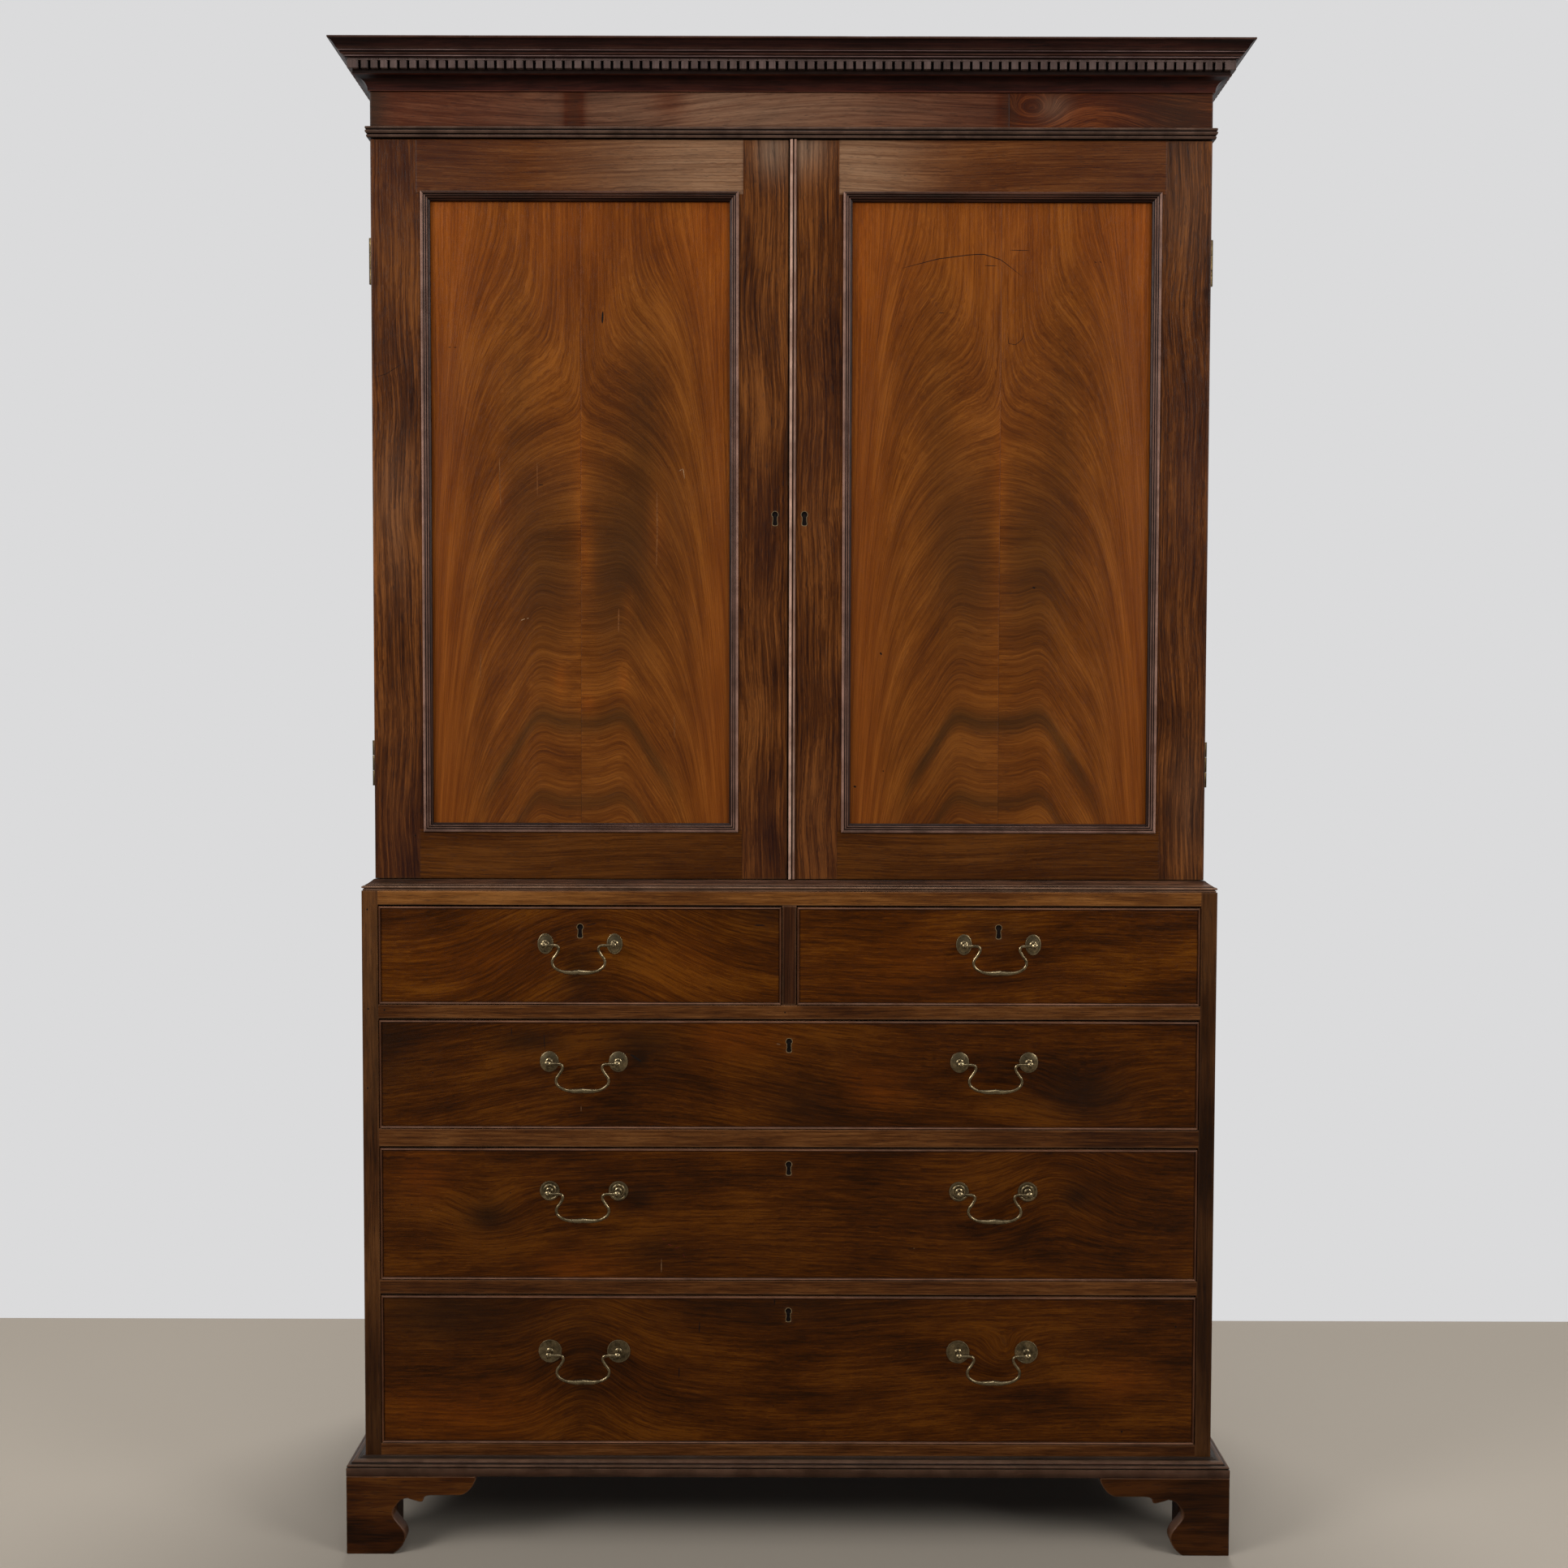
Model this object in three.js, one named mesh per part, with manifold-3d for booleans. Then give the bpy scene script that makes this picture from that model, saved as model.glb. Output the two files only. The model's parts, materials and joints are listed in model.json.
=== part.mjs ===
import * as THREE from 'three';
import { mergeVertices } from 'three/addons/utils/BufferGeometryUtils.js';
import Module from 'manifold-3d';

// Linen press: a press cupboard with two panelled doors and sliding trays stands on a chest of
// five drawers with bracket feet. Millimetres, +Z up, the front faces -Y and +X is to the right.
// The origin lies on the floor under the middle of the whole piece.

const wasm = await Module();
wasm.setup();

// Driving dimensions of the two cases
const chestWidth = 1200;
const chestDepth = 560;
const footHeight = 111;
const pressSetback = 16;
const doorHeight = 1027.5;
const doorThickness = 22;
const friezeHeight = 48;
const corniceReach = 47;

// Working clearances
const seat = 0.3;
const doorGap = 1;
const meetingGap = 1.5;
const drawerSideGap = 1;
const drawerTopGap = 2;
const drawerBottomGap = 0.6;
const overrun = 2;

// Boards of the chest
const chestSideThickness = 23;
const boardThickness = 18;
const backThickness = 12;
const backRebate = 8;
const housingDepth = 6;
const railDepth = 55;
const dustBoardThickness = 10;
const dividerWidth = 20;
const bottomRailShow = 17;
const topRailHeight = 20;

// Rows of the chest: the clear opening of each, and the rail over it. The drops run down from the
// top of the drawer front to its handle posts and to its keyhole.
const bottomOpening = 214;
const bottomRowRail = 21;
const bottomPostDrop = 79;
const bottomKeyDrop = 27;
const thirdOpening = 189.5;
const thirdRowRail = 26;
const thirdPostDrop = 60;
const thirdKeyDrop = 28;
const secondOpening = 155.5;
const secondRowRail = 20.5;
const secondPostDrop = 58;
const secondKeyDrop = 35;
const topOpening = 140;
const topPostDrop = 52;
const topKeyDrop = 33;

const row = (names, opening, rail, postDrop, keyDrop) => ({ names, opening, rail, postDrop, keyDrop });
const rows = [
  row(['bottom_drawer'], bottomOpening, bottomRowRail, bottomPostDrop, bottomKeyDrop),
  row(['third_drawer'], thirdOpening, thirdRowRail, thirdPostDrop, thirdKeyDrop),
  row(['second_drawer'], secondOpening, secondRowRail, secondPostDrop, secondKeyDrop),
  row(['top_left_drawer', 'top_right_drawer'], topOpening, 0, topPostDrop, topKeyDrop),
];

// Drawers
const frontThickness = 22;
const beadWidth = 3;
const beadReach = 1.6;
const drawerSideThickness = 11;
const drawerSideLap = 14;
const drawerBottomThickness = 8;
const drawerBottomRise = 6;
const drawerBottomGroove = 7;
const drawerBackThickness = 11;
const drawerBackGap = 12;
const drawerSideDrop = 8;

// Swan-neck handles: two posts with oval rosettes and a bail hung between their heads
const postSpacing = 97;
const rosetteWidth = 22;
const rosetteHeight = 29;
const rosetteThickness = 2.4;
const stemRadius = 2.8;
const headRadius = 4.6;
const pivotReach = 18;
const headFrontReach = 5;
const pinClearance = 0.35;
const pinInsert = 2.6;
const bailDrop = 38;
const bailRadius = 2;
const gripRadius = 3.4;
const gripLength = 46;

// Base moulding and bracket feet
const baseMouldingHeight = 22;
const baseReach = 22;
const footWidth = 182;
const bracketThickness = 22;
const cornerBlock = 44;
const cornerBlockLift = 6;

// Press cupboard
const pressSideThickness = 19;
const waistHeight = 15;
const neckHeight = 16;
const neckReach = 6;
const trayNames = ['linen_tray_1', 'linen_tray_2', 'linen_tray_3', 'linen_tray_4'];
const traySideHeight = 95;
const trayFrontHeight = 62;
const trayBoard = 10;
const trayBottomThickness = 9;
const trayTongue = 5;
const trayGrooveDepth = 6;
const trayGrooveGap = 0.4;
const traySideGap = 1.5;
const trayFrontGap = 10;
const trayBackGap = 6;

// Doors
const stileWidth = 69;
const doorTopRail = 70.5;
const doorBottomRail = 65.5;
const panelMouldingWidth = 13;
const panelMouldingRise = 3;
const panelMouldingLap = 4;
const panelRecess = 6;
const panelThickness = 8;
const panelTongue = 6;
const meetingBeadWidth = 10;
const meetingBeadRise = 4;
const meetingStileExtra = 5.5;
const doorKeyInset = 18;
const doorKeyHeight = 506;

// Keyholes
const keyRadius = 3.1;
const keySlotWidth = 3.8;
const keySlotLength = 14;

// Butt hinges of the doors
const hingeLength = 64;
const hingeLeafWidth = 15;
const hingeLeafThickness = 1.5;
const barrelRadius = 3.6;
const hingePinRadius = 1.6;
const hingePinClearance = 0.35;
const knuckleGap = 0.4;
const knuckleCount = 3;
const barrelOutset = 0.6;
const hingeInset = 130;
const leafSplit = 0.3;

// Cornice
const corniceWall = 18;
const coveHeight = 17.5;
const coveReach = 23;
const dentilBandHeight = 20;
const dentilReach = 25;
const dentilPitch = 13.3;
const dentilSlotWidth = 4;
const dentilSlotDepth = 6;
const crownHeight = 21;
const corniceRearRail = 20;

// Profiles as shares of each moulding's reach and height. Two numbers end a straight line, four
// hold a curve's control point and its end.
const baseProfileShares = [
  [1, 0], [1, 0.54], [0.93, 0.54], [0.93, 0.72, 0.72, 0.73],
  [0.64, 0.73], [0.62, 0.93, 0.3, 0.93], [0.16, 0.93], [0.14, 1], [0, 1],
];
const waistProfileShares = [
  [1, 0], [1.06, 0.1, 1, 0.2], [0.92, 0.22], [0.96, 0.36, 0.84, 0.42], [0.5, 0.5], [0.36, 0.9, 0.1, 1],
];
const neckProfileShares = [
  [0.45, 0], [0.8, 0.1, 0.7, 0.28], [0.5, 0.32], [1.15, 0.5, 1, 0.66], [0.9, 0.72],
  [1.05, 0.84, 0.95, 0.94], [0.3, 1],
];
const coveProfileShares = [
  [0, 0], [0.1, 0], [0.1, 0.1], [0.12, 0.72, 0.86, 0.86], [0.86, 1],
];
const crownProfileShares = [
  [0.08, 0], [0.08, 0.08], [0.42, 0.1, 0.42, 0.27], [0.5, 0.27], [0.5, 0.33],
  [0.62, 0.33, 0.7, 0.56], [0.82, 0.84, 1, 0.86], [1, 1],
];
const panelMouldingShares = [
  [0, 0], [0, 1, 0.2, 1], [0.34, 0.9, 0.36, 0.5], [0.4, 0.8, 0.56, 0.6], [0.66, 0.5, 0.66, 0],
  [0.72, 0.1, 0.84, -0.3], [0.96, -0.5, 1, -0.9],
];
const meetingBeadShares = [
  [0, 0], [0, 1, 0.25, 1], [0.5, 1, 0.5, 0.35], [0.5, 1, 0.75, 1], [1, 1, 1, 0],
];
const footOutlineShares = [
  [0, 0], [0, 1], [1, 1], [1, 0.955], [0.955, 0.78, 0.88, 0.757], [0.66, 0.757],
  [0.6, 0.757, 0.592, 0.67], [0.52, 0.69, 0.475, 0.715], [0.42, 0.72, 0.387, 0.63],
  [0.335, 0.54, 0.372, 0.46], [0.4, 0.4, 0.43, 0.34], [0.47, 0.25, 0.448, 0.163], [0.42, 0.06, 0.358, 0],
];
const rearBracketShares = [[0, 0], [0, 1], [0.75, 1], [0.75, 0.8], [0.36, 0]];
const rosetteShares = [[1, 0.35], [0.62, 0.9], [0, 1]];
const headShares = [[1, 0.26], [1, 0.7], [0.45, 0.82], [0.4, 0.95], [0, 1]];
const bailPathShares = [
  [0.72, 0], [0.63, -0.07], [0.655, -0.24], [0.76, -0.43], [0.785, -0.62], [0.71, -0.79],
  [0.51, -0.955], [0.26, -1], [0, -0.99],
];
const handleSpreadShare = 0.5;
const firstTrayShare = 0.12;
const keyInsetShare = 0.36;
const dentilSlotRiseShare = 0.78;

// Facets of round work
const curveSteps = 3;
const tubeSides = 6;
const bailSteps = 36;
const turnedSides = 10;
const barrelSides = 12;
const keySides = 8;

// Levels worked out from the sizes above
const half = (value) => value / 2;
const chestHalf = half(chestWidth);
const pressHalf = chestHalf - pressSetback;
const baseTop = footHeight + baseMouldingHeight;
const firstRunner = baseTop + bottomRailShow;
let stackTop = firstRunner;
for (const level of rows) {
  level.bottom = stackTop;
  level.top = level.bottom + level.opening;
  stackTop = level.top + level.rail;
}
const chestOpeningTop = stackTop;
const chestTop = chestOpeningTop + topRailHeight;
const waistTop = chestTop + waistHeight;
const doorBottom = waistTop + doorGap;
const doorTop = doorBottom + doorHeight;
const neckBottom = doorTop + doorGap;
const pressTop = neckBottom + neckHeight;
const friezeTop = pressTop + friezeHeight;
const coveTop = friezeTop + coveHeight;
const dentilTop = coveTop + dentilBandHeight;
const corniceTop = dentilTop + crownHeight;

// Depths, with the front most reach found so that the origin stays central
const handleReach = pivotReach + headFrontReach;
const frontReach = Math.max(corniceReach - pressSetback, baseReach, handleReach);
const backY = half(chestDepth + frontReach);
const chestFront = backY - chestDepth;
const pressFront = chestFront + pressSetback;
const doorBack = pressFront + doorThickness;
const caseFront = doorBack + doorGap;
const openingHalf = chestHalf - chestSideThickness;
const pressOpeningHalf = pressHalf - pressSideThickness;

// Hinge axes of the doors, and the foot of each hinge
const hingeY = doorBack + half(doorGap);
const hingeX = pressHalf + barrelOutset + barrelRadius;
const hingeLevels = [doorBottom + hingeInset, doorTop - hingeInset - hingeLength];

// Finishes seen in the photograph
const finish = (color, roughness, metalness = 0) =>
  new THREE.MeshStandardMaterial({ color, roughness, metalness });
const mahogany = finish(0x5a2f1c, 0.35);
const darkMahogany = finish(0x33190f, 0.35);
const flameVeneer = finish(0x8a4a22, 0.3);
const deal = finish(0xa9855a, 0.7);
const oak = finish(0x8c6a42, 0.65);
const brass = finish(0x6d5a35, 0.4, 1);

// Solid work: a closed geometry becomes a solid, is joined or cut, and goes back to a mesh
function solid(geometry) {
  const bare = geometry.clone();
  bare.deleteAttribute('normal');
  bare.deleteAttribute('uv');
  const merged = mergeVertices(bare);
  return new wasm.Manifold(new wasm.Mesh({
    numProp: 3,
    vertProperties: Float32Array.from(merged.attributes.position.array),
    triVerts: Uint32Array.from(merged.index.array),
  }));
}

const join = (parts) => parts.reduce((whole, part) => whole.add(part));
const cut = (body, tools) => tools.reduce((rest, tool) => rest.subtract(tool), body);

function toMesh(name, body, material) {
  const data = body.getMesh();
  const geometry = new THREE.BufferGeometry();
  geometry.setAttribute('position', new THREE.BufferAttribute(data.vertProperties, 3));
  geometry.setIndex(new THREE.BufferAttribute(data.triVerts, 1));
  geometry.computeVertexNormals();
  const mesh = new THREE.Mesh(geometry, material);
  mesh.name = name;
  return mesh;
}

// Square-edged board between two corners
function board([x0, x1], [y0, y1], [z0, z1]) {
  const geometry = new THREE.BoxGeometry(x1 - x0, y1 - y0, z1 - z0);
  geometry.translate(half(x0 + x1), half(y0 + y1), half(z0 + z1));
  return solid(geometry);
}

const about = (middle, width) => [middle - half(width), middle + half(width)];

// Mirrored copy of an [inner, outer] span for the left or the right side
const sided = (side, inner, outer) => (side < 0 ? [-outer, -inner] : [inner, outer]);

// Sweep of a closed section through mitred stations. place(station, point) gives the corner
// position of each section point, and a run that doesn't close gets a flat cap at each end.
function sweep(section, stations, place, closed) {
  const ring = THREE.ShapeUtils.isClockWise(section) ? section.slice().reverse() : section;
  const count = ring.length;
  const positions = stations.flatMap((s) => ring.flatMap((p) => place(s, p)));
  const index = [];
  const runs = closed ? stations.length : stations.length - 1;
  for (let s = 0; s < runs; s += 1) {
    const from = s * count;
    const to = ((s + 1) % stations.length) * count;
    for (let i = 0; i < count; i += 1) {
      const j = (i + 1) % count;
      index.push(from + j, from + i, to + i, from + j, to + i, to + j);
    }
  }
  if (!closed) {
    const last = (stations.length - 1) * count;
    for (const [a, b, c] of THREE.ShapeUtils.triangulateShape(ring, [])) {
      index.push(a, b, c, last + c, last + b, last + a);
    }
  }
  const geometry = new THREE.BufferGeometry();
  geometry.setAttribute('position', new THREE.Float32BufferAttribute(positions, 3));
  geometry.setIndex(index);
  return solid(geometry);
}

const point = (x, y) => new THREE.Vector2(x, y);

// Shape from shares of a width and a height. An entry of two numbers is a straight line's end,
// and one of four is a curve: its control point and its end.
function shapeFrom(shares, [x0, width], [y0, height]) {
  const shape = new THREE.Shape();
  const at = (sx, sy) => [x0 + sx * width, y0 + sy * height];
  shares.forEach(([a, b, c, d], i) => {
    if (i === 0) shape.moveTo(...at(a, b));
    else if (c === undefined) shape.lineTo(...at(a, b));
    else shape.quadraticCurveTo(...at(a, b), ...at(c, d));
  });
  return shape;
}

const outlineFrom = (shares, across, up) => shapeFrom(shares, across, up).getPoints(curveSteps);

// Moulding along both sides and the front of a case, with its back wall as given. A face point's
// x is how far it stands out from the case.
function wrap(face, wall, caseAt) {
  const low = face[0].y;
  const high = face[face.length - 1].y;
  const walls = [high, low].map((z) => Object.assign(point(wall.side, z), { front: wall.front }));
  const stations = [[-1, true], [-1, false], [1, false], [1, true]];
  const position = ([side, rear], p) => {
    const front = p.front === undefined ? p.x : p.front;
    return [side * (caseAt.half + p.x), rear ? backY : caseAt.front - front, p.y];
  };
  return sweep([...face, ...walls], stations, position, false);
}

// Moulding round the four sides of an opening. A section point's x is measured inwards from the
// outer edge, and its y is the depth behind the face.
function frameRound(section, [x0, x1], [z0, z1], faceY) {
  const stations = [[x0, z0, 1, 1], [x1, z0, -1, 1], [x1, z1, -1, -1], [x0, z1, 1, -1]];
  const position = ([x, z, sx, sz], p) => [x + sx * p.x, faceY + p.y, z + sz * p.x];
  return sweep(section, stations, position, true);
}

// Flat outline in the XZ plane, given its thickness from y0 towards the back
function slab(shape, y0, thickness) {
  const geometry = new THREE.ExtrudeGeometry(shape, { depth: thickness, bevelEnabled: false });
  geometry.rotateX(half(Math.PI));
  geometry.translate(0, y0 + thickness, 0);
  return geometry;
}

// Turned piece from [radius, distance] pairs, standing along its axis
function turned(profile, axis, sides) {
  const geometry = new THREE.LatheGeometry(profile.map(([r, d]) => point(r, d)), sides);
  if (axis === 'right') geometry.rotateZ(-half(Math.PI));
  if (axis === 'up') geometry.rotateX(half(Math.PI));
  if (axis === 'forward') geometry.rotateX(Math.PI);
  return geometry;
}

const rod = (radius, length, axis, sides) =>
  turned([[0, 0], [radius, 0], [radius, length], [0, length]], axis, sides);

const at = (geometry, x, y, z) => solid(geometry.translate(x, y, z));

// Keyhole: a round hole with a slot below it, cut right through a board
function keyholeCutter(x, z, faceY, thickness) {
  const start = -Math.acos(half(keySlotWidth) / keyRadius);
  const shape = new THREE.Shape();
  shape.moveTo(half(keySlotWidth), -keySlotLength);
  shape.absarc(0, 0, keyRadius, start, Math.PI - start, false);
  shape.lineTo(-half(keySlotWidth), -keySlotLength);
  const outline = new THREE.Shape(shape.getPoints(keySides));
  return at(slab(outline, faceY - overrun, thickness + 2 * overrun), x, 0, z);
}

const press = new THREE.Group();
const place = (name, body, material) => press.add(toMesh(name, body, material));

// Side of either case: a board with a housing cut for each board end, and a rebate for the back
function caseSide(side, inner, outer, frontY, [low, high], houses) {
  const tools = houses.map((house) => board(sided(side, inner - overrun, inner + house.depth),
    [frontY - overrun, backY - backThickness], house.span));
  tools.push(board(sided(side, inner - overrun, inner + backRebate),
    [backY - backThickness, backY + overrun], [low - overrun, high + overrun]));
  return cut(board(sided(side, inner, outer), [frontY, backY], [low, high]), tools);
}

const joined = openingHalf + housingDepth - seat;
const carcassRear = backY - backThickness - seat;

// Shelf under a row: a deep front rail with a thinner dust board behind it, flush on top
function drawerShelf(name, low, high) {
  const railBack = chestFront + railDepth;
  const rail = board([-joined, joined], [chestFront, railBack], [low + seat, high - seat]);
  const dustBoard = board([-joined, joined], [railBack - overrun, carcassRear],
    [high - seat - dustBoardThickness, high - seat]);
  place(name, rail.add(dustBoard), mahogany);
}

function chestCase() {
  const shelves = rows.slice(0, -1);
  const houses = [
    [firstRunner - boardThickness, firstRunner],
    ...shelves.map((level) => [level.top, level.top + level.rail]),
    [chestOpeningTop, chestTop + overrun],
  ].map((span) => ({ span, depth: housingDepth }));
  for (const [name, side] of [['chest_side_left', -1], ['chest_side_right', 1]]) {
    place(name, caseSide(side, openingHalf, chestHalf, chestFront,
      [footHeight + seat, chestTop], houses), mahogany);
  }
  place('chest_top_board', board([-joined, joined], [chestFront, carcassRear],
    [chestOpeningTop + seat, chestTop]), mahogany);
  const floor = board([-joined, joined], [chestFront, carcassRear],
    [firstRunner - boardThickness + seat, firstRunner - seat]);
  const apron = board([-openingHalf + seat, openingHalf - seat],
    [chestFront, chestFront + boardThickness], [footHeight + seat, firstRunner - half(boardThickness)]);
  place('chest_bottom_board', floor.add(apron), mahogany);
  const backReach = openingHalf + backRebate - seat;
  place('chest_back', board([-backReach, backReach], [backY - backThickness, backY],
    [footHeight + seat, chestTop]), deal);
  shelves.forEach((level, i) =>
    drawerShelf(`drawer_shelf_${i + 1}`, level.top, level.top + level.rail));
  const topRow = rows[rows.length - 1];
  place('drawer_divider', board(about(0, dividerWidth), [chestFront, carcassRear],
    [topRow.bottom, topRow.top]), mahogany);
}

// Base moulding: a plain band with an astragal, an ovolo and a fillet stepping in above it
function baseMoulding() {
  const face = outlineFrom(baseProfileShares, [seat, baseReach - seat],
    [footHeight + seat, baseMouldingHeight - seat]);
  place('base_moulding', wrap(face, { side: seat, front: seat },
    { half: chestHalf, front: chestFront }), darkMahogany);
}

// Bracket foot: two shaped brackets that meet at the corner, and a block glued behind them
function bracketFoot(name, side, isFront) {
  const outer = chestHalf + baseReach;
  const cornerY = isFront ? chestFront - baseReach : backY;
  const inwards = isFront ? 1 : -1;
  const shares = isFront ? footOutlineShares : rearBracketShares;
  const along = outlineFrom(footOutlineShares, [0, footWidth], [0, footHeight]);
  const across = outlineFrom(shares, [0, footWidth], [0, footHeight]);
  const mirrored = across.map((p) => point(side * (outer - p.x), p.y));
  const facing = slab(new THREE.Shape(mirrored), isFront ? cornerY : cornerY - bracketThickness,
    bracketThickness);
  const flank = new THREE.ExtrudeGeometry(
    new THREE.Shape(along.map((p) => point(cornerY + inwards * p.x, p.y))),
    { depth: bracketThickness, bevelEnabled: false });
  flank.rotateX(half(Math.PI)).rotateZ(half(Math.PI));
  flank.translate(side < 0 ? -outer : outer - bracketThickness, 0, 0);
  const blockEnd = bracketThickness + cornerBlock;
  const blockY = [cornerY + inwards * half(bracketThickness), cornerY + inwards * blockEnd];
  const block = board(sided(side, outer - blockEnd, outer - half(bracketThickness)),
    blockY.sort((a, b) => a - b), [cornerBlockLift, footHeight]);
  place(name, join([solid(facing), solid(flank), block]), darkMahogany);
}

// Drawer front: a board with a raised bead round its edge, housed behind for the box, with the
// posts and rosettes of its handles fixed in it
function drawerFront(drawer) {
  const { x, z } = drawer;
  const rear = chestFront + frontThickness;
  const plank = board(x, [chestFront, rear], z);
  const bead = cut(board(x, [chestFront - beadReach, chestFront + overrun], z),
    [board([x[0] + beadWidth, x[1] - beadWidth], [chestFront - overrun, rear],
      [z[0] + beadWidth, z[1] - beadWidth])]);
  const lap = [rear - drawerSideLap, rear + overrun];
  const lapWidth = drawerSideThickness + seat;
  const groove = board([x[0] + half(lapWidth), x[1] - half(lapWidth)],
    [rear - drawerBottomGroove, rear + overrun],
    [z[0] + drawerBottomRise - seat, z[0] + drawerBottomRise + drawerBottomThickness + seat]);
  const tools = [
    board([x[0] - overrun, x[0] + lapWidth], lap, [z[0] - overrun, z[1] - drawerSideDrop + seat]),
    board([x[1] - lapWidth, x[1] + overrun], lap, [z[0] - overrun, z[1] - drawerSideDrop + seat]),
    groove,
    keyholeCutter(half(x[0] + x[1]), z[1] - drawer.keyDrop, chestFront, frontThickness),
  ];
  const posts = drawer.handles.flatMap((handle) => [-1, 1].map((side) =>
    handlePost(handle.x + side * half(postSpacing), drawer.postZ, side)));
  place(`${drawer.name}_front`, join([cut(plank.add(bead), tools), ...posts]), mahogany);
}

// Post of a handle: a domed oval rosette, a stem and a turned head bored for the bail's pin
function handlePost(x, z, side) {
  const radius = half(rosetteWidth);
  const rosette = turned([[0, -overrun], [radius, -overrun],
    ...rosetteShares.map(([r, d]) => [r * radius, d * rosetteThickness])], 'forward', turnedSides);
  rosette.scale(1, 1, rosetteHeight / rosetteWidth);
  const shank = pivotReach - headRadius;
  const stem = turned([[0, -overrun], [stemRadius, -overrun], [stemRadius, shank],
    ...headShares.map(([r, d]) => [r * headRadius, shank + d * (headRadius + headFrontReach)])],
  'forward', turnedSides);
  const boreDepth = pinInsert + pinClearance;
  const bore = rod(bailRadius + pinClearance, boreDepth + overrun, 'right', turnedSides);
  const boreStart = side < 0 ? headRadius - boreDepth : -headRadius - overrun;
  const post = at(rosette, x, chestFront, z).add(at(stem, x, chestFront, z));
  return post.subtract(at(bore, x + boreStart, chestFront - pivotReach, z));
}

// Bail: a swan-neck rod that runs from pin to pin and swells into a grip in the middle
function bail(name, x, z) {
  const reach = half(postSpacing);
  const pinEnd = reach - headRadius + pinInsert;
  const arm = bailPathShares.map(([sx, sz]) => [sx * reach, sz * bailDrop]);
  const left = [[pinEnd, 0], ...arm].map(([dx, dz]) => new THREE.Vector3(-dx, 0, dz));
  const right = left.slice(0, -1).reverse().map((v) => new THREE.Vector3(-v.x, 0, v.z));
  const path = new THREE.CatmullRomCurve3([...left, ...right]);
  const circle = Array.from({ length: tubeSides }, (_, i) => {
    const turn = (i / tubeSides) * 2 * Math.PI;
    return point(Math.cos(turn), Math.sin(turn));
  });
  const swell = (dx, dz) => {
    const offset = Math.min(1, Math.abs(dx) / half(gripLength));
    const onGrip = dz < -half(bailDrop) ? Math.cos(half(Math.PI) * offset) : 0;
    return bailRadius + (gripRadius - bailRadius) * onGrip;
  };
  const stations = Array.from({ length: bailSteps + 1 }, (_, i) => i / bailSteps);
  const position = (u, p) => {
    const centre = path.getPointAt(u);
    const along = path.getTangentAt(u);
    const radius = swell(centre.x, centre.z);
    return [x + centre.x - along.z * p.x * radius, chestFront - pivotReach + p.y * radius,
      z + centre.z + along.x * p.x * radius];
  };
  place(name, sweep(circle, stations, position, false), brass);
}

// Drawer box: two sides, a back and a bottom, lapped into the drawer front
function drawerBox(drawer) {
  const [x0, x1] = drawer.x;
  const low = drawer.z[0];
  const high = drawer.z[1] - drawerSideDrop;
  const rear = carcassRear - drawerBackGap;
  const frontRear = chestFront + frontThickness;
  const sideY = [frontRear - drawerSideLap + seat, rear];
  const bottomZ = [low + drawerBottomRise, low + drawerBottomRise + drawerBottomThickness];
  const inner = [x0 + drawerSideThickness, x1 - drawerSideThickness];
  place(`${drawer.name}_box`, join([
    board([x0, inner[0]], sideY, [low, high]),
    board([inner[1], x1], sideY, [low, high]),
    board([inner[0] - overrun, inner[1] + overrun], [rear - drawerBackThickness, rear], [low, high]),
    board([inner[0] - overrun, inner[1] + overrun],
      [frontRear - drawerBottomGroove + seat, rear - overrun], bottomZ),
  ]), oak);
}

function drawers() {
  for (const level of rows) {
    const isPair = level.names.length > 1;
    level.names.forEach((name, i) => {
      const side = isPair ? 2 * i - 1 : 0;
      const span = isPair ? sided(side, half(dividerWidth), openingHalf) : [-openingHalf, openingHalf];
      const x = [span[0] + drawerSideGap, span[1] - drawerSideGap];
      const z = [level.bottom + drawerBottomGap, level.top - drawerTopGap];
      const handles = isPair
        ? [{ x: half(x[0] + x[1]), name: `${name}_bail` }]
        : [-1, 1].map((s) => ({
          x: s * handleSpreadShare * openingHalf,
          name: `${name}_${s < 0 ? 'left' : 'right'}_bail`,
        }));
      const drawer = { name, x, z, handles, keyDrop: level.keyDrop, postZ: z[1] - level.postDrop };
      drawerFront(drawer);
      drawerBox(drawer);
      handles.forEach((handle) => bail(handle.name, handle.x, drawer.postZ));
    });
  }
}

// Press cupboard case, with a groove in each side for every tray
const trayLevels = trayNames.map((name, i) => {
  const low = chestTop + boardThickness;
  const clear = pressTop - boardThickness - low;
  return low + (i + firstTrayShare) * (clear / trayNames.length);
});

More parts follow.
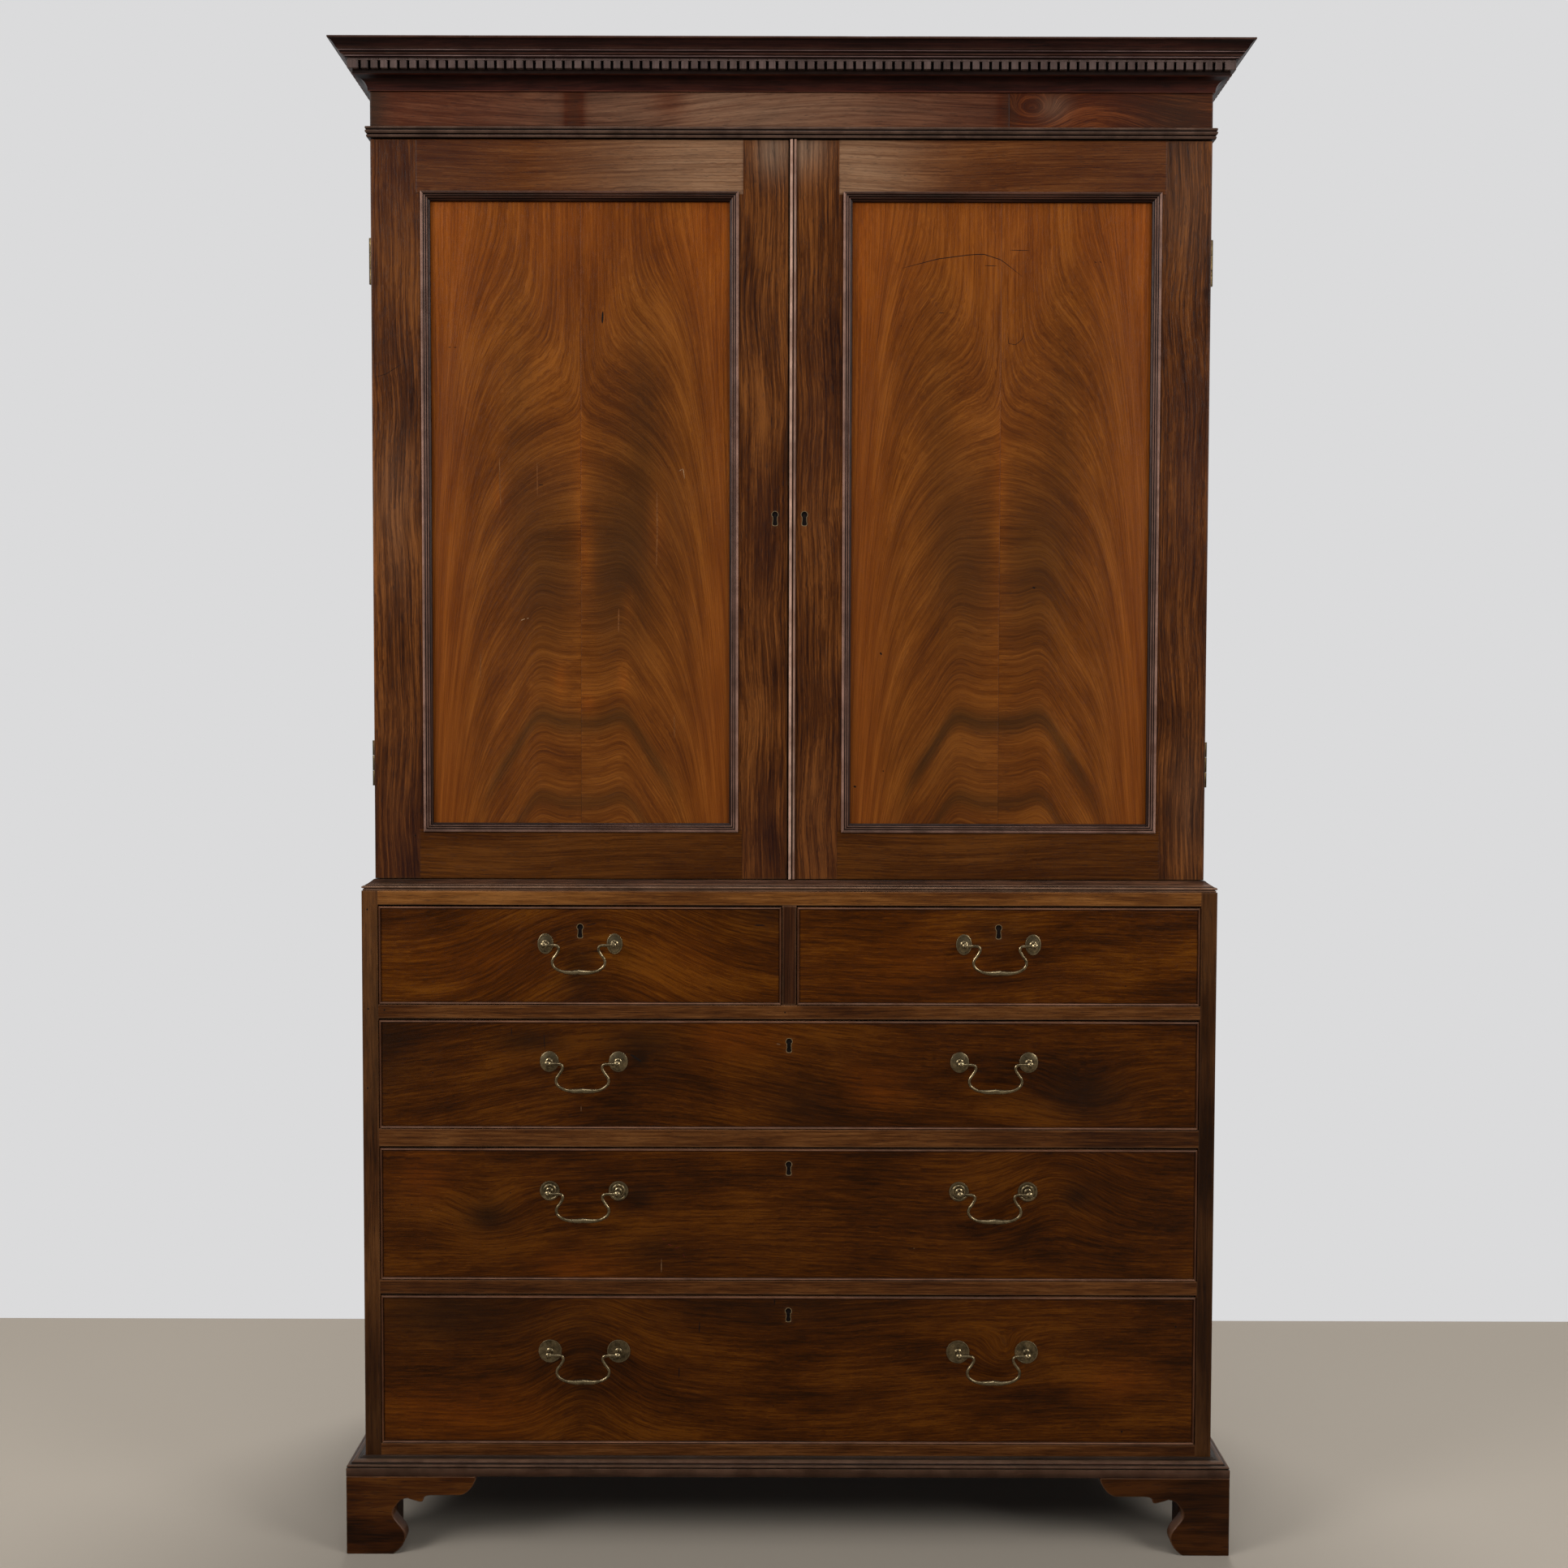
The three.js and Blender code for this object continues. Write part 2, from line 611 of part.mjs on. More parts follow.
function pressCase() {
  const low = chestTop + seat;
  const slots = trayLevels.map((z) => ({
    span: [z - trayGrooveGap, z + trayBottomThickness + trayGrooveGap],
    depth: trayGrooveDepth,
  }));
  const houses = [[low - overrun, low + boardThickness], [pressTop - boardThickness, pressTop + overrun]]
    .map((span) => ({ span, depth: housingDepth }));
  for (const [name, side] of [['press_side_left', -1], ['press_side_right', 1]]) {
    const blank = caseSide(side, pressOpeningHalf, pressHalf, caseFront, [low, pressTop],
      [...houses, ...slots]);
    const pockets = hingeLevels.map((z) => board(
      sided(side, pressHalf - hingeLeafWidth - seat, pressHalf + overrun),
      [caseFront - overrun, hingeY + hingeLeafThickness + leafSplit + seat],
      [z - seat, z + hingeLength + seat]));
    place(name, cut(blank, pockets), mahogany);
  }
  const reach = pressOpeningHalf + housingDepth - seat;
  place('press_bottom_board', board([-reach, reach], [caseFront, carcassRear],
    [low, low + boardThickness - seat]), mahogany);
  place('press_top_board', board([-reach, reach], [caseFront, carcassRear],
    [pressTop - boardThickness + seat, pressTop]), mahogany);
  const backReach = pressOpeningHalf + backRebate - seat;
  place('press_back', board([-backReach, backReach], [backY - backThickness, backY],
    [low, pressTop]), deal);
}

// Linen tray: a shallow open box, lower in front, whose bottom runs in the grooves of the sides
function linenTray(name, z) {
  const outer = pressOpeningHalf - traySideGap;
  const front = caseFront + trayFrontGap;
  const rear = carcassRear - trayBackGap;
  const tongue = pressOpeningHalf + trayTongue;
  const sides = [-1, 1].map((side) => board(sided(side, outer - trayBoard, outer), [front, rear],
    [z, z + traySideHeight]));
  const within = [-outer + half(trayBoard), outer - half(trayBoard)];
  place(name, join([
    board([-tongue, tongue], [front, rear], [z, z + trayBottomThickness]),
    ...sides,
    board(within, [rear - trayBoard, rear], [z, z + traySideHeight]),
    board(within, [front, front + trayBoard], [z, z + trayFrontHeight]),
  ]), oak);
}

// Door: a frame of two stiles and two rails, a panel held in its groove, and a moulding that laps
// over the inner edge of the frame and runs down to the panel
function door(name, side, x, stiles, keyX) {
  const z = [doorBottom, doorTop];
  const ringX = [x[0] + stiles[0], x[1] - stiles[1]];
  const ringZ = [z[0] + doorBottomRail, z[1] - doorTopRail];
  const grown = (span, by) => [span[0] - by, span[1] + by];
  const openX = grown(ringX, -panelMouldingLap);
  const openZ = grown(ringZ, -panelMouldingLap);
  const panelY = [pressFront + panelRecess, pressFront + panelRecess + panelThickness];
  const pockets = hingeLevels.map((level) => board(
    sided(side, pressHalf - hingeLeafWidth - seat, pressHalf + overrun),
    [hingeY - hingeLeafThickness - leafSplit - seat, doorBack + overrun],
    [level - seat, level + hingeLength + seat]));
  const frame = cut(board(x, [pressFront, doorBack], z), [
    board(openX, [pressFront - overrun, doorBack + overrun], openZ),
    board(grown(openX, panelTongue), grown(panelY, seat), grown(openZ, panelTongue)),
    keyholeCutter(keyX, z[0] + doorKeyHeight, pressFront, doorThickness),
    ...pockets,
  ]);
  place(`${name}_frame`, frame, mahogany);
  const tongue = panelTongue - seat;
  place(`${name}_panel`, board(grown(openX, tongue), panelY, grown(openZ, tongue)), flameVeneer);
  const section = outlineFrom(panelMouldingShares, [0, panelMouldingWidth], [0, -panelMouldingRise]);
  section.push(point(panelMouldingWidth, panelRecess - seat),
    point(panelMouldingLap + seat, panelRecess - seat), point(panelMouldingLap + seat, -seat));
  place(`${name}_moulding`, frameRound(section, ringX, ringZ, pressFront), darkMahogany);
}

// Bead that covers the meeting of the doors: two reeds side by side on the right door's edge
function meetingBead(x) {
  const reeds = shapeFrom(meetingBeadShares, [x, meetingBeadWidth],
    [pressFront - seat, seat - meetingBeadRise]);
  const geometry = new THREE.ExtrudeGeometry(new THREE.Shape(reeds.getPoints(curveSteps)),
    { depth: doorHeight, bevelEnabled: false });
  place('meeting_bead', at(geometry, 0, 0, doorBottom), mahogany);
}

// Butt hinge: the case leaf holds the pin and two knuckles, the door leaf turns between them
function buttHinge(name, side, z) {
  const knuckle = (hingeLength - (knuckleCount - 1) * knuckleGap) / knuckleCount;
  const starts = [0, knuckle + knuckleGap, 2 * (knuckle + knuckleGap)].map((rise) => z + rise);
  const leaf = (inwards) => {
    const near = hingeY + inwards * half(leafSplit);
    const y = [near, near + inwards * hingeLeafThickness].sort((a, b) => a - b);
    return (from, to, span) => board(sided(side, from, to), y, span);
  };
  const knuckleAt = (start) =>
    at(rod(barrelRadius, knuckle, 'up', barrelSides), side * hingeX, hingeY, start);
  const plateFrom = pressHalf - hingeLeafWidth;
  const caseLeaf = leaf(1);
  const doorLeaf = leaf(-1);
  const fixed = [starts[0], starts[2]].flatMap((start) => [
    knuckleAt(start), caseLeaf(pressHalf - overrun, hingeX, [start, start + knuckle])]);
  const pin = at(rod(hingePinRadius, hingeLength, 'up', barrelSides), side * hingeX, hingeY, z);
  place(`${name}_case_leaf`,
    join([caseLeaf(plateFrom, pressHalf, [z, z + hingeLength]), ...fixed, pin]), brass);
  const bore = at(rod(hingePinRadius + hingePinClearance, knuckle + 2 * overrun, 'up', barrelSides),
    side * hingeX, hingeY, starts[1] - overrun);
  const turning = join([
    doorLeaf(plateFrom, pressHalf, [z, z + hingeLength]),
    knuckleAt(starts[1]),
    doorLeaf(pressHalf - overrun, hingeX, [starts[1], starts[1] + knuckle]),
  ]);
  place(`${name}_door_leaf`, turning.subtract(bore), brass);
}

function doors() {
  const clear = 2 * pressHalf - meetingGap;
  const span = half(clear - 4 * stileWidth - meetingStileExtra);
  const leftEdge = -pressHalf + 2 * stileWidth + span;
  const rightEdge = leftEdge + meetingGap;
  const rightStile = stileWidth + meetingStileExtra;
  door('left_door', -1, [-pressHalf, leftEdge], [stileWidth, stileWidth], leftEdge - doorKeyInset);
  door('right_door', 1, [rightEdge, pressHalf], [rightStile, stileWidth],
    rightEdge + meetingBeadWidth + half(rightStile - meetingBeadWidth) * keyInsetShare);
  meetingBead(rightEdge);
  for (const [doorName, side] of [['left_door', -1], ['right_door', 1]]) {
    buttHinge(`${doorName}_lower_hinge`, side, hingeLevels[0]);
    buttHinge(`${doorName}_upper_hinge`, side, hingeLevels[1]);
  }
}

// Waist moulding round the foot of the press, and the neck moulding over the doors
function caseMouldings() {
  const wallFront = -(doorThickness + doorGap - seat);
  const wall = { side: seat, front: wallFront };
  const pressAt = { half: pressHalf, front: pressFront };
  const waist = outlineFrom(waistProfileShares, [0, pressSetback], [chestTop + seat, waistHeight - seat]);
  place('waist_moulding', wrap(waist, wall, pressAt), darkMahogany);
  const neck = outlineFrom(neckProfileShares, [0, neckReach], [neckBottom, neckHeight]);
  place('neck_moulding', wrap(neck, wall, pressAt), darkMahogany);
}

// Cornice: a frieze box with a cove, and the dentilled crown moulding that sits on it
function cornice() {
  const pressAt = { half: pressHalf, front: pressFront };
  const wall = { side: -corniceWall, front: -corniceWall };
  const low = pressTop + seat;
  const cove = outlineFrom(coveProfileShares, [0, coveReach], [friezeTop, coveHeight]);
  const inner = pressHalf - corniceWall;
  const rearRail = board([-inner - overrun, inner + overrun], [backY - corniceRearRail, backY],
    [low, friezeTop]);
  place('cornice_frieze', wrap([point(0, low), ...cove], wall, pressAt).add(rearRail), mahogany);
  const base = coveTop + seat;
  const band = outlineFrom([[0, 0], [1, 0], [1, 1]], [0, dentilReach], [base, dentilTop - base]);
  const crown = outlineFrom(crownProfileShares, [dentilReach, corniceReach - dentilReach],
    [dentilTop, crownHeight]);
  const moulding = wrap([...band, ...crown], wall, pressAt);
  place('cornice_moulding', cut(moulding, [dentilSlots(base)]), darkMahogany);
}

// Slots that leave the dentils standing, spread evenly from the middle of each run
function dentilSlots(base) {
  const z = [base - overrun, base + dentilSlotRiseShare * dentilBandHeight];
  const faceX = pressHalf + dentilReach;
  const faceY = pressFront - dentilReach;
  const spread = (length) => {
    const count = Math.floor(length / dentilPitch) - 1;
    return Array.from({ length: count }, (_, i) => (i - half(count - 1)) * dentilPitch);
  };
  const middleY = half(faceY + backY);
  const front = spread(2 * faceX).map((x) =>
    board(about(x, dentilSlotWidth), [faceY - overrun, faceY + dentilSlotDepth], z));
  const returns = spread(backY - faceY).flatMap((y) => [-1, 1].map((side) =>
    board(sided(side, faceX - dentilSlotDepth, faceX + overrun),
      about(middleY + y, dentilSlotWidth), z)));
  return join([...front, ...returns]);
}

bracketFoot('foot_front_left', -1, true);
bracketFoot('foot_front_right', 1, true);
bracketFoot('foot_rear_left', -1, false);
bracketFoot('foot_rear_right', 1, false);
baseMoulding();
chestCase();
drawers();
caseMouldings();
pressCase();
trayNames.forEach((name, i) => linenTray(name, trayLevels[i]));
doors();
cornice();

export default press;
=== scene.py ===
"""Linen press: the finished pieces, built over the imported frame.

Metres, +Z up, the front faces -Y and +X is to the right. Each sub-assembly is a class that holds its
sizes as fields and takes its places from the frame's nodes. Shapes are surfaces worked out with numpy
as whole arrays, and every finish is laid out in shader nodes.
"""

import json
import logging
import math
from collections.abc import Iterable
from dataclasses import dataclass, replace
from enum import Enum
from functools import cache

import bmesh
import bpy
import numpy as np
from mathutils import Matrix, Vector

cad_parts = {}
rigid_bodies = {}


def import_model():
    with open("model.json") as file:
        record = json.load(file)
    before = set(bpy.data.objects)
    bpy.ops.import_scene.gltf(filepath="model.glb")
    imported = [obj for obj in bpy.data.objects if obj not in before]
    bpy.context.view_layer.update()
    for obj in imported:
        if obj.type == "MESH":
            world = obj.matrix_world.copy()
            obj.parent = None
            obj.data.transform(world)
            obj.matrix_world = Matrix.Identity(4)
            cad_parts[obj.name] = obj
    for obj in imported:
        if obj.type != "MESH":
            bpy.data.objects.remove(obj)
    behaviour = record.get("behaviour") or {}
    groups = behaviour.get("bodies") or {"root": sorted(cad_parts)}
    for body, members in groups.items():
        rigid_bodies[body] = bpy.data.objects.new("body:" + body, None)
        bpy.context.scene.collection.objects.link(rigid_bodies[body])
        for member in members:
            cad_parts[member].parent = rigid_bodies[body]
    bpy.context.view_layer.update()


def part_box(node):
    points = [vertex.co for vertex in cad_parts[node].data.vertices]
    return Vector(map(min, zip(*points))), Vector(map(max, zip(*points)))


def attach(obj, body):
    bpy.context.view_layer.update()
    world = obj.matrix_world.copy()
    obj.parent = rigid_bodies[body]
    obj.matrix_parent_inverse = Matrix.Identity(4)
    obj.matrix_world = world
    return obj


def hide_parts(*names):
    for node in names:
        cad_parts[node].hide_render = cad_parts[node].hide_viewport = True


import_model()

LOG = logging.getLogger("linen_press")

Span = tuple[float, float]
Tint = tuple[int, int, int]
Value = bpy.types.NodeSocket | float | tuple[float, ...]


# Screen colours and the ways a grain can run

DUST = (112, 96, 78)


def linear(tint: Tint) -> tuple[float, float, float, float]:
    """Turn a screen colour into a linear one with full alpha.

    Args:
        tint: Red, green and blue from 0 to 255.

    Returns:
        The linear red, green, blue and an alpha of one.
    """
    share = np.array(tint) / 255.0
    low = share / 12.92
    high = ((share + 0.055) / 1.055) ** 2.4
    return (*np.where(share <= 0.04045, low, high).tolist(), 1.0)


class Grain(Enum):
    """The way the grain of a board runs, or the piece's own figure map."""

    ALONG_X = "x"
    ALONG_Y = "y"
    ALONG_Z = "z"
    FIGURE = "figure"


# Shapes: points, faces and what a finish reads at each point

@dataclass
class Shape:
    """A closed surface with the values that its finish reads at each point."""

    points: np.ndarray
    faces: list[np.ndarray]
    crest: np.ndarray
    stain: np.ndarray
    figure: np.ndarray
    shift: np.ndarray


def outward(points: np.ndarray, faces: list[np.ndarray]) -> list[np.ndarray]:
    """Turn every face over where the closed surface is inside out.

    The signed volume is the sum over fan triangles of a point's dot product with the cross product of
    the other two, and it is positive where the faces point out.

    Args:
        points: The points, one row each.
        faces: Blocks of faces, each block with one number of corners.

    Returns:
        The same blocks, reversed if the volume is negative.
    """
    centred = points - points.mean(axis=0)
    volume = 0.0
    for block in faces:
        for k in range(1, block.shape[1] - 1):
            edges = np.cross(centred[block[:, k]], centred[block[:, k + 1]])
            volume += float(np.einsum("ij,ij->", centred[block[:, 0]], edges))
    return faces if volume > 0 else [block[:, ::-1] for block in faces]


def closed_shape(points: np.ndarray, faces: list[np.ndarray], crest: np.ndarray | float = 0.0,
                 stain: np.ndarray | float = 0.0, figure: np.ndarray | None = None,
                 shift: float = 0.0) -> Shape:
    """Make a shape whose faces point out.

    Args:
        points: The points, one row each.
        faces: Blocks of faces, each block with one number of corners.
        crest: One on edges that are painted pale, for rubbed wear and painted highlight, and minus one in
            recesses that are painted dark, for dark polish and painted shade.
        stain: Below zero where the wood is darker and above where it is brighter, from stains and from
            painted shade and sheen.
        figure: Metres along and across the grain, or None for none.
        shift: How far this board's grain is moved from the next board's.

    Returns:
        The shape.
    """
    count = len(points)
    spread = np.zeros((count, 2)) if figure is None else figure
    return Shape(points, outward(points, faces), np.broadcast_to(crest, count).astype(float),
                 np.broadcast_to(stain, count).astype(float), spread, np.full(count, float(shift)))


def merge(shapes: list[Shape]) -> Shape:
    """Put several shapes into one, point after point and face after face.

    Args:
        shapes: The shapes, in order.

    Returns:
        The one shape.
    """
    starts = np.cumsum([0] + [len(s.points) for s in shapes[:-1]])
    faces = [block + start for s, start in zip(shapes, starts) for block in s.faces]
    return Shape(np.concatenate([s.points for s in shapes]), faces,
                 np.concatenate([s.crest for s in shapes]), np.concatenate([s.stain for s in shapes]),
                 np.concatenate([s.figure for s in shapes]), np.concatenate([s.shift for s in shapes]))


def moved(shape: Shape, by: tuple[float, float, float]) -> Shape:
    """Copy a shape to another place."""
    return replace(shape, points=shape.points + np.array(by))


def mirrored(shape: Shape) -> Shape:
    """Copy a shape to the other side of the middle, with its faces turned to point out again."""
    return replace(shape, points=shape.points * np.array([-1.0, 1.0, 1.0]),
                   faces=[block[:, ::-1] for block in shape.faces])


def loft(rings: np.ndarray, crest: np.ndarray | float = 0.0, closed: bool = False,
         shift: float = 0.0) -> Shape:
    """Close a body through rings of points: quads join each ring to the next.

    Its figure runs along the middles of the rings, and across the grain it is the way round a ring.

    Args:
        rings: The points, as stations by points round the section by three.
        crest: The crest value of each point, in the shape of the rings without their last axis.
        closed: Whether the last ring joins the first, or a flat face ends each side.
        shift: How far this board's grain is moved.

    Returns:
        The shape.
    """
    stations, around = rings.shape[:2]
    index = np.arange(stations * around).reshape(stations, around)
    following = np.roll(index, -1, axis=0) if closed else index[1:]
    first = index if closed else index[:-1]
    quads = np.stack([first, np.roll(first, -1, axis=1), np.roll(following, -1, axis=1), following],
                     axis=-1).reshape(-1, 4)
    caps = [] if closed else [index[:1, ::-1], index[-1:]]
    values = np.broadcast_to(crest, (stations, around)).reshape(-1)
    along, across = (travelled(line) for line in (rings.mean(axis=1), rings[0]))
    figure = np.stack(np.meshgrid(along, across, indexing="ij"), axis=-1).reshape(-1, 2)
    return closed_shape(rings.reshape(-1, 3), [quads, *caps], values, figure=figure, shift=shift)


# Sections, paths and outlines

def travelled(path: np.ndarray) -> np.ndarray:
    """How far along a path each of its points lies."""
    return np.concatenate([[0.0], np.cumsum(np.linalg.norm(np.diff(path, axis=0), axis=1))])


def resampled(path: np.ndarray, shares: np.ndarray) -> np.ndarray:
    """Points of a flat path at the given shares of its length."""
    so_far = travelled(path)
    return np.stack([np.interp(shares * so_far[-1], so_far, path[:, k]) for k in (0, 1)], axis=1)


def sideways(line: np.ndarray) -> np.ndarray:
    """Unit vectors at a quarter turn from the way of a flat line.

    Args:
        line: The points, one row each.

    Returns:
        One vector for each point.
    """
    way = np.gradient(line, axis=0)
    way /= np.linalg.norm(way, axis=1, keepdims=True)
    return np.stack([-way[:, 1], way[:, 0]], axis=1)


def curve(shares: list[list[float]], steps: int = 7) -> np.ndarray:
    """Points of an outline given in shares.

    An entry of two numbers ends a straight line, and one of four holds a control point and an end: the
    curve there is (1-t)^2 start + 2t(1-t) control + t^2 end.

    Args:
        shares: The entries, the first of them the start.
        steps: Points on each curved stretch.

    Returns:
        The points, one row each.
    """
    pieces = [np.array([shares[0][:2]])]
    t = np.linspace(0, 1, steps + 1)[1:, None]
    for entry in shares[1:]:
        start = pieces[-1][-1]
        end = np.array(entry[-2:])
        control = np.array(entry[:2])
        bent = (1 - t) ** 2 * start + 2 * t * (1 - t) * control + t ** 2 * end
        pieces.append(bent if len(entry) == 4 else end[None])
    return np.concatenate(pieces)


def eased(outline: np.ndarray, radius: float) -> tuple[np.ndarray, np.ndarray]:
    """Round the sharp corners of a closed outline, and say which points stand proud.

    A corner p becomes p - r*d1, (that + p + r*d2)/4 + p/2 and p + r*d2, where d1 and d2 are the unit
    directions of the edges before and after it and r is capped by their lengths.

    Args:
        outline: The points, one row each, in order round the outline.
        radius: How far the rounding reaches along each edge.

    Returns:
        The new points, and their crest: one on outward corners, minus one on inward ones.
    """
    before = outline - np.roll(outline, 1, axis=0)
    after = np.roll(before, -1, axis=0)
    length_before = np.linalg.norm(before, axis=1, keepdims=True)
    length_after = np.linalg.norm(after, axis=1, keepdims=True)
    d1 = before / length_before
    d2 = after / length_after
    turn = np.arctan2(d1[:, 0] * d2[:, 1] - d1[:, 1] * d2[:, 0], (d1 * d2).sum(axis=1))
    hand = np.sign((outline[:, 0] * after[:, 1] - outline[:, 1] * after[:, 0]).sum())
    reach = np.minimum(radius, 0.42 * np.minimum(length_before, length_after))
    start = outline - reach * d1
    end = outline + reach * d2
    rounded = np.stack([start, (start + end) / 4 + outline / 2, end], axis=1)
    sharp = np.abs(turn) > math.radians(24)
    strength = np.clip(hand * turn / math.radians(60), -1, 1)
    crest = np.stack([0.3 * strength, strength, 0.3 * strength], axis=1)
    keep = np.stack([sharp, np.ones(len(outline), bool), sharp], axis=1)
    rounded[~sharp, 1] = outline[~sharp]
    crest[~sharp] = 0.0
    return rounded[keep], crest[keep]


def spaced(low: float, high: float, step: float, marks: tuple[float, ...] = ()) -> np.ndarray:
    """Rising places from low to high, at most a step apart, that meet every mark between them.

    Args:
        low: The first place.
        high: The last place.
        step: The widest step.
        marks: Places to meet.

    Returns:
        The places.
    """
    stops = np.unique(np.round([low, high, *(m for m in marks if low < m < high)], 7))
    parts = [np.linspace(a, b, max(1, math.ceil((b - a) / step)) + 1)[:-1]
             for a, b in zip(stops[:-1], stops[1:])]
    return np.concatenate([*parts, stops[-1:]])


# Boards, mouldings, plates and turned work

def board(x: Span, y: Span, z: Span, grain: Grain = Grain.ALONG_X, ease: float = 0.0012,
          shift: float = 0.0) -> Shape:
    """Board with eased arrises, as rounded rectangles carried along its grain.

    Args:
        x: Its left and right.
        y: Its front and back.
        z: Its bottom and top.
        grain: The way it is carried.
        ease: The radius of the arrises.
        shift: How far its grain is moved.

    Returns:
        The shape.
    """
    spans = {Grain.ALONG_X: (x, y, z), Grain.ALONG_Y: (y, z, x), Grain.ALONG_Z: (z, x, y)}[grain]
    middle = np.array([sum(span) / 2 for span in spans])
    length, width, depth = (span[1] - span[0] for span in spans)
    short = min(width, depth, length)
    radius = min(ease, 0.3 * short)
    support = min(2.5 * radius, 0.4 * (short / 2 - radius))
    slope = radius * (1 - math.sqrt(0.5))
    half = np.array([width, depth]) / 2
    inset = np.array([[0, radius + support], [0, radius], [slope, slope], [radius, 0],
                      [radius + support, 0]])
    corner = half - inset
    section = np.concatenate([corner, corner[::-1] * [-1, 1], -corner, corner[::-1] * [1, -1]])
    across = np.tile([0.0, 0.35, 1.0, 0.35, 0.0], 4)
    ends = np.array([0.0, slope, radius, radius + support])
    shrink = np.array([radius, slope, 0.0, 0.0])
    inner = spaced(ends[-1], length - ends[-1], 0.09)
    stations = np.concatenate([ends[:3], inner, length - ends[2::-1]]) - length / 2
    shrinks = np.concatenate([shrink[:3], np.zeros(len(inner)), shrink[2::-1]])
    scale = (half[None] - shrinks[:, None]) / half[None]
    flat = section[None] * scale[:, None]
    along = np.broadcast_to(stations[:, None, None], (*flat.shape[:2], 1))
    local = np.concatenate([along, flat], axis=-1) + middle
    order = {Grain.ALONG_X: [0, 1, 2], Grain.ALONG_Y: [2, 0, 1], Grain.ALONG_Z: [1, 2, 0]}[grain]
    end_crest = np.concatenate([[0.2, 1.0, 0.3], np.zeros(len(inner)), [0.3, 1.0, 0.2]])
    crest = np.maximum(across[None], end_crest[:, None])
    return loft(local[..., order], crest, shift=shift)


@dataclass(frozen=True)
class CaseFace:
    """Where a moulding runs round a case: half its width, its front and its back.

    At the front the moulding's wall lies as far behind the sides' wall as the setback.
    """

    half: float
    front: float
    back: float
    setback: float = 0.0


def case_moulding(section: np.ndarray, crest: np.ndarray, case: CaseFace, wear: float = 0.0,
                  step: float = 0.035, seed: int = 1) -> Shape:
    """Moulding carried along the left side, the front and the right side, mitred at the corners.

    A section point is (reach out from the case, height). On the sides x is half the case's width plus
    the reach, and y runs from the back to the front less the reach; on the front it is the other way
    round. Wear takes up to its depth off the proud points.

    Args:
        section: The section's points.
        crest: The crest of each point.
        case: The case that it runs round.
        wear: The depth of the deepest knocks.
        step: The length between stations.
        seed: The seed of the knocks.

    Returns:
        The shape.
    """
    side_share = spaced(0, 1, step / (case.back - case.front))
    front_share = spaced(0, 1, step / (2 * case.half))[1:]
    leg = np.concatenate([np.zeros(len(side_share)), np.ones(len(front_share)),
                          np.full(len(side_share) - 1, 2)])[:, None]
    share = np.concatenate([side_share, front_share, side_share[1:]])[:, None]
    knocks = np.random.default_rng(seed).random((len(share), len(section))) ** 8
    reach = section[None, :, 0] - wear * knocks * np.clip(crest, 0, 1)[None]
    outer = case.half + reach
    wall = section[:, 0] < section[:, 0].min() + 0.0008
    face = case.front - reach + case.setback * wall[None]
    x = np.select([leg == 0, leg == 1], [-outer, (2 * share - 1) * outer], outer)
    y = np.select([leg == 0, leg == 1], [case.back + share * (face - case.back), face],
                  face + share * (case.back - face))
    z = np.broadcast_to(section[None, :, 1], x.shape)
    return loft(np.stack([x, y, z], axis=-1), np.broadcast_to(crest[None], x.shape))


def mitred_frame(section: np.ndarray, crest: np.ndarray, x: Span, z: Span, face: float,
                 step: float = 0.05, joint: float = 0.00008,
                 rubbed: tuple[float, ...] = (1.0, 1.0, 1.0, 1.0)) -> Shape:
    """Four runs of a moulding round an opening, each a closed body that ends in its mitres.

    A section point is (distance in from the outer edge, depth behind the face). Each run is carried in
    a straight line from one corner's mitre to the next.

    Args:
        section: The section's points.
        crest: The crest of each point.
        x: The outer left and right edges.
        z: The outer bottom and top edges.
        face: The y of the face.
        step: The length between stations.
        joint: The width of half a mitre's joint.
        rubbed: How much of the pale crest, for rubbed wear and painted highlight, the bottom, right, top
            and left runs keep.

    Returns:
        The shape.
    """
    corners = np.array([[x[0], z[0]], [x[1], z[0]], [x[1], z[1]], [x[0], z[1]]])
    inward = np.array([[1, 1], [-1, 1], [-1, -1], [1, -1]])
    runs = []
    for k in range(4):
        n = (k + 1) % 4
        start = corners[k] + inward[k] * section[:, :1]
        end = corners[n] + inward[n] * section[:, :1]
        way = (corners[n] - corners[k]) / np.linalg.norm(corners[n] - corners[k])
        share = spaced(0, 1, step / np.linalg.norm(corners[n] - corners[k]))[:, None, None]
        flat = (start + way * joint) * (1 - share) + (end - way * joint) * share
        depth = np.broadcast_to(face + section[None, :, 1:], (*flat.shape[:2], 1))
        rings = np.concatenate([flat[..., :1], depth, flat[..., 1:]], axis=-1)
        # A run that keeps less of its pale crest shows less painted highlight.
        rubbed_and_lit = np.where(crest > 0, crest * rubbed[k], crest)
        runs.append(loft(rings, np.broadcast_to(rubbed_and_lit[None], rings.shape[:2]), shift=k))
    return merge(runs)


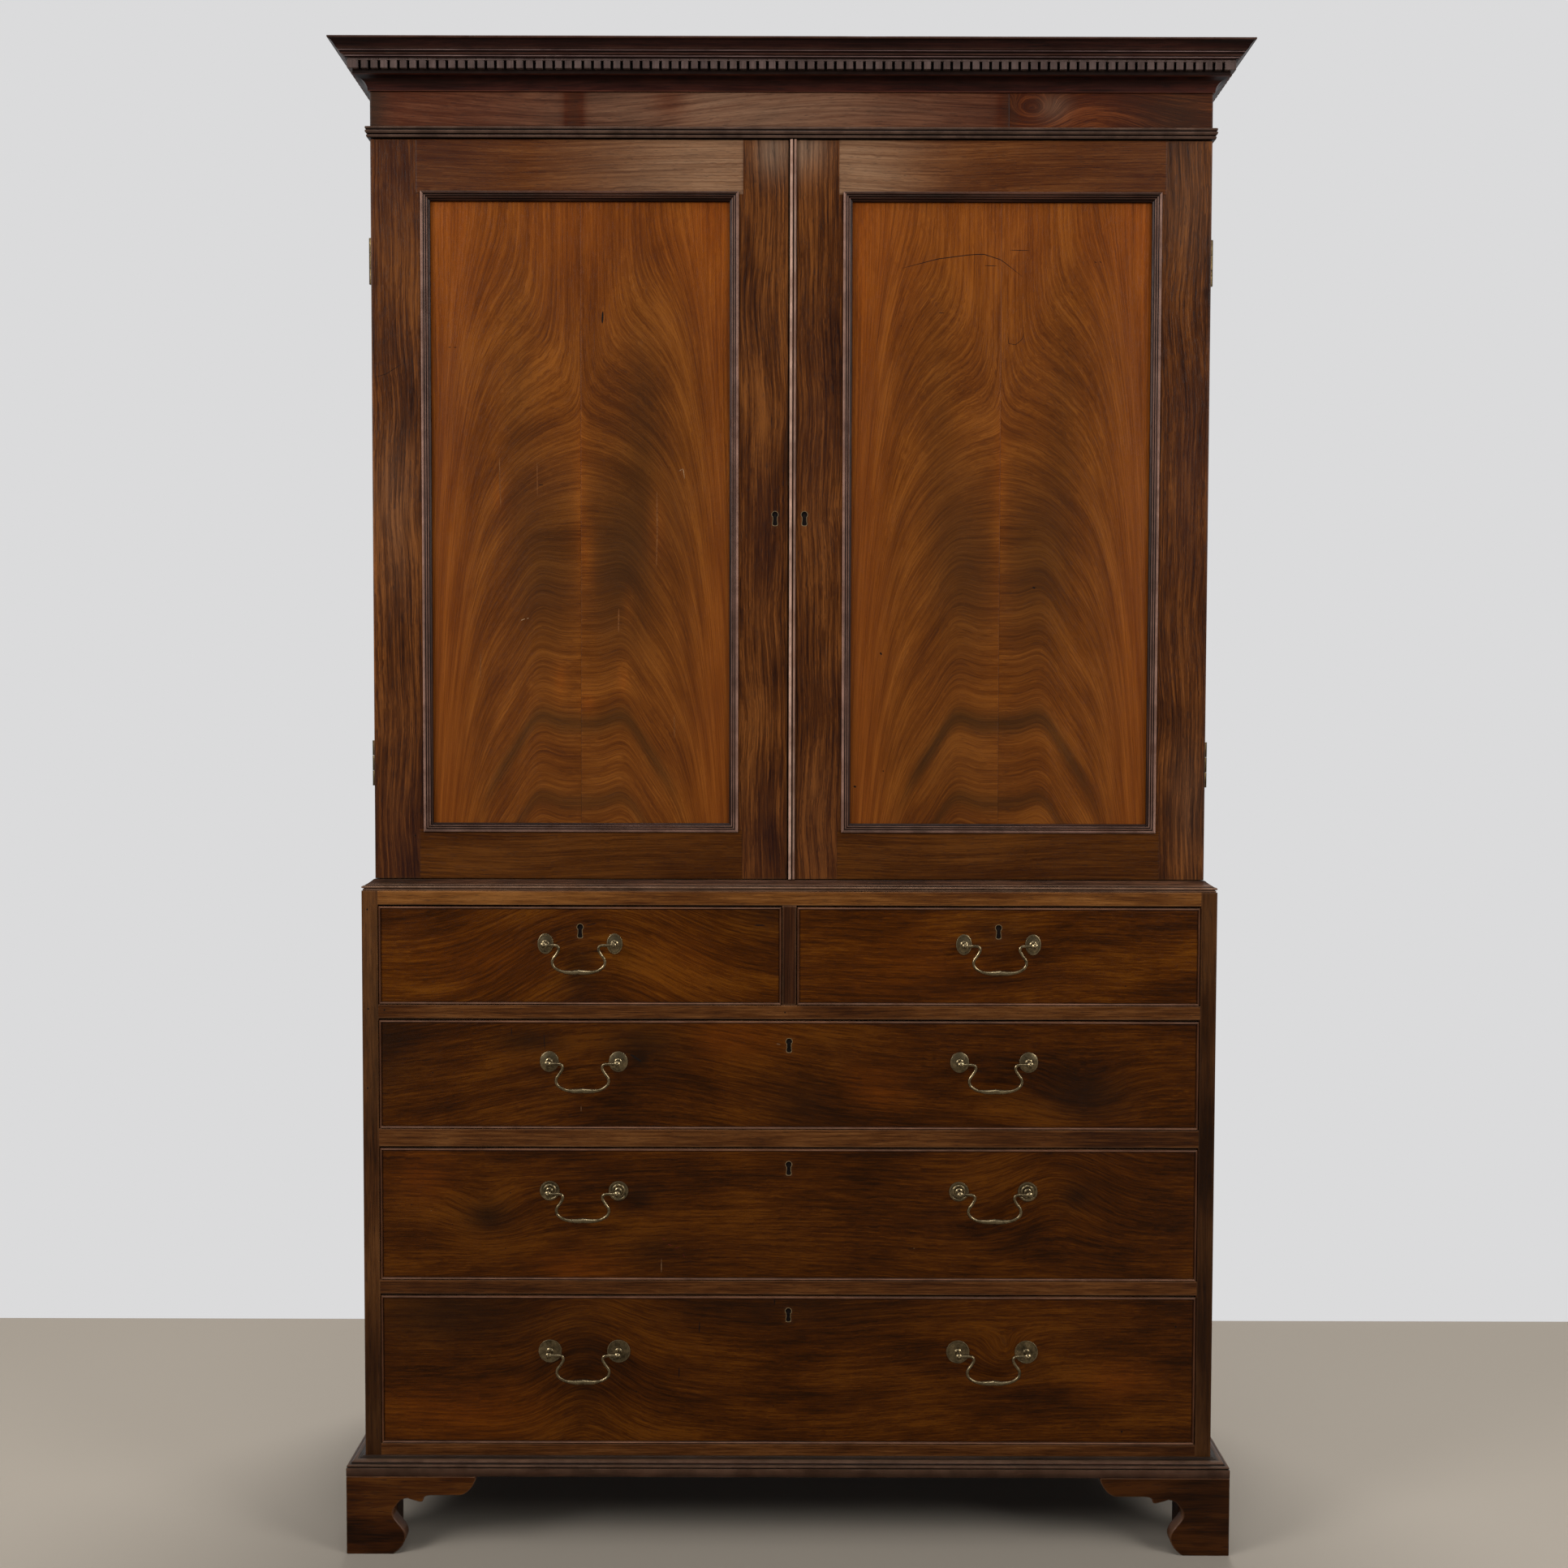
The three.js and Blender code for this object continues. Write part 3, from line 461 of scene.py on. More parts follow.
@dataclass(frozen=True)
class Keyhole:
    """A round hole with a slot below it, placed by the centre of the round."""

    x: float
    z: float
    radius: float = 0.0046
    slot_width: float = 0.0060
    foot_width: float = 0.0076
    slot_length: float = 0.0156
    foot_round: float = 0.0022

    def outline(self, count: int, grown: float = 0.0) -> np.ndarray:
        """Points spread evenly along the outline, anticlockwise from the foot of the slot.

        Args:
            count: How many points.
            grown: How far the outline is pushed out.

        Returns:
            The points as x and z.
        """
        radius = self.radius + grown
        half = self.slot_width / 2 + grown
        start = -math.acos(half / radius)
        turn = np.linspace(start, math.pi - start, 40)
        foot = -self.slot_length - grown
        wide = self.foot_width / 2 + grown
        flat = wide - self.foot_round
        side = np.array([[flat, foot], [wide - 0.3 * self.foot_round, foot + 0.3 * self.foot_round],
                         [wide, foot + self.foot_round], [half, foot / 2]])
        arc = np.stack([np.cos(turn), np.sin(turn)], axis=1) * radius
        path = np.concatenate([[[0, foot]], side, arc, side[::-1] * [-1, 1], [[0, foot]]])
        return resampled(path, np.arange(count) / count) + [self.x, self.z]

    def around(self, aside: float, below: float, above: float) -> tuple[Span, Span]:
        """The x and z spans that reach so far aside, below and above the middle of the round."""
        return (self.x - aside, self.x + aside), (self.z - below, self.z + above)


@dataclass(frozen=True)
class Patch:
    """A soft patch of a board: its place and spread as shares of the board, and its strength.

    The strength is how far the grain is pushed aside, in metres, or how bright the tone is made.
    """

    u: float
    v: float
    du: float
    dv: float
    strength: float


def bells(patches: tuple[Patch, ...], u: np.ndarray, v: np.ndarray) -> np.ndarray:
    """Add up every patch at each point, as its strength times exp(-(du^2 + dv^2)).

    Args:
        patches: The patches.
        u: How far along the board the points are, as a share.
        v: How far up it they are.

    Returns:
        The sum at each point.
    """
    total = np.zeros(len(u))
    for p in patches:
        total += p.strength * np.exp(-(((u - p.u) / p.du) ** 2 + ((v - p.v) / p.dv) ** 2))
    return total


@dataclass(frozen=True)
class BoardFigure:
    """The figure of a veneered board: swirls push its grain aside, and patches change its tone, as stains
    and painted light.
    """

    x: Span
    z: Span
    swirls: tuple[Patch, ...] = ()
    stains_and_painted_light: tuple[Patch, ...] = ()
    slope: float = 0.0
    upright: bool = False

    def at(self, x: np.ndarray, z: np.ndarray) -> tuple[np.ndarray, np.ndarray]:
        """The tone and the grain at each point.

        Args:
            x: Where the points are from left to right.
            z: How high they are.

        Returns:
            The tone from minus one to one, and metres along and across the grain.
        """
        u, v = (x - self.x[0]) / (self.x[1] - self.x[0]), (z - self.z[0]) / (self.z[1] - self.z[0])
        along, across = (z, x) if self.upright else (x, z)
        across = across + self.slope * (along - along.mean()) + bells(self.swirls, u, v)
        return np.clip(bells(self.stains_and_painted_light, u, v), -1, 1), np.stack([along, across], axis=1)


def smooth_step(value: np.ndarray, low: float, high: float) -> np.ndarray:
    """Rise from nought to one between low and high, as 3t^2 - 2t^3."""
    t = np.clip((value - low) / (high - low), 0, 1)
    return t * t * (3 - 2 * t)


@dataclass(frozen=True)
class CrotchFigure:
    """The fountain of grain on a door panel, book-matched about its seam.

    u is the distance from the seam as a share of half the panel, and w is the fall from the top as a
    share of its height. The grain's lines hold one value steady, the softly larger of two: -s u above,
    whose lines run straight down, and w - c - g(u) below, whose lines arch over and fall to the sides.
    """

    x: Span
    z: Span
    stains_and_painted_light: tuple[Patch, ...] = ()
    sweep: float = 0.64
    crown: float = 0.33
    arch_dip: float = 0.03
    softness: float = 0.033

    def flow(self, u: np.ndarray, w: np.ndarray) -> np.ndarray:
        """The value that stays steady along each line: log(exp(a/k) + exp(b/k)) k of the two.

        Args:
            u: The distance from the seam.
            w: The fall from the top.

        Returns:
            The value at each point.
        """
        dip = self.arch_dip * np.exp(-((u - 0.3) / 0.13) ** 2) * smooth_step(w, 0.42, 0.64)
        arches = w - self.crown - 0.25 * u ** 2 - 0.7 * u ** 8 + dip
        return self.softness * np.logaddexp(-self.sweep * u / self.softness, arches / self.softness)

    def at(self, x: np.ndarray, z: np.ndarray) -> tuple[np.ndarray, np.ndarray]:
        """The tone and the grain at each point.

        The tone is smoky arcs that follow the lines below, a smoky heart, bright sides and the patches.
        Along the grain is the fall plus the distance out, and across it is the flow, of which the
        arches' part counts 2.2 times, as their lines lie further apart than the falling ones.

        Args:
            x: Where the points are from left to right.
            z: How high they are.

        Returns:
            The tone from minus one to one, and metres along and across the grain.
        """
        half, height = (self.x[1] - self.x[0]) / 2, self.z[1] - self.z[0]
        side = np.clip((x - sum(self.x) / 2) / half, -1, 1)
        u = np.abs(side)
        w = np.clip((self.z[1] - z) / height, 0, 1)
        flow = self.flow(u, w)
        along = w * height + u * half + 0.4 * (side > 0)
        across = (flow + 1.2 * np.maximum(flow, 0)) * height * 0.42 + 0.002 * side
        inner = 1 - smooth_step(u, 0.5, 0.75)
        arcs = np.exp(-((flow - 0.507) / 0.018) ** 2) + 0.7 * np.exp(-((flow - 0.637) / 0.014) ** 2)
        heart = np.exp(-((u - 0.22) / 0.28) ** 2 - ((w - 0.58) / 0.17) ** 2)
        shoulder = np.exp(-((u - 0.42) / 0.13) ** 2 - ((w - 0.33) / 0.22) ** 2)
        tongue = np.exp(-((u + 0.01) / 0.06) ** 2 - ((w - 0.47) / 0.13) ** 2)
        foot = np.exp(-(u / 0.5) ** 2 - ((w - 0.97) / 0.14) ** 2)
        tone = (0.24 * smooth_step(u, 0.6, 0.95) + 0.25 * (1 - smooth_step(w, 0.0, 0.3)) + 0.4 * tongue
                - 0.75 * heart - 0.3 * shoulder - 0.75 * arcs * inner * smooth_step(w, 0.7, 0.78)
                - 0.25 * foot + bells(self.stains_and_painted_light, side, 1 - w))
        return np.clip(tone, -1, 1), np.stack([along, across], axis=1)


def plate(x: Span, y: Span, z: Span, figure: BoardFigure | CrotchFigure, cell: float = 0.008,
          ease: float = 0.0008, keyhole: Keyhole | None = None, shift: float = 0.0,
          rub: float = 1.0) -> Shape:
    """Flat board as two grids with eased edges, and a keyhole cut through where there is one.

    The edge is a chain of loops pushed out and back by a quarter turn's sines. Round the keyhole, the
    window's border is joined to as many points spread along the keyhole.

    Args:
        x: Its left and right.
        y: Its front and back.
        z: Its bottom and top.
        figure: What gives the grain's flow and tone.
        cell: The widest cell of the grid.
        ease: The radius of the front and back edges.
        keyhole: The keyhole, if any.
        shift: How far its grain is moved.
        rub: Above zero how pale its edges are painted, for rubbed wear and painted highlight, and below
            zero how dark, for dark polish and painted shade.

    Returns:
        The shape.
    """
    window = keyhole.around(0.008, keyhole.slot_length + 0.004, 0.008) if keyhole else ((0, 0), (0, 0))
    fine = 0.002
    marks = [tuple(np.linspace(*span, round((span[1] - span[0]) / fine / 2) * 2 + 1)) if keyhole else ()
             for span in window]
    border = 0.0025
    xs = spaced(x[0] + ease, x[1] - ease, cell, (x[0] + ease + border, x[1] - ease - border, *marks[0]))
    zs = spaced(z[0] + ease, z[1] - ease, cell, (z[0] + ease + border, z[1] - ease - border, *marks[1]))
    index = np.arange(len(xs) * len(zs)).reshape(len(xs), len(zs))
    cells = np.stack([index[:-1, :-1], index[1:, :-1], index[1:, 1:], index[:-1, 1:]], axis=-1)
    kept = np.ones(cells.shape[:2], bool)
    gx, gz = (g.reshape(-1) for g in np.meshgrid(xs, zs, indexing="ij"))
    rim = np.concatenate([index[:-1, 0], index[-1, :-1], index[:0:-1, -1], index[0, :0:-1]])
    out = np.stack([np.sign(gx[rim] - np.median(xs)) * ((gx[rim] == xs[0]) | (gx[rim] == xs[-1])),
                    np.sign(gz[rim] - np.median(zs)) * ((gz[rim] == zs[0]) | (gz[rim] == zs[-1]))],
                   axis=1)
    sine = math.sqrt(0.5)
    depth = y[1] - y[0]
    chain = [(ease * sine, ease * (1 - sine), 1.0), (ease, ease, 0.6), (ease, depth - ease, 0.3),
             (ease * sine, depth - ease * (1 - sine), 0.3)]
    grid = np.stack([gx, np.full(len(gx), y[0]), gz], axis=1)
    edge_crest = np.zeros(len(gx))
    edge_crest[rim] = 0.5 * rub
    points = [grid, grid + [0, depth, 0]]
    crests = [edge_crest, np.zeros(len(gx))]
    loops = [rim]
    total = 2 * len(gx)
    for push, back, crest in chain:
        ring = grid[rim] + np.stack([out[:, 0] * push, np.full(len(rim), back), out[:, 1] * push], axis=1)
        points.append(ring)
        crests.append(np.full(len(rim), crest * rub))
        loops.append(np.arange(total, total + len(rim)))
        total += len(rim)
    loops.append(rim + len(gx))
    bands = list(zip(loops[:-1], loops[1:]))
    faces = []
    if keyhole:
        i0, i1 = (int(np.argmin(np.abs(xs - m))) for m in window[0])
        j0, j1 = (int(np.argmin(np.abs(zs - m))) for m in window[1])
        kept[i0:i1, j0:j1] = False
        hole = np.concatenate([index[i0:i1, j0], index[i1, j0:j1], index[i1:i0:-1, j1],
                               index[i0, j1:j0:-1]])
        hole = np.roll(hole, -((i1 - i0) // 2))
        flat = keyhole.outline(len(hole))
        inner = np.stack([flat[:, 0], np.full(len(hole), y[0]), flat[:, 1]], axis=1)
        points += [inner, inner + [0, depth, 0]]
        # The back of the keyhole's bore is painted dark: painted shade inside the hole.
        crests += [np.full(len(hole), 0.1), np.full(len(hole), -1.0)]
        front = np.arange(total, total + len(hole))
        rear = front + len(hole)
        bands += [(front, hole), (rear, front), (hole + len(gx), rear)]
    for a, b in bands:
        faces.append(np.stack([np.roll(a, -1), a, b, np.roll(b, -1)], axis=1))
    faces += [cells[kept], cells[kept][:, ::-1] + len(gx)]
    every = np.concatenate(points)
    tone, grain = figure.at(every[:, 0], every[:, 2])
    return closed_shape(every, faces, np.concatenate(crests), tone, grain, shift)


def turned(profile: list[list[float]], centre: tuple[float, float, float], ease: float = 0.0003,
           steps: int = 24, stretch: float = 1.0, upright: bool = False) -> Shape:
    """Turned piece that stands forward of its centre: (radius, distance) pairs carried round its axis.

    At a turn of a, a point is (r cos a, -d, r sin a times the stretch) from the centre. An upright piece
    has (r cos a, r sin a, d) instead.

    Args:
        profile: The radius and the distance forward of each point, from the back to the tip.
        centre: The middle of its back.
        ease: The radius of its eased corners.
        steps: Points round it.
        stretch: Its height over its width.
        upright: Whether its axis stands up.

    Returns:
        The shape.
    """
    first, last = profile[0][1], profile[-1][1]
    off_axis = [pair for pair in profile if pair[0] > ease / 2]
    solid, crest = eased(np.array([[0, first], *off_axis, [0, last]]), ease)
    solid, crest = (values[solid[:, 0] > ease / 2] for values in (solid, crest))
    solid = np.concatenate([[[0, first]], solid, [[0, last]]])
    crest = np.concatenate([[0], crest, [0]])
    turn = np.linspace(0, 2 * math.pi, steps, endpoint=False)
    pole = 1e-5
    radius = np.maximum(solid[:, :1], pole)
    out = np.broadcast_to(solid[:, 1:], (len(solid), steps))
    over, up = radius * np.cos(turn), radius * np.sin(turn) * stretch
    rings = np.stack([over, up, out] if upright else [over, -out, up], axis=-1)
    return loft(rings + np.array(centre), np.broadcast_to(crest[:, None], rings.shape[:2]))


def cut_out(outline: np.ndarray, depth: Span, axis: int = 1, ease: float = 0.001,
            mitre: float = 0.0, shift: float = 0.0) -> Shape:
    """Board sawn to an outline: rings of the outline, drawn in at both faces to ease its edges.

    Args:
        outline: The points in the plane across the axis, in the order of the axes left.
        depth: Its two faces along the axis.
        axis: The axis that it is thick along.
        ease: How far the faces' edges are eased.
        mitre: How far the first edge is cut back at the far face, as a mitre.
        shift: How far its grain is moved.

    Returns:
        The shape.
    """
    before = outline - np.roll(outline, 1, axis=0)
    after = np.roll(before, -1, axis=0)
    way = before / np.linalg.norm(before, axis=1, keepdims=True)
    way = way + after / np.linalg.norm(after, axis=1, keepdims=True)
    way /= np.linalg.norm(way, axis=1, keepdims=True)
    hand = np.sign((outline[:, 0] * after[:, 1] - outline[:, 1] * after[:, 0]).sum())
    inward = np.stack([-way[:, 1], way[:, 0]], axis=1) * hand
    thick = depth[1] - depth[0]
    rings = []
    flat_from = 1.5 * ease
    for draw, back in ((flat_from, 0.0), (ease, 0.0), (0.0, ease), (0.0, thick - ease), (ease, thick),
                       (flat_from, thick)):
        flat = outline + inward * draw
        edge = np.abs(outline[:, 0] - outline[0, 0]) < 1e-6
        flat[:, 0] += np.where(edge, mitre * back / thick, 0.0)
        rings.append(np.insert(flat, axis, depth[0] + back, axis=1))
    return loft(np.stack(rings), np.array([[0.0], [0.6], [1.0], [0.3], [0.4], [0.0]]), shift=shift)


# Shader nodes

TONE_STOPS = (0.27, 0.5, 0.75)


class NodeSheet:
    """Lays out the nodes of one tree from left to right."""

    def __init__(self, tree: bpy.types.NodeTree) -> None:
        """Start on a tree.

        Args:
            tree: The node tree of a material, a world or a group.
        """
        self.tree = tree

    def node(self, kind: str, inputs: dict | None = None, **settings) -> bpy.types.Node:
        """Add a node.

        Args:
            kind: Its type.
            inputs: A value or another node's output for some of its inputs.
            **settings: Its options.

        Returns:
            The node.
        """
        made = self.tree.nodes.new(kind)
        made.location = (190 * len(self.tree.nodes), 0)
        for name, value in settings.items():
            setattr(made, name, value)
        for name, value in (inputs or {}).items():
            if isinstance(value, bpy.types.NodeSocket):
                self.tree.links.new(value, made.inputs[name])
            else:
                made.inputs[name].default_value = value
        return made

    def join(self, output: bpy.types.NodeSocket, node: bpy.types.Node, name: str) -> None:
        """Link an output to a node's named input."""
        self.tree.links.new(output, node.inputs[name])

    def group(self, tree: bpy.types.NodeTree, inputs: dict[str, Value]) -> bpy.types.Node:
        """Place a shader group and fill its inputs."""
        return self.node("ShaderNodeGroup", inputs, node_tree=tree)

    def math(self, operation: str, a: Value, b: Value, clamp: bool = False) -> bpy.types.NodeSocket:
        """Work out one operation on two values."""
        return self.node("ShaderNodeMath", {0: a, 1: b}, operation=operation, use_clamp=clamp).outputs[0]

    def plus(self, a: Value, b: Value, clamp: bool = False) -> bpy.types.NodeSocket:
        """Add two values."""
        return self.math("ADD", a, b, clamp)

    def times(self, a: Value, b: Value, clamp: bool = False) -> bpy.types.NodeSocket:
        """Multiply two values."""
        return self.math("MULTIPLY", a, b, clamp)

    def vector(self, x: Value, y: Value, z: Value) -> bpy.types.NodeSocket:
        """Put three values together as a vector."""
        return self.node("ShaderNodeCombineXYZ", {0: x, 1: y, 2: z}).outputs[0]

    def vector_math(self, operation: str, a: Value, b: Value) -> bpy.types.NodeSocket:
        """Work out one operation on two vectors."""
        return self.node("ShaderNodeVectorMath", {0: a, 1: b}, operation=operation).outputs[0]

    def place(self) -> bpy.types.NodeSocket:
        """Each point's place on its object, in metres."""
        return self.node("ShaderNodeTexCoord").outputs["Object"]

    def mix(self, share: Value, a: Value, b: Value) -> bpy.types.NodeSocket:
        """Mix two colours."""
        return self.node("ShaderNodeMix", {0: share, 6: a, 7: b}, data_type="RGBA").outputs[2]

    def spread(self, value: Value, low: float, high: float, to_low: float = 0.0,
               to_high: float = 1.0) -> bpy.types.NodeSocket:
        """Stretch a value from one range to another, and clamp it there."""
        limits = {1: low, 2: high, 3: to_low, 4: to_high}
        return self.node("ShaderNodeMapRange", {0: value, **limits}).outputs[0]

    def noise(self, vector: Value, scale: float, detail: float = 2.0,
              roughness: float = 0.5) -> bpy.types.NodeSocket:
        """Noise at a vector, about one half."""
        return self.node("ShaderNodeTexNoise", {"Vector": vector, "Scale": scale, "Detail": detail,
                                                "Roughness": roughness}).outputs[0]

    def scaled(self, vector: Value, along: Value, across: Value) -> bpy.types.NodeSocket:
        """Multiply a grain vector by one value along the grain and another across it."""
        return self.vector_math("MULTIPLY", vector, self.vector(along, across, across))

    def value(self, name: str) -> bpy.types.NodeSocket:
        """Read one of the piece's own values at each point."""
        return self.node("ShaderNodeAttribute", attribute_name=name).outputs["Fac"]


def shader_group(name: str, inputs: dict[str, str],
                 outputs: dict[str, str]) -> tuple[NodeSheet, bpy.types.Node, bpy.types.Node]:
    """Start a shader node group with its sockets.

    Args:
        name: The group's name.
        inputs: The kind of each named input socket.
        outputs: The kind of each named output socket.

    Returns:
        A sheet on the group, its input node and its output node.
    """
    tree = bpy.data.node_groups.new(name, "ShaderNodeTree")
    for way, sockets in (("INPUT", inputs), ("OUTPUT", outputs)):
        for label, kind in sockets.items():
            tree.interface.new_socket(name=label, in_out=way, socket_type=f"NodeSocket{kind}")
    sheet = NodeSheet(tree)
    return sheet, sheet.node("NodeGroupInput"), sheet.node("NodeGroupOutput")


@cache
def wood_grain() -> bpy.types.NodeTree:
    """Group for grain: long streaks, fine lines between them, short pores and clouds of tone.

    Returns:
        The group.
    """
    sheet, start, end = shader_group(
        "wood_grain", {"Vector": "Vector", "Streaks": "Float", "Stretch": "Float", "Wander": "Float",
                       "Ripple": "Float"},
        {"Streak": "Float", "Fine": "Float", "Pores": "Float", "Cloud": "Float"})
    place, streaks, stretch, wander, ripple = start.outputs[:5]
    slow = sheet.noise(sheet.scaled(place, 2.5, 14.0), 1.0, 2.0)
    quick = sheet.noise(sheet.scaled(place, 75.0, 30.0), 1.0, 1.0)
    push = sheet.plus(sheet.times(sheet.math("SUBTRACT", slow, 0.5), wander),
                      sheet.times(sheet.math("SUBTRACT", quick, 0.5), ripple))
    bent = sheet.vector_math("ADD", place, sheet.vector(0.0, push, push))
    lengthwise = sheet.math("DIVIDE", streaks, stretch)
    lines = sheet.scaled(bent, lengthwise, streaks)
    streak = sheet.noise(lines, 1.0, 5.0, 0.64)
    fine = sheet.noise(lines, 3.9, 3.0, 0.6)
    pores = sheet.scaled(bent, sheet.times(lengthwise, 9.0), sheet.times(streaks, 4.5))
    dots = sheet.noise(pores, 1.0, 1.0)
    cloud = sheet.noise(sheet.scaled(bent, 5.0, 17.0), 1.0, 3.0, 0.55)
    for label, value, low, high in (("Streak", streak, 0.28, 0.72), ("Fine", fine, 0.3, 0.7),
                                    ("Pores", dots, 0.62, 0.7), ("Cloud", cloud, 0.3, 0.7)):
        sheet.join(sheet.spread(value, low, high), end, label)
    return sheet.tree


@cache
def edge_wear() -> bpy.types.NodeTree:
    """Group for edges: proud points turn pale in patches, as rubbed wear and painted highlight, and
    recesses turn dark, as dark polish and painted shade.

    Returns:
        The group.
    """
    sheet, start, end = shader_group(
        "edge_wear", {"Color": "Color", "Crest": "Float", "Vector": "Vector", "Rubbed": "Color",
                      "Grime": "Color", "Amount": "Float"}, {"Color": "Color", "Mask": "Float"})
    color, crest, place, rubbed, grime_and_shade, amount = start.outputs[:6]
    patches = sheet.spread(sheet.noise(place, 38.0, 3.0, 0.6), 0.35, 0.68, 0.5, 1.0)
    # Proud points mix toward the pale tone: rubbed wear and painted highlight.
    proud = sheet.times(sheet.times(crest, patches), amount, clamp=True)
    # Recesses mix toward the dark tone: dark polish and painted shade.
    sunk = sheet.times(sheet.times(crest, -0.9), patches, clamp=True)
    rubbed_and_lit = sheet.mix(proud, color, rubbed)
    sheet.join(sheet.mix(sunk, rubbed_and_lit, grime_and_shade), end, "Color")
    sheet.join(proud, end, "Mask")
    return sheet.tree


@cache
def settled_dust() -> bpy.types.NodeTree:
    """Group for dust: a thin pale film where a face looks up, thicker in patches.

    Returns:
        The group.
    """
    sheet, start, end = shader_group(
        "settled_dust", {"Color": "Color", "Vector": "Vector", "Amount": "Float"},
        {"Color": "Color", "Mask": "Float"})
    color, place, amount = start.outputs[:3]
    normal = sheet.node("ShaderNodeNewGeometry").outputs["Normal"]
    up = sheet.spread(sheet.node("ShaderNodeSeparateXYZ", {0: normal}).outputs[2], 0.7, 0.98)
    patches = sheet.spread(sheet.noise(place, 21.0, 4.0, 0.65), 0.3, 0.75, 0.3, 1.0)
    film = sheet.times(sheet.times(up, patches), amount, clamp=True)
    sheet.join(sheet.mix(film, color, linear(DUST)), end, "Color")
    sheet.join(film, end, "Mask")
    return sheet.tree


@cache
def tarnish() -> bpy.types.NodeTree:
    """Group for old metal: brown tarnish in blots, with fine scratches and pits for its bump.

    Returns:
        The group.
    """
    sheet, start, end = shader_group("tarnish", {"Vector": "Vector", "Amount": "Float"},
                                     {"Mask": "Float", "Height": "Float"})
    place, amount = start.outputs[:2]
    blots = sheet.spread(sheet.noise(place, 130.0, 4.0, 0.65), 0.36, 0.66)
    scratches = sheet.noise(sheet.scaled(place, 300.0, 2600.0), 1.0, 2.0)
    pits = sheet.noise(place, 1500.0, 2.0)
    sheet.join(sheet.times(blots, amount, clamp=True), end, "Mask")
    sheet.join(sheet.plus(sheet.times(scratches, 0.5), sheet.times(pits, 0.5)), end, "Height")
    return sheet.tree


def fresh_material(name: str) -> tuple[bpy.types.Material, NodeSheet, bpy.types.Node]:
    """Start a material.

    Args:
        name: The material's name.

    Returns:
        The material, a sheet on its tree, and its Principled shader.
    """
    material = bpy.data.materials.new(name)
    material.use_nodes = True
    material.node_tree.nodes.clear()
    sheet = NodeSheet(material.node_tree)
    shader = sheet.node("ShaderNodeBsdfPrincipled")
    sheet.node("ShaderNodeOutputMaterial", {"Surface": shader.outputs[0]})
    return material, sheet, shader


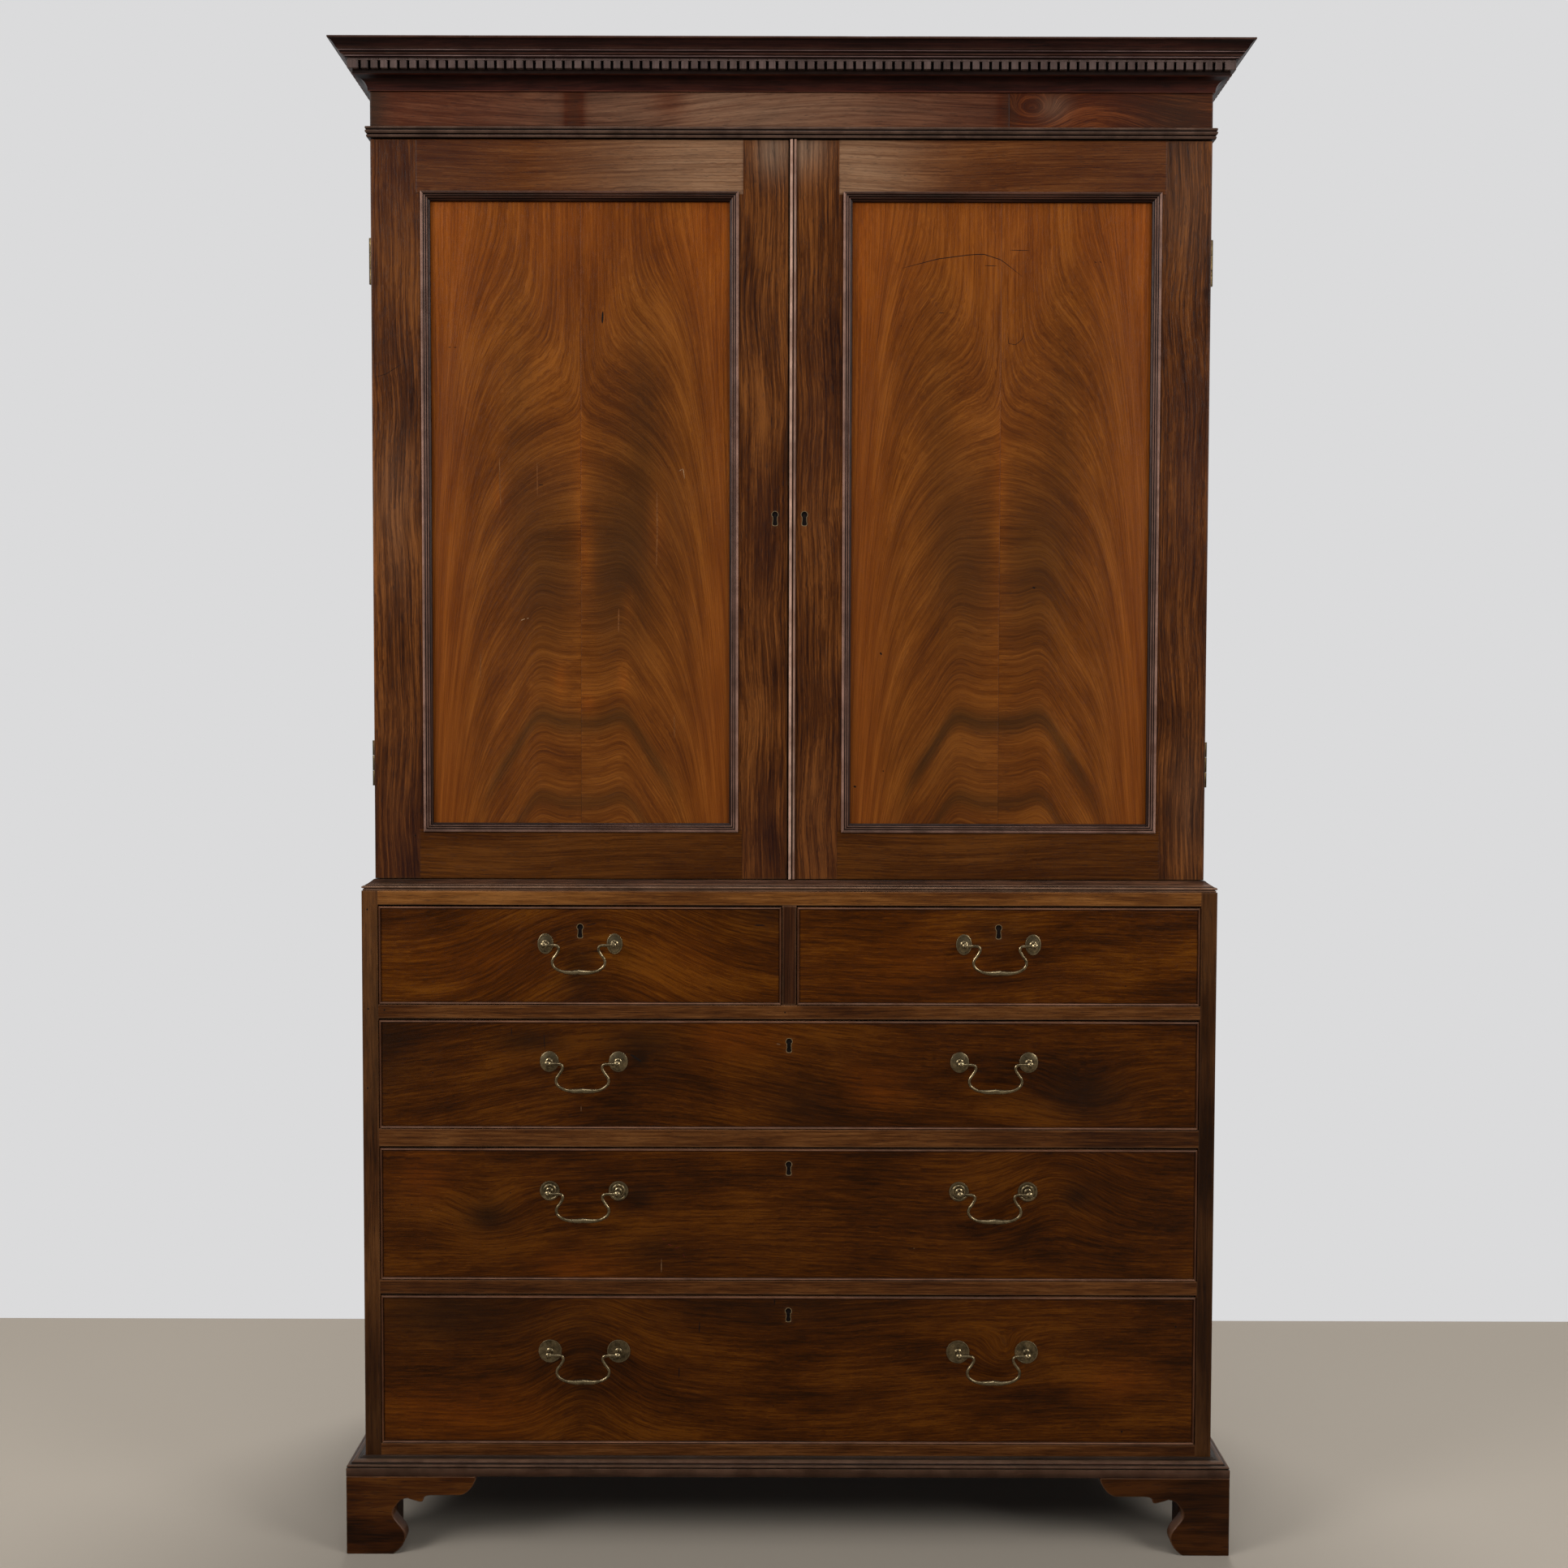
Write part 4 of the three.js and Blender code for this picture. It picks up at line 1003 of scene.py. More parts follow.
@dataclass(frozen=True)
class WoodFinish:
    """A wood and its polish.

    Streaks are counted to the metre across the grain, stretch is how much longer than wide they are,
    wander is how far in metres they stray, and ripple is the size of their short waves in metres.
    Colours are screen colours.
    """

    name: str
    slot: str
    dark: Tint
    middle: Tint
    light: Tint
    # Patches mix toward smoke below zero and toward glow above: darker and lighter wood, and on the
    # stiles, rails, frieze and side edging also painted shade and painted sheen.
    smoke: Tint = (38, 25, 14)
    glow: Tint = (128, 72, 26)
    # The pale tone of crests, for rubbed wear and painted highlight, and the dark tone of pores and
    # recesses, for grime, dark polish and painted shade.
    rubbed: Tint = (122, 88, 62)
    grime_and_shade: Tint = (10, 6, 5)
    grain: Grain = Grain.ALONG_X
    streaks: float = 150.0
    stretch: float = 26.0
    wander: float = 0.03
    ripple: float = 0.0
    cloud_share: float = 0.35
    roughness: float = 0.36
    shine: float = 0.1
    # How strongly crests take the pale tone, for rubbed wear and painted highlight.
    wear: float = 0.55
    pore_depth: float = 0.5
    dust: float = 0.2
    bump: float = 0.25

    def toned(self, name: str, dark: Tint, middle: Tint, light: Tint, **changes) -> "WoodFinish":
        """The same finish in other tones, with any other changes."""
        return replace(self, name=name, dark=dark, middle=middle, light=light, **changes)

    def running(self, grain: Grain) -> "WoodFinish":
        """The same finish with its grain turned another way."""
        return replace(self, name=f"{self.name}_{grain.value}", grain=grain)

    @cache
    def material(self) -> bpy.types.Material:
        """Lay out the finish's nodes, once for each finish.

        Returns:
            The material.
        """
        material, sheet, shader = fresh_material(self.name)
        along_grain = self.grain_vector(sheet)
        where = sheet.place()
        grain = sheet.group(wood_grain(), {"Vector": along_grain, "Streaks": self.streaks,
                                                  "Stretch": self.stretch, "Wander": self.wander,
                                                  "Ripple": self.ripple})
        streak, fine, pores, cloud = grain.outputs[:4]
        line_share = 1 - self.cloud_share
        tone = sheet.plus(sheet.times(streak, 0.6 * line_share),
                          sheet.times(fine, 0.4 * line_share))
        tone = sheet.plus(tone, sheet.times(cloud, self.cloud_share))
        ramp = sheet.node("ShaderNodeValToRGB", {0: tone})
        stops = ramp.color_ramp.elements
        stops.new(TONE_STOPS[1])
        for stop, position, tint in zip(stops, TONE_STOPS, (self.dark, self.middle, self.light)):
            stop.position = position
            stop.color = linear(tint)
        # Patches below zero mix toward smoke and above zero toward glow: stains and lighter wood, and on
        # some boards painted shade and painted sheen.
        stain = sheet.value("stain")
        color = sheet.mix(sheet.times(stain, -0.8, clamp=True), ramp.outputs[0],
                          linear(self.smoke))
        uneven = sheet.times(sheet.plus(streak, 0.25), 0.75)
        color = sheet.mix(sheet.times(stain, uneven, clamp=True), color, linear(self.glow))
        pore_mask = sheet.times(pores, self.pore_depth, clamp=True)
        color = sheet.mix(pore_mask, color, linear(self.grime_and_shade))
        rubbed_and_lit = sheet.group(edge_wear(), {
            "Color": color, "Crest": sheet.value("crest"), "Vector": where,
            "Rubbed": linear(self.rubbed), "Grime": linear(self.grime_and_shade), "Amount": self.wear})
        dusty = sheet.group(settled_dust(), {"Color": rubbed_and_lit.outputs["Color"], "Vector": where,
                                                    "Amount": self.dust})
        sheet.join(dusty.outputs["Color"], shader, "Base Color")
        smudge = sheet.noise(where, 9.0, 4.0, 0.6)
        rough = sheet.plus(sheet.spread(smudge, 0.3, 0.7, self.roughness - 0.03,
                                               self.roughness + 0.05),
                           sheet.times(sheet.plus(pores, rubbed_and_lit.outputs["Mask"]), 0.12))
        rough = sheet.plus(rough, sheet.times(dusty.outputs["Mask"], 0.35), clamp=True)
        sheet.join(rough, shader, "Roughness")
        shader.inputs["Specular IOR Level"].default_value = self.shine
        height = sheet.math("SUBTRACT", sheet.times(fine, 0.35), pores)
        height = sheet.plus(height, sheet.times(smudge, 0.6))
        bump = sheet.node("ShaderNodeBump", {"Height": height, "Strength": self.bump, "Distance": 0.0004})
        sheet.join(bump.outputs[0], shader, "Normal")
        return material

    def grain_vector(self, sheet: NodeSheet) -> bpy.types.NodeSocket:
        """Metres along, across and into the grain, moved by the board's own shift.

        Args:
            sheet: The sheet of the material.

        Returns:
            The vector.
        """
        if self.grain is Grain.FIGURE:
            source = sheet.node("ShaderNodeUVMap", uv_map="Figure").outputs[0]
        else:
            place = sheet.place()
            x, y, z = sheet.node("ShaderNodeSeparateXYZ", {0: place}).outputs[:3]
            along, across, into = {Grain.ALONG_X: (x, z, y), Grain.ALONG_Y: (y, z, x),
                                   Grain.ALONG_Z: (z, x, y)}[self.grain]
            source = sheet.vector(along, across, into)
        shift = sheet.value("shift")
        by = sheet.vector(*(sheet.times(shift, share) for share in (0.83, 0.37, 0.59)))
        return sheet.vector_math("ADD", source, by)


@dataclass(frozen=True)
class MetalFinish:
    """A metal with its tarnish. Colours are screen colours."""

    name: str
    slot: str
    bright: Tint
    dull: Tint
    roughness: float = 0.34
    tarnished: float = 0.75
    bump: float = 0.12

    @cache
    def material(self) -> bpy.types.Material:
        """Lay out the finish's nodes, once for each finish.

        Returns:
            The material.
        """
        material, sheet, shader = fresh_material(self.name)
        place = sheet.place()
        film = sheet.group(tarnish(), {"Vector": place, "Amount": self.tarnished})
        color = sheet.mix(film.outputs["Mask"], linear(self.bright), linear(self.dull))
        rubbed_and_lit = sheet.group(edge_wear(), {
            "Color": color, "Crest": sheet.value("crest"), "Vector": place, "Rubbed": linear(self.bright),
            "Grime": linear((18, 13, 7)), "Amount": 0.8})
        sheet.join(rubbed_and_lit.outputs["Color"], shader, "Base Color")
        rough = sheet.spread(film.outputs["Mask"], 0.0, 1.0, self.roughness, self.roughness + 0.22)
        sheet.join(rough, shader, "Roughness")
        bump = sheet.node("ShaderNodeBump", {"Height": film.outputs["Height"], "Strength": self.bump,
                                             "Distance": 0.0002})
        sheet.join(bump.outputs[0], shader, "Normal")
        shader.inputs["Metallic"].default_value = 1.0
        return material


# Finishes of this press. Each holds the darkest, the middle and the lightest tone of its streaks

# The pale glow of the stiles and rails is the tone of their painted sheen.
STILE = WoodFinish("stile_mahogany", "mahogany", (30, 11, 4), (66, 33, 9), (108, 62, 24),
                   grain=Grain.FIGURE, streaks=250.0, stretch=44.0, wander=0.012, ripple=0.0016,
                   smoke=(36, 18, 18), glow=(136, 112, 92), cloud_share=0.3)
TOP_RAIL = STILE.toned("top_rail_mahogany", (54, 24, 8), (76, 40, 15), (98, 58, 27),
                       glow=(136, 108, 84), streaks=330.0, stretch=60.0)
BOTTOM_RAIL = TOP_RAIL.toned("bottom_rail_mahogany", (44, 18, 2), (64, 32, 5), (85, 47, 12))
PANEL = WoodFinish("flame_veneer", "flame_mahogany", (70, 33, 7), (93, 48, 11), (117, 66, 20),
                   smoke=(42, 26, 10), glow=(142, 66, 10), grain=Grain.FIGURE, streaks=270.0,
                   stretch=48.0, wander=0.007, ripple=0.0022, cloud_share=0.33, wear=0.3,
                   pore_depth=0.12)
# Its pale crest tone paints highlights on the reeds, as well as rubbed wear.
MOULDING = WoodFinish("panel_moulding", "dark_mahogany", (18, 7, 3), (36, 17, 9), (58, 32, 20),
                      rubbed=(158, 122, 106), grain=Grain.FIGURE, wear=0.85, cloud_share=0.5,
                      shine=0.08)
# Its pale crest tone paints highlights on the reeds' crowns, as well as rubbed wear.
BEAD = WoodFinish("meeting_bead", "mahogany", (40, 18, 8), (70, 38, 22), (100, 64, 44),
                  rubbed=(190, 154, 134), grain=Grain.FIGURE, wear=0.8, cloud_share=0.5)
CROWN = WoodFinish("crown_mahogany", "dark_mahogany", (15, 4, 3), (31, 12, 9), (47, 22, 16),
                   rubbed=(100, 70, 58), grain=Grain.FIGURE, streaks=110.0, wear=0.45, dust=0.15)
# Pale tones for the painted highlights on the crown's fillets.
CROWN_FILLET_HIGHLIGHT = CROWN.toned("crown_fillet_mahogany", (52, 36, 34), (84, 64, 61), (112, 90, 85),
                           rubbed=(132, 110, 104), wear=0.4)
DENTIL = CROWN.toned("dentil_mahogany", (22, 12, 10), (48, 34, 30), (74, 59, 55),
                     rubbed=(122, 104, 98), grain=Grain.ALONG_Z, wear=0.9)
COVE = CROWN.toned("cove_mahogany", (24, 8, 5), (42, 17, 12), (60, 28, 20), rubbed=(104, 58, 42))
# Near black tones for the painted shade behind the dentils.
PAINTED_SHADE_GROUND = CROWN.toned("dark_ground_mahogany", (5, 2, 1), (11, 5, 4), (20, 10, 8), wear=0.2,
                          dust=0.0)
NECK = COVE.toned("neck_mahogany", (9, 3, 2), (17, 7, 4), (30, 14, 9), rubbed=(120, 92, 76), wear=0.5,
                  dust=0.0)
# Its pale glow is the tone of the painted sheen on the frieze.
FRIEZE = WoodFinish("frieze_veneer", "mahogany", (46, 18, 8), (66, 31, 16), (88, 50, 31),
                    smoke=(34, 27, 18), glow=(138, 110, 87), grain=Grain.FIGURE, streaks=270.0,
                    stretch=40.0, wander=0.02, ripple=0.001)
FRIEZE_PATCH = replace(FRIEZE, name="frieze_patch_veneer", middle=(58, 24, 9), light=(98, 50, 22))
WAIST = CROWN.toned("waist_mahogany", (22, 9, 4), (48, 26, 14), (80, 50, 32), rubbed=(140, 108, 86),
                    wear=0.5)
BASE = CROWN.toned("base_mahogany", (10, 3, 1), (25, 10, 4), (42, 21, 10), rubbed=(98, 72, 56),
                   wear=0.5, dust=0.12)
LEFT_FOOT = WoodFinish("left_foot_mahogany", "dark_mahogany", (21, 7, 1), (51, 23, 4), (78, 43, 11),
                       rubbed=(92, 62, 42), streaks=120.0, wear=0.7, cloud_share=0.5)
RIGHT_FOOT = LEFT_FOOT.toned("right_foot_mahogany", (14, 4, 0), (36, 15, 2), (58, 29, 6))
CASE_RAIL = WoodFinish("case_rail_mahogany", "mahogany", (40, 18, 5), (70, 38, 13), (98, 61, 29),
                       streaks=300.0, stretch=34.0, wander=0.008, wear=0.5)
CASE_SIDE = WoodFinish("case_side_mahogany", "mahogany", (31, 11, 2), (56, 28, 7), (80, 45, 17),
                       grain=Grain.ALONG_Z, streaks=190.0, stretch=60.0, wander=0.02, cloud_share=0.25)
TOP_EDGE = CASE_RAIL.toned("top_edge_mahogany", (58, 28, 7), (92, 54, 20), (120, 77, 36))
# Its dark smoke is the tone of the painted shade towards the floor.
EDGING = CASE_RAIL.toned("edging_mahogany", (34, 15, 4), (60, 32, 11), (86, 52, 24), smoke=(14, 6, 2),
                         glow=(120, 84, 50), grain=Grain.FIGURE, streaks=240.0, cloud_share=0.5)
DIVIDER = CASE_SIDE.toned("divider_mahogany", (20, 7, 2), (42, 20, 8), (62, 34, 16))
FRONT = WoodFinish("drawer_front_mahogany", "mahogany", (31, 11, 0), (56, 24, 0), (81, 42, 3),
                   smoke=(22, 10, 3), glow=(104, 49, 3), grain=Grain.FIGURE, streaks=280.0,
                   stretch=24.0, wander=0.02, ripple=0.002, pore_depth=0.25)
TOP_FRONT = FRONT.toned("top_drawer_mahogany", (37, 14, 0), (63, 28, 0), (91, 49, 4))
# Its pale crest tone paints a thin highlight along the beads' crowns.
COCK_BEAD = WoodFinish("cock_bead_mahogany", "mahogany", (26, 10, 2), (50, 24, 8), (76, 44, 22),
                       rubbed=(158, 118, 96), grain=Grain.FIGURE, wear=0.75, cloud_share=0.5)
DEAL = WoodFinish("deal", "deal", (124, 92, 57), (148, 113, 74), (170, 136, 95), grain=Grain.ALONG_Z,
                  streaks=210.0, stretch=90.0, wander=0.02, cloud_share=0.3, roughness=0.7,
                  shine=0.12, wear=0.2, pore_depth=0.1)
OAK = WoodFinish("oak", "oak", (92, 64, 37), (126, 92, 56), (156, 122, 82), streaks=200.0,
                 stretch=30.0, roughness=0.64, shine=0.25, wear=0.25)
BRASS = MetalFinish("antique_brass", "brass", (128, 106, 66), (56, 42, 22))
HANDLE_BRASS = replace(BRASS, name="handle_brass", bright=(140, 124, 94), dull=(50, 41, 28),
                       roughness=0.27, tarnished=0.85)
KEY_BRASS = replace(BRASS, name="keyhole_brass", bright=(196, 170, 130), dull=(120, 96, 64),
                    tarnished=0.6)
HINGE_BRASS = replace(BRASS, name="hinge_brass", bright=(78, 64, 40), dull=(36, 27, 14))
IRON = MetalFinish("lock_iron", "brass", (96, 90, 84), (34, 26, 20), roughness=0.5)
# DARK_MARK serves the cracks, nail holes and marks, and also the painted shade of the keyways and the
# dentils' pits.
DARK_MARK = WoodFinish("dark_mark", "dark_mahogany", (8, 4, 3), (13, 7, 5), (20, 11, 7), roughness=0.7)
RED_MARK = DARK_MARK.toned("red_mark", (50, 14, 8), (66, 20, 10), (84, 30, 14))
PALE_MARK = DARK_MARK.toned("pale_mark", (120, 88, 58), (146, 114, 82), (170, 142, 112))
DIM_MARK = DARK_MARK.toned("dim_mark", (80, 54, 32), (100, 72, 46), (124, 94, 66))
SMEAR = DARK_MARK.toned("polish_smear", (84, 46, 16), (97, 57, 25), (110, 70, 36))


# Putting pieces in the scene. A veneer on a board stands proud of it by this much

SKIN_PROUD = 0.00003


def spans(node: str) -> tuple[Span, Span, Span]:
    """The x, y and z spans of a node of the frame."""
    low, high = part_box(node)
    return tuple((float(a), float(b)) for a, b in zip(low, high))


def put(name: str, shape: Shape, finish: WoodFinish | MetalFinish, body: str, *nodes: str) -> None:
    """Make a piece from a shape, finish it, and let it ride on its body.

    Args:
        name: The piece's name.
        shape: Its surface.
        finish: Its finish.
        body: The body that it rides on.
        *nodes: The nodes of the frame that it stands for.
    """
    mesh = bpy.data.meshes.new(name)
    corners = np.concatenate([block.reshape(-1) for block in shape.faces])
    sizes = np.concatenate([np.full(len(block), block.shape[1]) for block in shape.faces])
    mesh.vertices.add(len(shape.points))
    mesh.vertices.foreach_set("co", shape.points.astype(np.float32).reshape(-1))
    mesh.loops.add(len(corners))
    mesh.loops.foreach_set("vertex_index", corners.astype(np.int32))
    mesh.polygons.add(len(sizes))
    mesh.polygons.foreach_set("loop_start", np.concatenate([[0], np.cumsum(sizes)[:-1]]).astype(np.int32))
    mesh.update(calc_edges=True)
    mesh.shade_smooth()
    mesh.set_sharp_from_angle(angle=math.radians(34))
    for label in ("crest", "stain", "shift"):
        values = getattr(shape, label).astype(np.float32)
        mesh.attributes.new(label, "FLOAT", "POINT").data.foreach_set("value", values)
    layer = mesh.uv_layers.new(name="Figure")
    layer.data.foreach_set("uv", shape.figure[corners].astype(np.float32).reshape(-1))
    mesh.materials.append(finish.material())
    settle(stood(name, mesh), finish.slot, body, *nodes)


def stood(name: str, data: bpy.types.ID) -> bpy.types.Object:
    """Stand a mesh, a lamp or a camera in the scene.

    Args:
        name: The object's name.
        data: What it shows.

    Returns:
        The object.
    """
    made = bpy.data.objects.new(name, data)
    bpy.context.scene.collection.objects.link(made)
    return made


def settle(piece: bpy.types.Object, slot: str, body: str, *nodes: str) -> None:
    """Let a piece ride on its body, hide the nodes of the frame that it stands for, and report it.

    Args:
        piece: The piece, in its place.
        slot: Its material slot; not used.
        body: The body that it rides on.
        *nodes: The nodes of the frame that it stands for.
    """
    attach(piece, body)
    if nodes:
        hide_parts(*nodes)
    LOG.info("%s rides on %s, %d points", piece.name, body, len(piece.data.vertices))


def fixed(name: str, shape: Shape, finish: WoodFinish | MetalFinish, node: str) -> None:
    """Make a piece of the case that stands for one node."""
    put(name, shape, finish, "carcass", node)


def softened(node: str, finish: WoodFinish | MetalFinish, width: float = 0.0012) -> None:
    """Stand a merged copy of a node of the case in its place, with its arrises bevelled.

    Args:
        node: The node of the frame.
        finish: The copy's finish.
        width: The width of the bevel.
    """
    mesh = bpy.data.meshes.new(f"{node}_eased")
    form = bmesh.new()
    form.from_mesh(bpy.data.objects[node].data)
    bmesh.ops.remove_doubles(form, verts=form.verts, dist=1e-5)
    bmesh.ops.dissolve_limit(form, angle_limit=math.radians(1), verts=form.verts, edges=form.edges)
    form.to_mesh(mesh)
    form.free()
    mesh.materials.append(finish.material())
    piece = stood(mesh.name, mesh)
    bevel = piece.modifiers.new("eased_arrises", "BEVEL")
    bevel.width = width
    bevel.segments = 2
    bevel.limit_method = "ANGLE"
    settle(piece, finish.slot, "carcass", node)


def blocks(low: np.ndarray, high: np.ndarray, ease: float = 0.0006, crest: float = 0.35) -> Shape:
    """Many small blocks with chamfered edges, of twenty-six faces each.

    Each corner is three points, each of them drawn in from two of the corner's three faces.

    Args:
        low: The lowest corner of each block, one row each.
        high: The highest corner of each block.
        ease: The chamfer.
        crest: How much their edges are rubbed.

    Returns:
        The shape.
    """
    sign = np.repeat([[i & 1, i >> 1 & 1, i >> 2 & 1] for i in range(8)], 3, axis=0) * 2 - 1
    pull = 1 - np.tile(np.eye(3, dtype=int), (8, 1))
    centre = ((low + high) / 2)[:, None]
    points = centre + sign * ((high - low)[:, None] / 2 - ease * pull)
    quads = []
    for axis in range(3):
        first, second = 1 << (axis + 1) % 3, 1 << (axis + 2) % 3
        for part in (0, 1 << axis):
            ring = [part, part + first, part + first + second, part + second]
            quads.append([3 * corner + axis for corner in (ring if part else ring[::-1])])
        b, c = (axis + 1) % 3, (axis + 2) % 3
        for near in (0, first, second, first + second):
            far = near + (1 << axis)
            quad = [3 * near + b, 3 * far + b, 3 * far + c, 3 * near + c]
            quads.append(quad if near in (first, second) else quad[::-1])
    corners = [[3 * i + a for a in ((0, 1, 2) if bin(i).count("1") % 2 else (2, 1, 0))] for i in range(8)]
    start = 24 * np.arange(len(points))[:, None, None]
    faces = [(np.array(block)[None] + start).reshape(-1, len(block[0])) for block in (quads, corners)]
    every = points.reshape(-1, 3)
    shifts = np.repeat(np.arange(len(points)) * 0.37, 24)
    shape = closed_shape(every, faces, crest, figure=every[:, [0, 2]])
    return replace(shape, shift=shifts)


def standing_proud(place: np.ndarray, level: np.ndarray, face: np.ndarray, apart: float = 0.0012,
                   rise: float = 0.00055) -> np.ndarray:
    """How far points stand above a face's level on both sides of them, as a crest value.

    Args:
        place: Where each point is along the face.
        level: How high each point is.
        face: The face as places and levels.
        apart: How far away the level is read.
        rise: How far above it counts as one.

    Returns:
        One where a point stands proud by the rise, and minus one where it lies as deep.
    """
    around = sum(np.interp(place + s * apart, face[:, 0], face[:, 1]) for s in (-1, 1)) / 2
    return np.clip((level - around) / rise, -1, 1)


def wall_section(shares: list[list[float]], reach: Span, rise: Span, wall: float,
                 ease: float = 0.0005) -> tuple[np.ndarray, np.ndarray]:
    """Section of a moulding: its face, closed by the wall behind it.

    Args:
        shares: The face, from its foot to its top, as shares of a reach and a height.
        reach: Where the reach starts, and its size.
        rise: Where the height starts, and its size.
        wall: The reach of the wall.
        ease: The radius of its edges.

    Returns:
        The section's points and their crest.
    """
    face = curve(shares) * [reach[1], rise[1]] + [reach[0], rise[0]]
    section, crest = eased(np.concatenate([face, [[wall, face[-1, 1]], [wall, face[0, 1]]]]), ease)
    # Proud fillets are painted pale and quirks dark: rubbed wear and painted highlight, dark polish and
    # painted shade.
    proud = standing_proud(section[:, 1], section[:, 0], face[:, ::-1])
    crest = np.where(np.abs(proud) > np.abs(crest), proud, crest)
    return section, np.where(section[:, 0] < wall + 2 * ease, 0.0, crest)


def boarded(x: Span, y: Span, z: Span, count: int, grain: Grain, joint: float = 0.0004) -> Shape:
    """Boards side by side with eased joints, of slightly different widths.

    Args:
        x: The left and right of them all.
        y: Their front and back.
        z: Their bottom and top.
        count: How many boards.
        grain: The way they run: upright boards lie side by side in x, and so do those along y.
        joint: The gap between boards.

    Returns:
        The shape.
    """
    stops = np.linspace(*x, count + 1)
    stops[1:-1] += (x[1] - x[0]) / count * 0.16 * np.sin(2.4 * np.arange(1, count))
    return merge([board((a + joint / 2, b - joint / 2), y, z, grain, 0.0015, shift=k + 0.3)
                  for k, (a, b) in enumerate(zip(stops[:-1], stops[1:]))])


# Mouldings of the cases

CROWN_SHARES = [[0.1, 0], [0.1, 0.05], [0.17, 0.05], [0.17, 0.12], [0.34, 0.13, 0.36, 0.3], [0.44, 0.31],
                [0.44, 0.37], [0.52, 0.37, 0.62, 0.55], [0.8, 0.87, 1, 0.9], [1, 1]]
COVE_SHARES = [[0, 0], [0.1, 0], [0.1, 0.1], [0.12, 0.8, 0.86, 1]]
NECK_SHARES = [[0.5, 0], [0.82, 0.06, 0.72, 0.24], [0.5, 0.27], [0.5, 0.32], [1.12, 0.42, 0.98, 0.6],
               [0.8, 0.64], [0.8, 0.7], [1, 0.74, 1, 0.86], [0.9, 0.94], [0.3, 1]]
WAIST_SHARES = [[0.9, 0], [0.9, 0.13], [0.82, 0.15], [0.82, 0.19], [1, 0.2, 1, 0.31],
                [1, 0.42, 0.82, 0.43], [0.72, 0.45], [0.72, 0.5], [0.66, 0.55], [0.4, 0.7, 0.1, 1]]
BASE_SHARES = [[1, 0], [1, 0.53], [0.9, 0.54], [0.9, 0.58], [0.97, 0.58, 0.97, 0.65],
               [0.97, 0.72, 0.86, 0.72], [0.73, 0.73], [0.71, 0.76], [0.74, 0.92, 0.34, 0.92],
               [0.26, 0.93], [0.26, 0.955], [0.14, 0.96], [0.12, 1], [0, 1]]
PANEL_SHARES = [[0, 0], [0, 1, 0.16, 1], [0.34, 1, 0.34, 0.45], [0.36, 0.75, 0.46, 0.75],
                [0.56, 0.75, 0.56, 0.15], [0.58, 0.4, 0.67, 0.4], [0.76, 0.4, 0.76, -0.25], [0.8, -0.3],
                [0.9, -0.55, 1, -0.9]]
REED_SHARES = [[0, 0], [0, 1, 0.24, 1], [0.46, 1, 0.46, 0.1], [0.54, 0.1], [0.54, 0.9, 0.76, 0.9],
               [1, 0.9, 1, 0]]
FOOT_SHARES = [[0, 0], [0, 1], [1, 1], [1, 0.955], [0.955, 0.78, 0.88, 0.757], [0.66, 0.757],
               [0.6, 0.757, 0.596, 0.705], [0.592, 0.668, 0.565, 0.674], [0.52, 0.69, 0.475, 0.718],
               [0.42, 0.72, 0.387, 0.63],
               [0.335, 0.54, 0.372, 0.46], [0.4, 0.4, 0.43, 0.34], [0.47, 0.25, 0.448, 0.163],
               [0.42, 0.06, 0.358, 0]]
BAIL_SHARES = [[0.7, 0], [0.6, -0.035], [0.572, -0.16], [0.65, -0.35], [0.74, -0.51], [0.757, -0.66],
               [0.69, -0.82], [0.5, -0.955], [0.26, -1], [0, -0.99]]
REAR_FOOT_SHARES = [[0, 0], [0, 1], [0.75, 1], [0.75, 0.8], [0.36, 0]]


